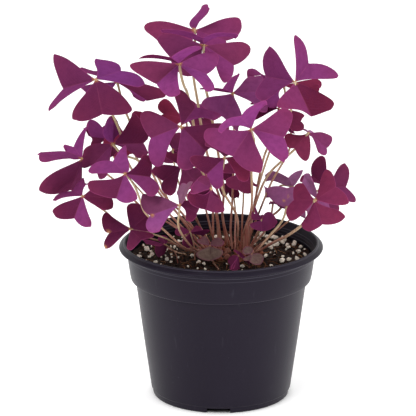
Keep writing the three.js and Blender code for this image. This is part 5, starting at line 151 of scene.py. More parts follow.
class Mat:
    def __init__(self, name, **constants):
        self.m = bpy.data.materials.new(name)
        self.m.use_nodes = True
        self.t = self.m.node_tree
        self.t.nodes.clear()
        self.out = self.t.nodes.new("ShaderNodeOutputMaterial")
        self.b = self.t.nodes.new("ShaderNodeBsdfPrincipled")
        self.t.links.new(self.b.outputs["BSDF"], self.out.inputs["Surface"])
        for k, v in constants.items():
            self.b.inputs[k.replace("_", " ")].default_value = v
        self._coords = None

    def put(self, node, key, v):
        if isinstance(v, bpy.types.NodeSocket):
            self.t.links.new(v, node.inputs[key])
        elif v is not None:
            node.inputs[key].default_value = v

    def set(self, key, v):
        self.put(self.b, key, v)

    def attr(self, name):
        n = self.t.nodes.new("ShaderNodeAttribute")
        n.attribute_name = name
        return n.outputs["Fac"]

    def coords(self, scale=(1, 1, 1)):
        if self._coords is None:
            self._coords = self.t.nodes.new("ShaderNodeTexCoord").outputs["Object"]
        if scale == (1, 1, 1):
            return self._coords
        n = self.t.nodes.new("ShaderNodeMapping")
        n.inputs["Scale"].default_value = scale
        self.t.links.new(self._coords, n.inputs["Vector"])
        return n.outputs["Vector"]

    def noise(self, scale, detail=3.0, rough=0.5, stretch=(1, 1, 1), distort=0.0):
        n = self.t.nodes.new("ShaderNodeTexNoise")
        self.put(n, "Vector", self.coords(stretch))
        n.inputs["Scale"].default_value = scale
        n.inputs["Detail"].default_value = detail
        n.inputs["Roughness"].default_value = rough
        n.inputs["Distortion"].default_value = distort
        return n.outputs["Fac"]

    def voronoi(self, scale, out="Distance", feature="F1", stretch=(1, 1, 1)):
        n = self.t.nodes.new("ShaderNodeTexVoronoi")
        n.feature = feature
        self.put(n, "Vector", self.coords(stretch))
        n.inputs["Scale"].default_value = scale
        return n.outputs[out]

    def math(self, op, a, b=None, c=None, clamp=False):
        n = self.t.nodes.new("ShaderNodeMath")
        n.operation = op
        n.use_clamp = clamp
        for i, v in enumerate((a, b, c)):
            self.put(n, i, v)
        return n.outputs[0]

    def remap(self, v, a, b, c=0.0, d=1.0, smooth=True):
        n = self.t.nodes.new("ShaderNodeMapRange")
        n.interpolation_type = "SMOOTHSTEP" if smooth else "LINEAR"
        for k, x in (("Value", v), ("From Min", a), ("From Max", b), ("To Min", c), ("To Max", d)):
            self.put(n, k, x)
        return n.outputs["Result"]

    def mix(self, fac, a, b, blend="MIX"):
        n = self.t.nodes.new("ShaderNodeMix")
        n.data_type = "RGBA"
        n.blend_type = blend
        self.put(n, 0, fac)
        self.put(n, 6, a)
        self.put(n, 7, b)
        return n.outputs[2]

    def ramp(self, fac, stops):
        n = self.t.nodes.new("ShaderNodeValToRGB")
        e = n.color_ramp.elements
        while len(e) > 1:
            e.remove(e[-1])
        e[0].position, e[0].color = stops[0]
        for p, c in stops[1:]:
            x = e.new(p)
            x.color = c
        self.put(n, "Fac", fac)
        return n.outputs["Color"]

    def bump(self, height, distance, strength=1.0, before=None):
        n = self.t.nodes.new("ShaderNodeBump")
        self.put(n, "Height", height)
        n.inputs["Distance"].default_value = distance
        n.inputs["Strength"].default_value = strength
        self.put(n, "Normal", before)
        return n.outputs["Normal"]


def leaf_material():
    m = Mat("leaf_purple", Specular_IOR_Level=0.0)
    sa, ta, edge = m.attr("along"), m.attr("across"), m.attr("edge")
    tone, under, warm, cool, pale, age, spot = (m.attr(k) for k in ("tone", "under", "warm", "cool", "pale", "age", "spot"))
    # upper side from deep wine over purple to violet, lower side a little brighter; the tone is partly the leaf's own
    # colour and partly painted light, each half of a folded leaflet made lighter and more violet or darker as it turns
    # towards or away from the light
    f = m.math("MULTIPLY_ADD", tone, 0.5, 0.5)
    upper = m.ramp(f, [(0.0, lin("#4E1630")), (0.25, lin("#612241")), (0.5, lin("#763256")), (0.75, lin("#863A74")), (1.0, lin("#95458C"))])
    lower = m.ramp(f, [(0.0, lin("#5E1C42")), (0.5, lin("#7C3064")), (1.0, lin("#97448C"))])
    col = m.mix(under, upper, lower)
    # a cooler, greyer patch fans out from the hub on the upper side, and the lobes turn redder
    fan = m.math("MULTIPLY", m.remap(sa, 0.70, 0.05), m.math("SUBTRACT", 1.0, under))
    col = m.mix(m.math("MULTIPLY", fan, 0.22), col, lin("#642C58"))
    tip = m.math("MULTIPLY", m.remap(sa, 0.55, 1.0), m.remap(ta, 0.1, 0.9))
    col = m.mix(m.math("MULTIPLY", tip, 0.26), col, lin("#8E3450"))
    col = m.mix(m.math("MULTIPLY", warm, 0.85), col, lin("#8E2E46"))
    col = m.mix(cool, col, lin("#5C2C70"))
    # towards pale lilac pink: partly the leaflet's own paler colour, partly painted light that lifts leaflets sitting
    # in shade
    col = m.mix(pale, col, lin("#C48AB8"))
    # fine mottling and feathered side veins
    mott = m.noise(230.0, 4.0, 0.6)
    col = m.mix(m.remap(mott, 0.35, 0.7, 0.0, 0.22), col, lin("#4A1A3A"))
    cell = m.noise(2600.0, 2.0, 0.5)
    col = m.mix(m.remap(cell, 0.45, 0.75, 0.0, 0.10), col, lin("#A0508C"))
    wob = m.noise(90.0, 2.0, 0.5)
    phase = m.math("ADD", m.math("SUBTRACT", m.math("MULTIPLY", sa, 10.0), m.math("MULTIPLY", ta, 4.6)), m.math("MULTIPLY", wob, 1.2))
    saw = m.math("PINGPONG", phase, 0.5)
    vein = m.remap(saw, 0.075, 0.0)
    vein = m.math("MULTIPLY", vein, m.remap(ta, 0.98, 0.1))
    col = m.mix(m.math("MULTIPLY", vein, 0.10), col, lin("#A04E84"))
    # midrib, margin, hub
    rib = m.math("MULTIPLY", m.remap(ta, 0.04, 0.008), m.remap(sa, 1.0, 0.2, 0.25, 1.0))
    col = m.mix(m.math("MULTIPLY", rib, 0.26), col, lin("#AC5478"))
    rim = m.remap(edge, 0.62, 0.10)
    col = m.mix(m.math("MULTIPLY", rim, 0.38), col, lin("#B85088"))
    hub = m.remap(sa, 0.10, 0.025)
    col = m.mix(m.math("MULTIPLY", hub, 0.85), col, lin("#A86E4C"))
    # aged leaves go grey-green in the middle, with a faint purple margin
    old = m.math("MULTIPLY", age, m.remap(edge, 0.1, 1.6, 0.62, 1.0))
    col = m.mix(old, col, m.ramp(m.noise(420.0, 4.0, 0.6), [(0.3, lin("#5E504A")), (0.6, lin("#7A6A5C")), (0.8, lin("#92806C"))]))
    # dry, orange-brown marks
    dry = m.math("MULTIPLY", spot, m.remap(m.noise(900.0, 3.0, 0.6), 0.25, 0.5, 0.55, 1.0), clamp=True)
    col = m.mix(dry, col, m.ramp(m.noise(1500.0, 2.0, 0.5), [(0.35, lin("#B4704A")), (0.6, lin("#D49A6C")), (0.75, lin("#E8B88C"))]))
    m.set("Base Color", col)
    m.set("Roughness", m.math("ADD", m.remap(mott, 0.3, 0.7, 0.46, 0.56), m.math("MULTIPLY", under, 0.08)))
    h = m.math("ADD", m.math("MULTIPLY", vein, -0.5), m.math("MULTIPLY", cell, 0.35))
    m.set("Normal", m.bump(h, 0.00012, 0.6, m.bump(wob, 0.0006, 0.35)))
    return m.m


def stalk_material():
    m = Mat("stalk_tan", Specular_IOR_Level=0.4, Sheen_Weight=0.05)
    down, pink, ang = m.attr("down"), m.attr("pink"), m.attr("rnd")
    high = m.ramp(m.noise(60.0, 3.0, 0.5, (1, 1, 0.35)), [(0.25, lin("#9C8458")), (0.5, lin("#C2AA80")), (0.75, lin("#D8C6A2"))])
    low = m.ramp(m.noise(80.0, 3.0, 0.5, (1, 1, 0.4)), [(0.25, lin("#843E38")), (0.5, lin("#B4685C")), (0.75, lin("#D69C8A"))])
    col = m.mix(m.math("ADD", m.remap(down, 0.22, 0.78, 0.0, 0.95), m.math("MULTIPLY", pink, 0.5), clamp=True), high, low)
    col = m.mix(m.remap(ang, 0.0, 1.0, 0.0, 0.20), col, lin("#74583C"))
    streak = m.noise(900.0, 3.0, 0.6, (1, 1, 0.06))
    col = m.mix(m.remap(streak, 0.4, 0.75, 0.0, 0.35), col, lin("#EADCBC"))
    col = m.mix(m.remap(m.noise(340.0, 4.0, 0.65), 0.58, 0.75, 0.0, 0.30), col, lin("#6A4430"))
    joint = m.remap(down, 0.035, 0.008)
    col = m.mix(m.math("MULTIPLY", joint, 0.6), col, lin("#B87E50"))
    m.set("Base Color", col)
    m.set("Roughness", m.remap(streak, 0.3, 0.7, 0.46, 0.6))
    m.set("Normal", m.bump(streak, 0.00015, 0.6))
    return m.m


def pot_material():
    m = Mat("pot_plastic", Specular_IOR_Level=0.17, Specular_Tint=(0.90, 0.80, 1.0, 1.0))
    grain = m.noise(1300.0, 3.0, 0.6)
    wide = m.noise(14.0, 3.0, 0.5, (1, 1, 0.5))
    col = m.ramp(wide, [(0.3, lin("#17131D")), (0.7, lin("#1C1823"))])
    col = m.mix(m.remap(grain, 0.4, 0.7, 0.0, 0.18), col, lin("#2A2633"))
    # faint upright scuffs and a little settled dust
    scuff = m.remap(m.noise(210.0, 4.0, 0.65, (1, 1, 0.12)), 0.62, 0.78)
    col = m.mix(m.math("MULTIPLY", scuff, 0.10), col, lin("#6A6872"))
    dust = m.remap(m.voronoi(230.0), 0.055, 0.02)
    keep = m.remap(m.noise(30.0, 2.0, 0.5), 0.56, 0.62)
    col = m.mix(m.math("MULTIPLY", m.math("MULTIPLY", dust, keep), 0.45), col, lin("#8C8A92"))
    # thin lighter lines along the lip, the steps of the inner wall and the shoulder step: painted highlights on those
    # edges
    at = m.t.nodes.new("ShaderNodeSeparateXYZ")
    m.put(at, "Vector", m.coords())
    for level, width, share, tint in ((0.12195, 0.00045, 0.34, "#8A8896"), (0.12705, 0.0005, 0.16, "#7A7886"), (0.1198, 0.0004, 0.30, "#6E6C78"), (0.1170, 0.0004, 0.22, "#6E6C78"), (0.0981, 0.0004, 0.12, "#7A7886")):
        near = m.math("ABSOLUTE", m.math("SUBTRACT", at.outputs["Z"], level))
        ring_highlight = m.math("MULTIPLY", m.remap(near, width, width * 0.3), m.remap(wide, 0.3, 0.6, 0.55, 1.0))
        col = m.mix(m.math("MULTIPLY", ring_highlight, share), col, lin(tint))
    m.set("Base Color", col)
    rough = m.math("ADD", m.remap(grain, 0.3, 0.7, 0.36, 0.44), m.math("MULTIPLY", scuff, 0.12))
    m.set("Roughness", rough)
    m.set("Normal", m.bump(grain, 0.00010, 0.55, m.bump(wide, 0.0009, 0.3)))
    return m.m


def soil_material():
    m = Mat("potting_mix", Specular_IOR_Level=0.25)
    big = m.noise(150.0, 5.0, 0.65)
    col = m.ramp(big, [(0.30, lin("#0F0805")), (0.5, lin("#1E120C")), (0.66, lin("#33200F")), (0.8, lin("#4C2E1B"))])
    fine = m.noise(900.0, 4.0, 0.7)
    col = m.mix(m.remap(fine, 0.5, 0.75, 0.0, 0.6), col, lin("#5A3A26"))
    col = m.mix(m.remap(m.voronoi(420.0), 0.10, 0.03, 0.0, 0.35), col, lin("#8A6A4C"))
    m.set("Base Color", col)
    m.set("Roughness", m.remap(fine, 0.2, 0.8, 0.85, 1.0))
    m.set("Normal", m.bump(fine, 0.0006, 0.9, m.bump(big, 0.0012, 0.7)))
    return m.m


def crumb_material():
    m = Mat("mix_crumb", Specular_IOR_Level=0.25)
    r = m.attr("rnd")
    fine = m.noise(1100.0, 4.0, 0.7)
    col = m.ramp(r, [(0.0, lin("#0C0604")), (0.45, lin("#1A0F0A")), (0.75, lin("#382015")), (0.92, lin("#643E28")), (1.0, lin("#8A5E40"))])
    col = m.mix(m.remap(fine, 0.4, 0.75, 0.0, 0.5), col, lin("#4E3220"))
    m.set("Base Color", col)
    m.set("Roughness", m.remap(fine, 0.2, 0.8, 0.8, 0.98))
    m.set("Normal", m.bump(fine, 0.0005, 0.9))
    return m.m


def fibre_material():
    m = Mat("mix_fibre", Specular_IOR_Level=0.3)
    r = m.attr("rnd")
    col = m.ramp(r, [(0.0, lin("#2A160D")), (0.4, lin("#4E2C1A")), (0.7, lin("#7A4A2C")), (1.0, lin("#A67E52"))])
    fine = m.noise(1600.0, 3.0, 0.6)
    col = m.mix(m.remap(fine, 0.4, 0.7, 0.0, 0.35), col, lin("#2E1A10"))
    m.set("Base Color", col)
    m.set("Roughness", m.remap(fine, 0.2, 0.8, 0.65, 0.9))
    m.set("Normal", m.bump(fine, 0.0003, 0.6))
    return m.m


def perlite_material():
    m = Mat("perlite", Specular_IOR_Level=0.3)
    big = m.noise(520.0, 4.0, 0.6)
    pore = m.voronoi(1500.0)
    col = m.ramp(big, [(0.3, lin("#EADCC4")), (0.55, lin("#FAF2E2")), (0.8, lin("#FFFDF6"))])
    col = m.mix(m.remap(pore, 0.22, 0.05, 0.0, 0.35), col, lin("#A48A68"))
    col = m.mix(m.remap(m.noise(260.0, 3.0, 0.6), 0.62, 0.74, 0.0, 0.5), col, lin("#8A6A4C"))
    m.set("Base Color", col)
    # a faint glow in the grains' own colour: painted light that keeps them bright where the rim shades them
    m.set("Emission Color", col)
    m.b.inputs["Emission Strength"].default_value = 0.09
    m.set("Roughness", m.remap(big, 0.3, 0.7, 0.75, 0.95))
    m.set("Normal", m.bump(pore, 0.0004, 0.8))
    return m.m


def bulb_material():
    m = Mat("bulb_scale", Specular_IOR_Level=0.3)
    big = m.noise(240.0, 4.0, 0.6)
    col = m.ramp(big, [(0.3, lin("#4A2418")), (0.5, lin("#864830")), (0.7, lin("#AC6A50")), (0.85, lin("#C08A76"))])
    fib = m.noise(800.0, 3.0, 0.6, (1, 1, 0.15))
    col = m.mix(m.remap(fib, 0.45, 0.7, 0.0, 0.4), col, lin("#4A2A1C"))
    col = m.mix(m.remap(m.attr("rnd"), 0.6, 1.0, 0.0, 0.35), col, lin("#B08A7C"))
    m.set("Base Color", col)
    m.set("Roughness", m.remap(fib, 0.2, 0.8, 0.6, 0.8))
    m.set("Normal", m.bump(fib, 0.0003, 0.8))
    return m.m


LEAF, STALK, POT, SOIL = leaf_material(), stalk_material(), pot_material(), soil_material()
CRUMB, FIBRE, PERLITE, BULB = crumb_material(), fibre_material(), perlite_material(), bulb_material()


# ---------------------------------------------------------------- mesh helpers
def piece(name, verts, faces, materials, attrs=None, face_mats=None, smooth=True):
    me = bpy.data.meshes.new(name)
    me.from_pydata((np.asarray(verts, float) * MM).tolist(), [], [tuple(int(i) for i in f) for f in faces])
    me.validate()
    for k, v in (attrs or {}).items():
        a = me.attributes.new(k, "FLOAT", "POINT")
        a.data.foreach_set("value", np.asarray(v, np.float32))
    for mt in materials:
        me.materials.append(mt)
    if face_mats is not None:
        me.polygons.foreach_set("material_index", np.asarray(face_mats, np.int32))
    me.polygons.foreach_set("use_smooth", np.full(len(me.polygons), smooth))
    ob = bpy.data.objects.new(name, me)
    bpy.context.scene.collection.objects.link(ob)
    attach(ob, "root")
    return ob


class Build:
    """Collects vertices, faces and point values for one piece."""

    def __init__(self, *names):
        self.v, self.f, self.fm = [], [], []
        self.names = names
        self.a = {k: [] for k in names}
        self.count = 0

    def add(self, verts, faces, mat=0, **values):
        verts = np.asarray(verts, float)
        n = len(verts)
        self.v.append(verts)
        self.f.extend([tuple(i + self.count for i in f) for f in faces])
        self.fm.extend([mat] * len(faces))
        for k in self.names:
            x = values.get(k, 0.0)
            self.a[k].append(np.broadcast_to(np.asarray(x, float), (n,)))
        self.count += n

    def make(self, name, materials, smooth=True):
        return piece(
            name,
            np.concatenate(self.v),
            self.f,
            materials,
            {k: np.concatenate(x) for k, x in self.a.items()},
            self.fm,
            smooth,
        )


# ---------------------------------------------------------------- leaflet surface
NR = 0.73
TH = math.radians(38)
RHO = 0.165
LT = np.array([math.cos(TH), math.sin(TH)])


def bez(p, t):
    t = np.asarray(t)[:, None]
    p = np.array(p, float)
    return (1 - t) ** 3 * p[0] + 3 * (1 - t) ** 2 * t * p[1] + 3 * (1 - t) * t * t * p[2] + t**3 * p[3]


def far_edge():
    tc = math.radians(36.5)
    c = (1 - RHO) * np.array([math.cos(tc), math.sin(tc)])
    a1, a0 = math.radians(126), math.radians(18)
    n = np.array([NR, 0])
    p0 = c + RHO * np.array([math.cos(a0), math.sin(a0)])
    back = np.array([math.sin(a0), -math.cos(a0)])
    s1 = bez([n, n + np.array([0.055, 0.075]), p0 + back * 0.14, p0], np.linspace(0, 1, 60))
    ang = np.linspace(a0, a1, 60)
    pl = np.concatenate([s1, (c + RHO * np.stack([np.cos(ang), np.sin(ang)], 1))[1:]])
    d = np.r_[0, np.cumsum(np.linalg.norm(np.diff(pl, axis=0), axis=1))]
    return pl, d / d[-1], np.array([-math.sin(a1), math.cos(a1)])


FAR, FAR_D, ON = far_edge()


def far_at(t):
    return np.stack([np.interp(t, FAR_D, FAR[:, 0]), np.interp(t, FAR_D, FAR[:, 1])], 1)


_far40 = far_at(np.linspace(0, 1, 41))
TIP_T = float(np.argmax(np.linalg.norm(_far40, axis=1))) / 40
ROWS = np.array([0, 0.03, 0.08, 0.15, 0.23, 0.32, 0.41, 0.50, 0.59, 0.68, 0.765, 0.84, 0.905, 0.955, 0.985, 1.0])
COLS = np.array([0, 0.022, 0.07, 0.15, 0.25, 0.36, 0.47, 0.57, 0.66, 0.745, 0.82, 0.885, 0.94, 0.98, 1.0])


def edge_weights(s, t):
    e1 = (s**1.3 * (1 - s)) / (0.60**1.3 * 0.40) * t**2
    e2 = (s**0.8 * (1 - s) ** 1.8) / (0.3**0.8 * 0.7**1.8) * t**2
    f = np.clip((t - TIP_T) / (1 - TIP_T), 0, 1)
    sh = s**3 * np.where(t > TIP_T, np.sin(np.pi / 2 * f), 0.0)
    m = s**3 * np.where(t < TIP_T, np.sin(np.pi * np.clip(t / TIP_T, 0, 1)), 0.0)
    m2 = s**3 * np.where(t > TIP_T, np.sin(np.pi * f), 0.0)
    return np.stack([e1, e2, sh, m, m2], -1)


def leaflet_grid(data, rows=ROWS, cols=COLS, s0=0.012, curl=0.05):
    """Rows from the hub outward, columns from the left edge over the midrib to the right edge, from the hub, mm."""
    L, N, R, sl, sr = (np.array(x, float) for x in data)
    s = s0 + (1 - s0) * rows
    D, side = far_at(cols), bez([np.zeros(2), np.array([0.20, 0.19]), far_at(np.array([1.0]))[0] + ON * 0.24, far_at(np.array([1.0]))[0]], s)
    T1, Nf = D[-1], np.array([NR, 0.0])
    S, T = s[:, None, None], cols[None, :, None]
    P = (1 - T) * S * Nf + T * side[:, None, :] + S * D[None] - S * ((1 - T) * Nf + T * T1)
    a = P[..., 1] / LT[1]
    b = (P[..., 0] - a * LT[0]) / NR
    size = np.linalg.norm(N) / NR
    w = edge_weights(np.broadcast_to(s[:, None], a.shape), np.broadcast_to(cols[None], a.shape))
    nl = np.cross(N, L)
    nl /= np.linalg.norm(nl) + 1e-9
    nr = np.cross(R, N)
    nr /= np.linalg.norm(nr) + 1e-9
    off = curl * size * (np.sin(np.pi * T[..., 0]) * S[..., 0] * 0.6 - 0.9 * S[..., 0] ** 2.2 * (0.35 + 0.65 * T[..., 0] ** 1.5))
    gl = a[..., None] * L + b[..., None] * N + w @ sl + off[..., None] * nl
    gr = a[..., None] * R + b[..., None] * N + w @ sr + off[..., None] * nr
    return np.concatenate([gl[:, ::-1], gr[:, 1:]], axis=1), size


def leaflet(build, data, hub, tones_with_painted_light, seed, under_bonus=0.0, **values):
    grid, size = leaflet_grid(data)
    rng = np.random.default_rng(seed)
    nr_, nc = grid.shape[:2]
    s = np.broadcast_to(ROWS[:, None], (nr_, nc))
    signed = np.concatenate([-COLS[::-1], COLS[1:]])
    t = np.broadcast_to(np.abs(signed)[None], (nr_, nc))
    # mid-surface normals
    du = np.gradient(grid, axis=0)
    nt = len(COLS)
    normal = np.zeros_like(grid)
    for sl in (slice(0, nt), slice(nt - 1, nc)):
        dv = np.gradient(grid[:, sl], axis=1)
        n = np.cross(du[:, sl], dv)
        n /= np.linalg.norm(n, axis=-1, keepdims=True) + 1e-12
        normal[:, sl] += n
    left, right = normal[:, nt - 2].copy(), normal[:, nt].copy()
    mid = left + right
    mid /= np.linalg.norm(mid, axis=-1, keepdims=True) + 1e-9
    k = np.clip((mid * right).sum(-1, keepdims=True), 0.5, 1.0)
    normal[:, nt - 1] = mid / k
    # which way is up: the side that the curl lifts
    L, N = np.array(data[0], float), np.array(data[1], float)
    nl = np.cross(N, L)
    if (normal[nr_ // 2, nt // 2] * nl).sum() < 0:
        normal = -normal
    # a soft wave along the margin
    wave = rng.uniform(0.25, 0.6) * size / 40.0
    ph = rng.uniform(0, 6.28, 2)
    grid = grid + normal * (wave * s**2.5 * np.sin(signed[None] * 5.1 + ph[0]) * t + 0.35 * wave * s**3 * np.sin(signed[None] * 11.3 + ph[1]))[..., None]
    # distance from the margin
    border = np.concatenate([grid[:, 0], grid[-1, 1:-1], grid[::-1, -1]])
    dense = np.concatenate([border[:-1] + (border[1:] - border[:-1]) * q for q in (0, 0.25, 0.5, 0.75)])
    edge = np.sqrt(((grid.reshape(-1, 1, 3) - dense[None]) ** 2).sum(-1)).min(1)
    thick = 0.15 - 0.06 * np.exp(-((edge.reshape(nr_, nc) / 0.8) ** 2))
    keel = 0.30 * np.exp(-((t / 0.03) ** 2)) * (1 - 0.85 * s)
    top = grid + normal * thick[..., None]
    bottom = grid - normal * (thick + keel)[..., None]
    verts = np.concatenate([top.reshape(-1, 3), bottom.reshape(-1, 3)]) + hub
    n = nr_ * nc
    idx = np.arange(n).reshape(nr_, nc)
    faces = []
    a, b, c, d = idx[:-1, :-1].ravel(), idx[1:, :-1].ravel(), idx[1:, 1:].ravel(), idx[:-1, 1:].ravel()
    ring = np.concatenate([idx[0, :], idx[1:, -1], idx[-1, -2::-1], idx[-2:0:-1, 0]])
    # orient by the top normal
    q = np.cross(grid[1:, 1:] - grid[:-1, :-1], grid[:-1, 1:] - grid[1:, :-1])
    flip = (q * normal[:-1, :-1]).sum() < 0
    if flip:
        faces += list(zip(a, d, c, b)) + list(zip(a + n, b + n, c + n, d + n))
    else:
        faces += list(zip(a, b, c, d)) + list(zip(a + n, d + n, c + n, b + n))
    r2 = np.roll(ring, -1)
    if flip:
        faces += list(zip(ring, ring + n, r2 + n, r2))
    else:
        faces += list(zip(ring, r2, r2 + n, ring + n))
    # each half takes its own tone: partly its own colour, partly painted light and shade for the way that half faces
    # the light
    tone = np.where(signed < 0, tones_with_painted_light[0], tones_with_painted_light[1]).astype(float)
    tone[nt - 1] = 0.5 * (tones_with_painted_light[0] + tones_with_painted_light[1])
    tone = np.broadcast_to(tone[None], (nr_, nc)).ravel()
    spot = np.zeros(n)
    seen = shown_at(grid.reshape(-1, 3) + hub)
    for x, y, r in values.pop("spots", ()):
        dd = np.hypot(seen[:, 0] - x, seen[:, 1] - y)
        spot = np.maximum(spot, np.clip(1.6 - dd / r, 0, 1))
    two = lambda x: np.concatenate([np.ravel(x), np.ravel(x)])
    build.add(
        verts,
        faces,
        along=two(s),
        across=two(t),
        edge=two(edge),
        tone=two(tone),
        under=np.r_[np.zeros(n), np.ones(n)],
        spot=two(spot),
        **values,
    )
    return grid + hub


# ---------------------------------------------------------------- tubes
def catmull(p, per):
    p = np.asarray(p, float)
    q = np.vstack([2 * p[0] - p[1], p, 2 * p[-1] - p[-2]])
    out = []
    for i in range(1, len(q) - 2):
        for k in range(per):
            u = k / per
            out.append(
                0.5
                * (
                    2 * q[i]
                    + (q[i + 1] - q[i - 1]) * u
                    + (2 * q[i - 1] - 5 * q[i] + 4 * q[i + 1] - q[i + 2]) * u * u
                    + (3 * q[i] - q[i - 1] - 3 * q[i + 1] + q[i + 2]) * u**3
                )
            )
    out.append(q[-2])
    return np.array(out)


def tube(path, radii, sides=10):
    """Closed tube with domed ends: vertices, faces, and for each vertex its share of the way."""
    path = np.asarray(path, float)
    tan = np.gradient(path, axis=0)
    tan /= np.linalg.norm(tan, axis=1, keepdims=True) + 1e-12
    ref = np.array([1.0, 0, 0]) if abs(tan[0][0]) < 0.8 else np.array([0, 1.0, 0])
    u = np.cross(tan[0], ref)
    u /= np.linalg.norm(u)
    verts, share = [], []
    n = len(path)
    for i in range(n):
        u = u - tan[i] * (u @ tan[i])
        u /= np.linalg.norm(u)
        v = np.cross(tan[i], u)
        for k in range(sides):
            a = 2 * math.pi * k / sides
            verts.append(path[i] + radii[i] * (u * math.cos(a) + v * math.sin(a)))
            share.append(i / (n - 1))
    faces = []
    for i in range(n - 1):
        for k in range(sides):
            k2 = (k + 1) % sides
            faces.append((i * sides + k, i * sides + k2, (i + 1) * sides + k2, (i + 1) * sides + k))
    for end, ring in ((0, 0), (n - 1, n - 1)):
        c = len(verts)
        verts.append(path[end] + tan[end] * (-0.6 if end == 0 else 0.6) * radii[end])
        share.append(0.0 if end == 0 else 1.0)
        for k in range(sides):
            k2 = (k + 1) % sides
            f = (ring * sides + k2, ring * sides + k, c) if end == 0 else (ring * sides + k, ring * sides + k2, c)
            faces.append(f)
    return np.array(verts), faces, np.array(share)


# ---------------------------------------------------------------- leaves and stalks
# How each leaf is coloured: for each leaflet the tone of its left and right half, -1 deep wine, 0 purple, 1 violet
# the halves of a folded leaflet differ partly in their own colour and partly by painted light: the half that faces the
# light is painted lighter and more violet, the half turned away painted darker as shade
TONES_WITH_PAINTED_LIGHT = {
    "01": [(0.9, 0.1), (0.5, 0.75), (0.9, -0.9)],
    "02": [(0.0, -0.2), (0.0, 0.6), (0.9, 0.4)],
    "03": [(0.3, 0.1), (0.4, 0.4), (0.2, 0.45)],
    "04": [(0.35, -0.2), (-0.3, -0.35), (0.5, 0.65)],
    "05": [(-0.2, 0.7), (0.4, 0.1), (0.0, 0.0)],
    "06": [(0.1, -0.25), (0.5, 0.5), (-0.95, 0.35)],
    "07": [(0.6, 0.5), (0.6, 0.9), (0.4, -0.2)],
    "08": [(0.25, 0.3), (0.35, 0.75), (0.65, 0.7)],
    "09": [(0.6, -0.05), (-0.1, 0.4), (-0.5, 0.2)],
    "10": [(-0.6, 0.1), (-0.6, 0.7), (0.1, -0.15)],
    "11": [(0.35, 0.35), (0.1, -0.25), (0.6, 0.4)],
    "12": [(0.6, 0.6), (0.6, -0.4), (-0.8, 0.3)],
    "13": [(0.3, 0.4), (0.4, -0.5), (-0.3, -0.3)],
    "14": [(0.9, 0.0), (0.3, 0.1), (-0.2, -0.3)],
    "15": [(-0.25, -0.9), (0.1, 0.0), (-0.5, -0.5)],
    "16": [(0.55, -0.5), (-0.4, -0.4), (0.0, 0.0)],
    "17": [(0.9, 0.6), (0.3, 0.6), (0.8, 0.8)],
    "18": [(-0.1, 0.1), (0.05, 0.0), (0.0, 0.15)],
    "19": [(-0.1, 0.15), (-0.4, -0.6), (0.0, 0.0)],
    "s01": [(0.4, 0.4), (0.7, -0.5), (-0.6, -0.6)],
    "s02": [(-0.5, 0.4), (-0.3, -0.1), (0.0, 0.0)],
    "s03": [(-0.3, -0.3), (-0.1, 0.4), (-0.2, -0.2)],
    "s04": [(-0.6, -0.2), (-0.6, -0.2), (-0.4, -0.4)],
    "s05": [(0.4, 0.4), (0.0, 0.0), (0.0, 0.0)],
    "s06": [(-0.3, -0.5), (0.0, 0.0), (-0.3, -0.3)],
    "s07": [(0.5, 0.2), (-0.5, -0.5), (-0.2, -0.2)],
    "s08": [(0.0, 0.0), (-0.1, -0.3), (0.0, 0.0)],
    "s09": [(0.3, 0.9), (0.4, 0.4), (0.2, 0.2)],
    "s10": [(-0.7, -0.7), (-0.7, -0.7), (-0.6, -0.6)],
    "s11": [(0.9, 0.9), (0.5, 0.5), (0.5, 0.5)],
    "s12": [(0.6, 0.6), (0.3, 0.3), (0.3, 0.3)],
    "s13": [(-0.4, -0.4), (-0.3, -0.3), (-0.3, -0.1)],
    "s14": [(0.15, 0.15), (0.05, 0.1), (0.3, 0.3)],
    "s15": [(-0.2, -0.2), (-0.2, -0.2), (-0.2, -0.2)],
    "s16": [(-0.1, -0.1), (-0.1, -0.1), (-0.1, -0.1)],
    "s19": [(-0.05, -0.05), (-0.05, -0.05), (-0.05, -0.05)],
}
# how red each leaflet is, and how far it has aged to grey-green
WARM = {
    "01": (0.15, 0, 0), "02": (0, 0.15, 0), "03": (0.3, 0, 0.2), "05": (0.15, 0, 0), "06": (0.15, 0, 0.25), "07": (0, 0.15, 0),
    "08": (0.12, 0.22, 0), "13": (0, 0, 0.2), "16": (0, 0.5, 0), "17": (1.0, 0.3, 0), "18": (0.5, 0.5, 0.5), "s01": (0, 0, 0.5),
    "s02": (0, 0.3, 0), "s03": (0.9, 0.1, 0.1), "s05": (0.9, 0.9, 0.9), "s06": (0, 0, 0.3), "s07": (0.2, 0, 0),
    "s08": (0.3, 0.2, 0.3), "s13": (0, 0, 0.1),
}
AGE = {"14": (0, 0.35, 0), "s16": (0.55, 0.55, 0.9), "s18": (0.8, 0.8, 0.8), "s12": (0.15, 0.15, 0.15), "s09": (0, 0.2, 0)}
# how far each leaflet is lightened towards pale lilac pink: partly its own paler colour, partly painted light on
# leaflets that sit in shade
PALE_WITH_PAINTED_LIGHT = {"s11": (0.72, 0.3, 0.35), "s12": (0.24, 0.2, 0.2), "s09": (0.5, 0.15, 0.15), "14": (0.12, 0.22, 0), "17": (0.04, 0.05, 0.7), "07": (0.08, 0.10, 0.0)}
COOL = {"04": (0.1, 0, 0.4), "06": (0.3, 0, 0), "s07": (0.3, 0, 0), "05": (0, 0.2, 0.2), "10": (0, 0.25, 0), "12": (0, 0, 0), "02": (0.1, 0, 0)}
PINK = {"s15": 0.4, "s16": 0.3, "s17": 0.8, "s18": 0.2, "s19": 0.9, "15": 0.4, "14": 0.2, "s09": 0.5, "s05": 0.7, "s03": 0.5}
# small dry marks: where they show in the picture and how wide, in pixels
SPOTS = {
    "14": [(152.5, 215.5, 1.5), (144, 216, 1.0)],
    "s13": [(108.5, 232, 1.6), (105, 247, 1.6)],
    "s12": [(284, 200.5, 1.1), (288, 196.5, 0.8)],
}


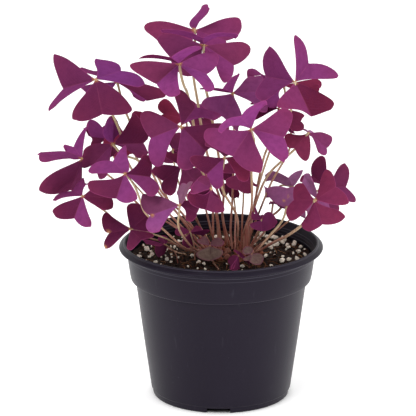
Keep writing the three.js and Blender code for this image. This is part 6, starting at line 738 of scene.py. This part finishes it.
for kind, number, hub, leaflets, radius, stations in LEAVES:
    key = ("" if kind == "pair" else "s") + number
    hub = np.array(hub, float)
    seed = 1000 + int(number) + (0 if kind == "pair" else 500)
    rng = np.random.default_rng(seed)
    tones_with_painted_light = TONES_WITH_PAINTED_LIGHT.get(key, [(0.0, 0.0)] * 3)
    size = max(np.linalg.norm(l[0]) for l in leaflets)
    b = Build("along", "across", "edge", "tone", "under", "warm", "cool", "pale", "age", "spot")
    warm = WARM.get(key, (0, 0, 0))
    age = AGE.get(key, (0, 0, 0))
    pale = PALE_WITH_PAINTED_LIGHT.get(key, (0, 0, 0))
    cool = COOL.get(key, (0, 0, 0))
    for k, data in enumerate(leaflets):
        tone = tuple(x + rng.uniform(-0.08, 0.08) for x in tones_with_painted_light[k])
        leaflet(b, data, hub, tone, seed * 7 + k, warm=warm[k], cool=cool[k], pale=pale[k], age=age[k], spots=SPOTS.get(key, ()))
    # the small swollen joint that the three leaflets meet at
    stalk_path = catmull(stations, 4)
    d = np.r_[0, np.cumsum(np.linalg.norm(np.diff(stalk_path, axis=0), axis=1))]
    total = d[-1]
    steps = max(14, int(total / 3.4))
    # stations crowd towards the hub for its swelling
    w = np.concatenate([[0, 0.5, 1.0, 1.7, 2.5, 3.6, 5.0], np.linspace(7.0, total, steps)]) if total > 12 else np.linspace(0, total, 14)
    path = np.stack([np.interp(w, d, stalk_path[:, i]) for i in range(3)], 1)
    small = 0.72 if size < 16 else 1.0
    swell = 1 + 0.32 * np.exp(-((w - 1.2) / 1.5) ** 2)
    r = radius * (1.0 if kind == "pair" else 0.9) * swell * np.interp(w, [0, total * 0.6, total], [0.93, 0.95, 0.88])
    r[0] *= 0.62
    r[1] *= 0.90
    lift = (path[0] - path[1]) / (np.linalg.norm(path[0] - path[1]) + 1e-9)
    path[0] += lift * 0.9 * small
    path[1] += lift * 0.35 * small
    # the foot runs down into the crown or the mix
    end = path[-1]
    tan = path[-1] - path[-2]
    tan /= np.linalg.norm(tan)
    tan[2] = min(tan[2], -0.35)
    tan /= np.linalg.norm(tan)
    floor = float(soil_height(end[0], end[1]))
    go = max(0.5, (end[2] - (floor - 2.2)) / -tan[2])
    extra = [end + tan * go * q for q in (0.5, 1.0)]
    path = np.vstack([path, extra])
    r = np.r_[r, r[-1] * 1.03, r[-1] * 0.95]
    sides = 10 if kind == "pair" else 8
    tv, tf, share = tube(path, r, sides)
    values = dict(down=share, pink=PINK.get(key, 0.0), rnd=float(rng.uniform(0, 1)))
    if kind == "pair":
        blade = b.make("leaf_%s_blade_fine" % number, [LEAF])
        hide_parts("leaf_%s_blade" % number)
        s = Build("down", "pink", "rnd")
        s.add(tv, tf, **values)
        stem = s.make("leaf_%s_stem_fine" % number, [STALK])
        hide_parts("leaf_%s_stem" % number)
    else:
        b.names = b.names + ("down", "pink", "rnd")
        n0 = b.count
        for k in ("down", "pink", "rnd"):
            b.a[k] = [np.zeros(n0)]
        b.add(tv, tf, mat=1, **values)
        whole = b.make("small_leaf_%s_fine" % number, [LEAF, STALK])
        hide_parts("small_leaf_%s" % number)


# ---------------------------------------------------------------- pot
def rounded(profile, radius=0.5, least=9.0):
    """A profile with its sharper corners rounded."""
    out = []
    p = [np.array(q, float) for q in profile]
    for i, q in enumerate(p):
        if i in (0, len(p) - 1):
            out.append(q)
            continue
        a, b = p[i - 1] - q, p[i + 1] - q
        la, lb = np.linalg.norm(a), np.linalg.norm(b)
        turn = 180 - math.degrees(math.acos(np.clip(a @ b / la / lb, -1, 1)))
        if turn < least:
            out.append(q)
            continue
        k = min(radius, 0.42 * la, 0.42 * lb)
        s, e = q + a / la * k, q + b / lb * k
        for u in (0, 0.25, 0.5, 0.75, 1):
            out.append((1 - u) ** 2 * s + 2 * (1 - u) * u * q + u * u * e)
    return out


def lathe(profile, segments):
    """Closed profile in (r, z) turned about z; points with r = 0 become poles."""
    verts, rows = [], []
    for r, z in profile:
        if r < 1e-6:
            rows.append([len(verts)])
            verts.append((0, 0, z))
        else:
            rows.append(list(range(len(verts), len(verts) + segments)))
            for k in range(segments):
                a = 2 * math.pi * k / segments
                verts.append((r * math.cos(a), r * math.sin(a), z))
    faces = []
    for a, b in zip(rows, rows[1:]):
        for k in range(segments):
            k2 = (k + 1) % segments
            if len(a) == 1 and len(b) == 1:
                break
            if len(a) == 1:
                faces.append((a[0], b[k2], b[k]))
            elif len(b) == 1:
                faces.append((a[k], a[k2], b[0]))
            else:
                faces.append((a[k], a[k2], b[k2], b[k]))
    return verts, faces


OUTER = [
    (0, 0), (54.0, 0), (55.2, 0.5), (55.7, 2.0), (56.2, 4.9), (56.5, 5.25), (56.8, 5.6), (56.95, 6.3),
    (62.8, 47.6), (69.3, 96.6), (69.55, 97.25), (70.0, 97.5), (72.4, 97.75), (72.95, 98.1), (73.2, 98.8), (73.9, 102.0), (75.3, 112.0),
    (76.1, 119.4), (76.3, 120.9), (77.1, 121.6), (81.8, 122.9), (82.5, 123.4), (82.65, 123.9), (82.3, 124.7),
    (80.3, 126.45), (79.9, 126.6), (79.45, 126.62), (79.1, 127.3), (78.5, 127.8),
]
INNER = [
    (77.7, 127.72), (77.35, 127.2), (77.0, 126.2), (75.2, 120.4), (74.75, 119.2), (74.6, 117.4), (74.25, 117.2), (74.2, 116.0),
    (74.4, 115.8), (74.1, 112.0), (72.5, 101.5), (71.8, 99.8), (68.0, 98.3), (67.8, 96.0), (61.5, 47.6), (55.6, 6.0), (54.4, 1.8), (0, 1.8),
]


def booled(ob, cutters, op="DIFFERENCE"):
    for c in cutters:
        md = ob.modifiers.new("cut", "BOOLEAN")
        md.operation = op
        md.object = c
        md.solver = "EXACT"
    dg = bpy.context.evaluated_depsgraph_get()
    me = bpy.data.meshes.new_from_object(ob.evaluated_get(dg))
    ob.modifiers.clear()
    old = ob.data
    ob.data = me
    bpy.data.meshes.remove(old)
    for c in cutters:
        bpy.data.objects.remove(c)


def temp(name, verts, faces):
    me = bpy.data.meshes.new(name)
    me.from_pydata([tuple(float(x) * MM for x in v) for v in verts], [], [tuple(f) for f in faces])
    me.validate()
    bm = bmesh.new()
    bm.from_mesh(me)
    bmesh.ops.recalc_face_normals(bm, faces=bm.faces)
    bm.to_mesh(me)
    bm.free()
    ob = bpy.data.objects.new(name, me)
    bpy.context.scene.collection.objects.link(ob)
    return ob


def box_at(azimuth, r0, r1, width, z0, z1):
    c, s = math.cos(math.radians(azimuth)), math.sin(math.radians(azimuth))
    pts = [
        (r * c - w * s, r * s + w * c, z)
        for z in (z0, z1)
        for r, w in ((r0, -width / 2), (r1, -width / 2), (r1, width / 2), (r0, width / 2))
    ]
    return temp("cut", pts, [(0, 3, 2, 1), (4, 5, 6, 7), (0, 1, 5, 4), (1, 2, 6, 5), (2, 3, 7, 6), (3, 0, 4, 7)])


def roof_at(azimuth):
    """The block round a drain channel; its outer face keeps just inside the foot's own wall."""
    c, s = math.cos(math.radians(azimuth)), math.sin(math.radians(azimuth))
    pts, rows = [], []
    widths = np.linspace(-11.0, 11.0, 9)
    for z, radius in ((0.5, 55.2), (2.0, 55.7), (4.9, 56.2), (5.6, 56.7)):
        line = [(29.5, w) for w in widths[::-1]] + [(math.sqrt((radius - 0.35) ** 2 - w * w), w) for w in widths]
        rows.append([len(pts) + k for k in range(len(line))])
        pts += [(r * c - w * s, r * s + w * c, z) for r, w in line]
    faces = [tuple(reversed(rows[0])), tuple(rows[-1])]
    for a, b in zip(rows, rows[1:]):
        for k in range(len(a)):
            k2 = (k + 1) % len(a)
            faces.append((a[k], a[k2], b[k2], b[k]))
    return temp("roof", pts, faces)


def cylinder_at(azimuth, r, radius, z0, z1, n=24):
    c, s = math.cos(math.radians(azimuth)), math.sin(math.radians(azimuth))
    pts = [
        (r * c + radius * math.cos(2 * math.pi * k / n), r * s + radius * math.sin(2 * math.pi * k / n), z)
        for z in (z0, z1)
        for k in range(n)
    ]
    faces = [tuple(range(n - 1, -1, -1)), tuple(range(n, 2 * n))]
    faces += [(k, (k + 1) % n, n + (k + 1) % n, n + k) for k in range(n)]
    return temp("cut", pts, faces)


def make_pot():
    v, f = lathe(rounded(OUTER, 0.45) + rounded(INNER, 0.45), 144)
    pot = temp("pot_fine", v, f)
    azimuths = (-92.2, -2.2, 87.8, 177.8)
    booled(pot, [roof_at(a) for a in azimuths], "UNION")
    cuts = [box_at(a, 31, 60, 19.0, -1, 4.1) for a in azimuths]
    cuts += [cylinder_at(a, 41, 4.5, 1, 9) for a in azimuths]
    booled(pot, cuts)
    me = pot.data
    me.polygons.foreach_set("use_smooth", np.ones(len(me.polygons), bool))
    me.set_sharp_from_angle(angle=math.radians(32))
    me.materials.clear()
    me.materials.append(POT)
    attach(pot, "root")
    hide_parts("pot")
    return pot


make_pot()


# ---------------------------------------------------------------- potting mix
def fbm(x, y, z, scale, octaves=3):
    total, amp, f = 0.0, 1.0, 1.0 / scale
    for _ in range(octaves):
        total += amp * noise.noise(Vector((x * f, y * f, z * f)))
        amp *= 0.5
        f *= 2.03
    return total


def mix_top(x, y):
    r = math.hypot(x, y)
    z = float(soil_height(x, y))
    z += 0.9 * fbm(x, y, 3.1, 9.0) + 0.7 * fbm(x, y, 7.7, 3.1, 2)
    c = math.hypot(x - CROWN[0], y - CROWN[1])
    z -= 0.9 * math.exp(-((c / 26.0) ** 4))  # the mix dips round the bulbs
    z += 0.8 * max(0.0, (r - 66) / 7.0) ** 2  # a little climbs the wall
    return z


def make_soil():
    segments, rings = 200, 64
    verts, rows = [(0, 0, mix_top(0, 0))], [[0]]
    for i in range(1, rings + 1):
        r = 73.5 * i / rings
        row = []
        for k in range(segments):
            a = 2 * math.pi * k / segments
            x, y = r * math.cos(a), r * math.sin(a)
            row.append(len(verts))
            verts.append((x, y, min(mix_top(x, y), 117.6)))
        rows.append(row)
    for r, z in ((73.1, 108.0), (72.0, 101.7), (71.3, 100.2), (67.5, 98.6), (67.3, 96.1), (61.1, 48.0), (55.2, 6.6), (54.2, 6.0)):
        row = []
        for k in range(segments):
            a = 2 * math.pi * k / segments
            row.append(len(verts))
            verts.append((r * math.cos(a), r * math.sin(a), z))
        rows.append(row)
    rows.append([len(verts)])
    verts.append((0, 0, 6.0))
    faces = []
    for a, b in zip(rows, rows[1:]):
        for k in range(segments):
            k2 = (k + 1) % segments
            if len(a) == 1:
                faces.append((a[0], b[k], b[k2]))
            elif len(b) == 1:
                faces.append((a[k2], a[k], b[0]))
            else:
                faces.append((a[k], b[k], b[k2], a[k2]))
    ob = piece("soil_fine", verts, faces, [SOIL])
    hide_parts("soil")


make_soil()


def ico(level):
    bm = bmesh.new()
    bmesh.ops.create_icosphere(bm, subdivisions=level, radius=1.0)
    v = np.array([x.co[:] for x in bm.verts])
    f = [tuple(x.index for x in face.verts) for face in bm.faces]
    bm.free()
    return v, f


ICO1, ICO2, ICO3 = ico(1), ico(2), ico(3)


def turn(rng):
    q = rng.normal(size=4)
    q /= np.linalg.norm(q)
    w, x, y, z = q
    return np.array([
        [1 - 2 * (y * y + z * z), 2 * (x * y - z * w), 2 * (x * z + y * w)],
        [2 * (x * y + z * w), 1 - 2 * (x * x + z * z), 2 * (y * z - x * w)],
        [2 * (x * z - y * w), 2 * (y * z + x * w), 1 - 2 * (x * x + y * y)],
    ])


def lump(shape, size, rng, rough=0.35, flat=(1.0, 0.8, 0.6), flats=3):
    v, f = shape
    off = rng.uniform(-50, 50, 3)
    out = []
    for p in v:
        q = Vector(p * 1.3 + off)
        k = 1 + rough * noise.noise(q) + 0.5 * rough * noise.noise(q * 2.7)
        out.append(p * k)
    out = np.array(out) * np.array(flat) * size
    # a few flats, as on a broken grain
    for _ in range(flats):
        n = rng.normal(size=3)
        n /= np.linalg.norm(n)
        lim = size * rng.uniform(0.45, 0.75)
        h = out @ n
        out = out - np.outer(np.maximum(0, h - lim) * 0.8, n)
    return out @ turn(rng).T, f


def make_crumbs():
    rng = np.random.default_rng(41)
    b = Build("rnd")
    for i in range(1500):
        r = 72.0 * math.sqrt(rng.uniform())
        a = rng.uniform(0, 2 * math.pi)
        x, y = r * math.cos(a), r * math.sin(a)
        size = float(np.clip(rng.lognormal(-0.25, 0.5), 0.35, 2.3))
        if r + size > 73.2:
            continue
        v, f = lump(ICO1, size, rng, 0.5, (1.0, rng.uniform(0.5, 0.9), rng.uniform(0.35, 0.7)))
        z = mix_top(x, y)
        b.add(v + np.array([x, y, z + size * rng.uniform(-0.1, 0.35)]), f, rnd=float(rng.uniform() ** 1.3))
    ob = b.make("soil_crumbs", [CRUMB], smooth=False)


def make_fibres():
    rng = np.random.default_rng(77)
    b = Build("rnd")
    for i in range(420):
        r = 71.0 * math.sqrt(rng.uniform())
        a = rng.uniform(0, 2 * math.pi)
        x, y = r * math.cos(a), r * math.sin(a)
        length = float(rng.uniform(4, 15))
        head = rng.uniform(0, 2 * math.pi)
        bend = rng.uniform(-0.16, 0.16)
        pts = []
        n = 9
        px, py = x, y
        for k in range(n):
            q = k / (n - 1)
            lim = math.hypot(px, py)
            if lim > 71.6:
                px, py = px * 71.6 / lim, py * 71.6 / lim
            pts.append((px, py, mix_top(px, py) + 0.1 + 1.5 * math.sin(math.pi * q) * rng.uniform(0.2, 0.8)))
            head += bend + rng.uniform(-0.12, 0.12)
            px += math.cos(head) * length / n
            py += math.sin(head) * length / n
        pts = np.array(pts)
        pts[0, 2] -= 0.7
        pts[-1, 2] -= 0.7
        rad = float(rng.uniform(0.12, 0.42))
        v, f, _ = tube(pts, rad * (1 - 0.5 * np.linspace(-1, 1, n) ** 2), 5)
        b.add(v, f, rnd=float(rng.uniform()))
    ob = b.make("soil_fibres", [FIBRE])


# perlite grains: where the picture shows them, with their size in mm
GRAINS = [
    (269, 245, 2.6), (273, 246, 3.2), (277, 244.5, 2.4), (271, 248.5, 1.9), (265.7, 244, 1.7), (289.6, 239, 2.7), (304, 243, 2.1),
    (299, 252, 2.1), (282.6, 243, 2.5), (289, 248, 1.9), (282, 261, 2.7), (289, 259.5, 2.3), (297, 259, 2.3), (265.7, 255, 1.7),
    (276, 235, 2.2), (274, 238, 2.4), (280, 237, 1.7), (263, 235, 2.7), (267, 236, 2.0), (255, 243.5, 1.6), (147, 249.5, 2.3),
    (152, 255.5, 2.0), (149, 257, 1.6), (165, 251, 1.9), (167, 259, 1.6), (155, 262, 1.7), (178, 258, 1.3), (199, 262, 1.8),
    (203.5, 263.5, 1.5), (197.5, 268.5, 1.1), (205, 269.5, 1.2), (242, 267, 1.6), (226, 264.5, 1.2), (271, 265.5, 1.4), (286, 249, 1.2),
    (143, 246, 1.2), (171, 262, 1.1), (259, 238, 1.5), (295, 245, 1.1), (308, 250, 0.9), (161, 257, 1.0), (188, 266, 1.0),
]


def make_perlite():
    rng = np.random.default_rng(5)
    b = Build("rnd")
    taken = []
    for px, py, size in GRAINS:
        p = on_soil(px, py, 0.5)
        taken.append((p[0], p[1]))
        size *= 1.18
        v, f = lump(ICO2 if size < 1.5 else ICO3, size, rng, 0.62, (1.0, rng.uniform(0.7, 0.95), rng.uniform(0.55, 0.85)), 7)
        x, y = p[0], p[1]
        k = math.hypot(x, y)
        if k + size > 72.2:
            x, y = x * (72.2 - size) / k, y * (72.2 - size) / k
        b.add(v + np.array([x, y, mix_top(x, y) + size * 0.35]), f, rnd=float(rng.uniform()))
    count = 0
    while count < 64:
        r = 70.5 * math.sqrt(rng.uniform())
        a = rng.uniform(0, 2 * math.pi)
        x, y = r * math.cos(a), r * math.sin(a)
        size = float(rng.uniform(0.7, 2.4))
        if y < -2 and x < 62 and size > 1.1:
            continue  # the front is laid out above
        if math.hypot(x - CROWN[0], y - CROWN[1]) < 30:
            continue
        v, f = lump(ICO2, size, rng, 0.42, (1.0, rng.uniform(0.7, 0.95), rng.uniform(0.55, 0.85)))
        b.add(v + np.array([x, y, mix_top(x, y) + size * 0.25]), f, rnd=float(rng.uniform()))
        count += 1
    ob = b.make("soil_perlite", [PERLITE], smooth=False)


make_crumbs()
make_fibres()
make_perlite()


# ---------------------------------------------------------------- crown of small scaly bulbs
def make_crown():
    rng = np.random.default_rng(19)
    b = Build("rnd")
    spots = []
    tries = 0
    while len(spots) < 34 and tries < 4000:
        tries += 1
        r, a = 25.0 * math.sqrt(rng.uniform()), rng.uniform(0, 2 * math.pi)
        p = np.array([CROWN[0] + r * math.cos(a), CROWN[1] + r * math.sin(a)])
        if all(np.hypot(*(p - q)) > 6.2 for q in spots):
            spots.append(p)
    for p in spots:
        rad = rng.uniform(3.0, 4.2)
        high = rng.uniform(8.5, 10.5)
        lean = rng.uniform(-0.2, 0.2, 2)
        rings, seg = 14, 20
        verts, rows = [], []
        base = 108.6
        tw = rng.uniform(0, 6.28)
        for i in range(rings + 1):
            q = i / rings
            z = base + high * q
            # overlapping scales: each tier steps in above the one below it
            tier = (q * 4.2) % 1.0
            prof = math.sin(math.pi * min(0.98, 0.10 + 0.86 * q)) ** 0.6
            rr = rad * prof * (1.06 - 0.16 * tier)
            row = []
            for k in range(seg):
                a = 2 * math.pi * k / seg
                lobe = 1 + 0.05 * math.cos(5 * a + tw + int(q * 4.2) * 0.63)
                row.append(len(verts))
                verts.append((p[0] + lean[0] * (z - base) + rr * lobe * math.cos(a), p[1] + lean[1] * (z - base) + rr * lobe * math.sin(a), z))
            rows.append(row)
        faces = []
        for a_, b_ in zip(rows, rows[1:]):
            for k in range(seg):
                k2 = (k + 1) % seg
                faces.append((a_[k], a_[k2], b_[k2], b_[k]))
        faces.append(tuple(reversed(rows[0])))
        faces.append(tuple(rows[-1]))
        b.add(verts, faces, rnd=float(rng.uniform()))
    # short dry leaf bases stand between the bulbs
    for i in range(60):
        r, a = 24.0 * math.sqrt(rng.uniform()), rng.uniform(0, 2 * math.pi)
        x, y = CROWN[0] + r * math.cos(a), CROWN[1] + r * math.sin(a)
        h = rng.uniform(2.5, 8.0)
        out = np.array([math.cos(a), math.sin(a)]) * rng.uniform(0.0, 0.5)
        pts = [(x + out[0] * h * q, y + out[1] * h * q, 113.0 + (h + 1.0) * q) for q in np.linspace(0, 1, 6)]
        v, f, _ = tube(pts, np.linspace(0.8, 0.22, 6) * rng.uniform(0.7, 1.1), 6)
        b.add(v, f, rnd=float(rng.uniform(0.3, 1.0)))
    ob = b.make("crown_fine", [BULB])
    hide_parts("crown")


make_crown()


# ---------------------------------------------------------------- dry stalks lying on the mix
def lying(name, pixels, rad, above=0.7):
    pts = []
    for px, py in pixels:
        p = on_soil(px, py, above)
        pts.append((p[0], p[1], mix_top(p[0], p[1]) + above))
    pts = catmull(pts, 6)
    pts[0, 2] -= 1.0
    pts[-1, 2] -= 1.0
    v, f, share = tube(pts, np.full(len(pts), rad) * np.linspace(1.0, 0.75, len(pts)), 8)
    s = Build("down", "pink", "rnd")
    s.add(v, f, down=0.3 + 0.5 * share, pink=0.3, rnd=0.6)
    ob = s.make(name, [STALK])


lying("dry_stalk_1", [(211, 260), (215, 265), (218.5, 268.5)], 0.62)
lying("dry_stalk_2", [(186, 254), (178, 253), (170, 249.5), (165, 247)], 0.70)



def in_plane(px, py, y):
    """The point that far back that shows at that place in the 416 px picture, in mm."""
    a, b = on_level(px, py, 100.0), on_level(px, py, 160.0)
    return a + (b - a) * ((y - a[1]) / (b[1] - a[1]))


def folded(name, stations, y):
    """A young leaf, still rolled up, with three folds along it."""
    sides = 18
    pts = catmull([in_plane(px, py, y) for px, py, r in stations], 5)
    rad = np.interp(np.linspace(0, 1, len(pts)), np.linspace(0, 1, len(stations)), [r for px, py, r in stations])
    v, f, share = tube(pts, rad, sides)
    for i in range(len(pts)):
        for k in range(sides):
            j = i * sides + k
            v[j] = pts[i] + (v[j] - pts[i]) * (1 + 0.2 * math.cos(3 * (2 * math.pi * k / sides + 0.03 * i)))
    s = Build("down", "pink", "rnd")
    s.add(v, f, down=0.9, pink=1.0, rnd=0.0)
    ob = s.make(name, [STALK])


folded("young_leaf_1", [(244.6, 259, 0.9), (245.0, 252, 1.1), (245.6, 245, 2.0), (246.6, 236, 2.4), (248.0, 228, 1.7), (249.8, 222, 0.45)], -1.0)

# ---------------------------------------------------------------- floor, light
floor_mat = Mat("floor_paper", Specular_IOR_Level=0.2)
fn = floor_mat.noise(6.0, 2.0, 0.5)
floor_mat.set("Base Color", floor_mat.ramp(fn, [(0.3, (0.90, 0.90, 0.90, 1)), (0.7, (0.92, 0.92, 0.92, 1))]))
floor_mat.b.inputs["Roughness"].default_value = 0.8
floor_mat.b.inputs["Emission Color"].default_value = (1, 1, 1, 1)
fx = floor_mat.t.nodes.new("ShaderNodeVectorMath")
fx.operation = "LENGTH"
floor_mat.t.links.new(floor_mat.coords(), fx.inputs[0])
# the floor glows faintly to stay white, but not beneath the pot; there its colour is darkened to near black: a painted
# shadow that shows through the drain channels
floor_mat.set("Emission Strength", floor_mat.remap(fx.outputs["Value"], 0.049, 0.062, 0.0, 0.40))
floor_mat.set("Base Color", floor_mat.mix(floor_mat.remap(fx.outputs["Value"], 0.054, 0.046), floor_mat.ramp(fn, [(0.3, (0.90, 0.90, 0.90, 1)), (0.7, (0.92, 0.92, 0.92, 1))]), (0.10, 0.10, 0.10, 1)))
me = bpy.data.meshes.new("floor")
me.from_pydata([(-9, -9, 0), (9, -9, 0), (9, 9, 0), (-9, 9, 0)], [], [(0, 1, 2, 3)])
me.materials.append(floor_mat.m)
floor = bpy.data.objects.new("floor", me)
bpy.context.scene.collection.objects.link(floor)

world = bpy.data.worlds.new("world")
bpy.context.scene.world = world
world.use_nodes = True
bg = world.node_tree.nodes["Background"]
bg.inputs["Color"].default_value = (1.0, 1.0, 1.0, 1)
# the room is dimmer in front of the plant than beside and behind it
wt = world.node_tree
way = wt.nodes.new("ShaderNodeTexCoord")
front = wt.nodes.new("ShaderNodeVectorMath")
front.operation = "DOT_PRODUCT"
front.inputs[1].default_value = (0.0, -1.0, 0.0)
wt.links.new(way.outputs["Generated"], front.inputs[0])
dim = wt.nodes.new("ShaderNodeMapRange")
dim.interpolation_type = "SMOOTHSTEP"
for k, x in (("From Min", 0.1), ("From Max", 0.95), ("To Min", 0.95), ("To Max", 0.50)):
    dim.inputs[k].default_value = x
wt.links.new(front.outputs["Value"], dim.inputs["Value"])
wt.links.new(dim.outputs["Result"], bg.inputs["Strength"])


def area(name, at, look, size, power, colour=(1, 1, 1)):
    d = bpy.data.lights.new(name, "AREA")
    d.shape = "SQUARE"
    d.size = size
    d.energy = power
    d.color = colour
    o = bpy.data.objects.new(name, d)
    bpy.context.scene.collection.objects.link(o)
    o.location = at
    o.rotation_euler = (Vector(look) - Vector(at)).to_track_quat("-Z", "Y").to_euler()
    return o


area("key", (-0.9, -1.3, 1.9), (0, 0, 0.2), 1.1, 16.0)
area("fill", (1.5, -0.9, 1.0), (0, 0, 0.2), 1.2, 6.0)
area("back", (0.4, 1.6, 1.5), (0, 0, 0.25), 1.2, 3.0)

scene = bpy.context.scene
scene.view_settings.view_transform = "Standard"
scene.view_settings.look = "None"
scene.view_settings.exposure = 0.0
scene.view_settings.gamma = 1.0
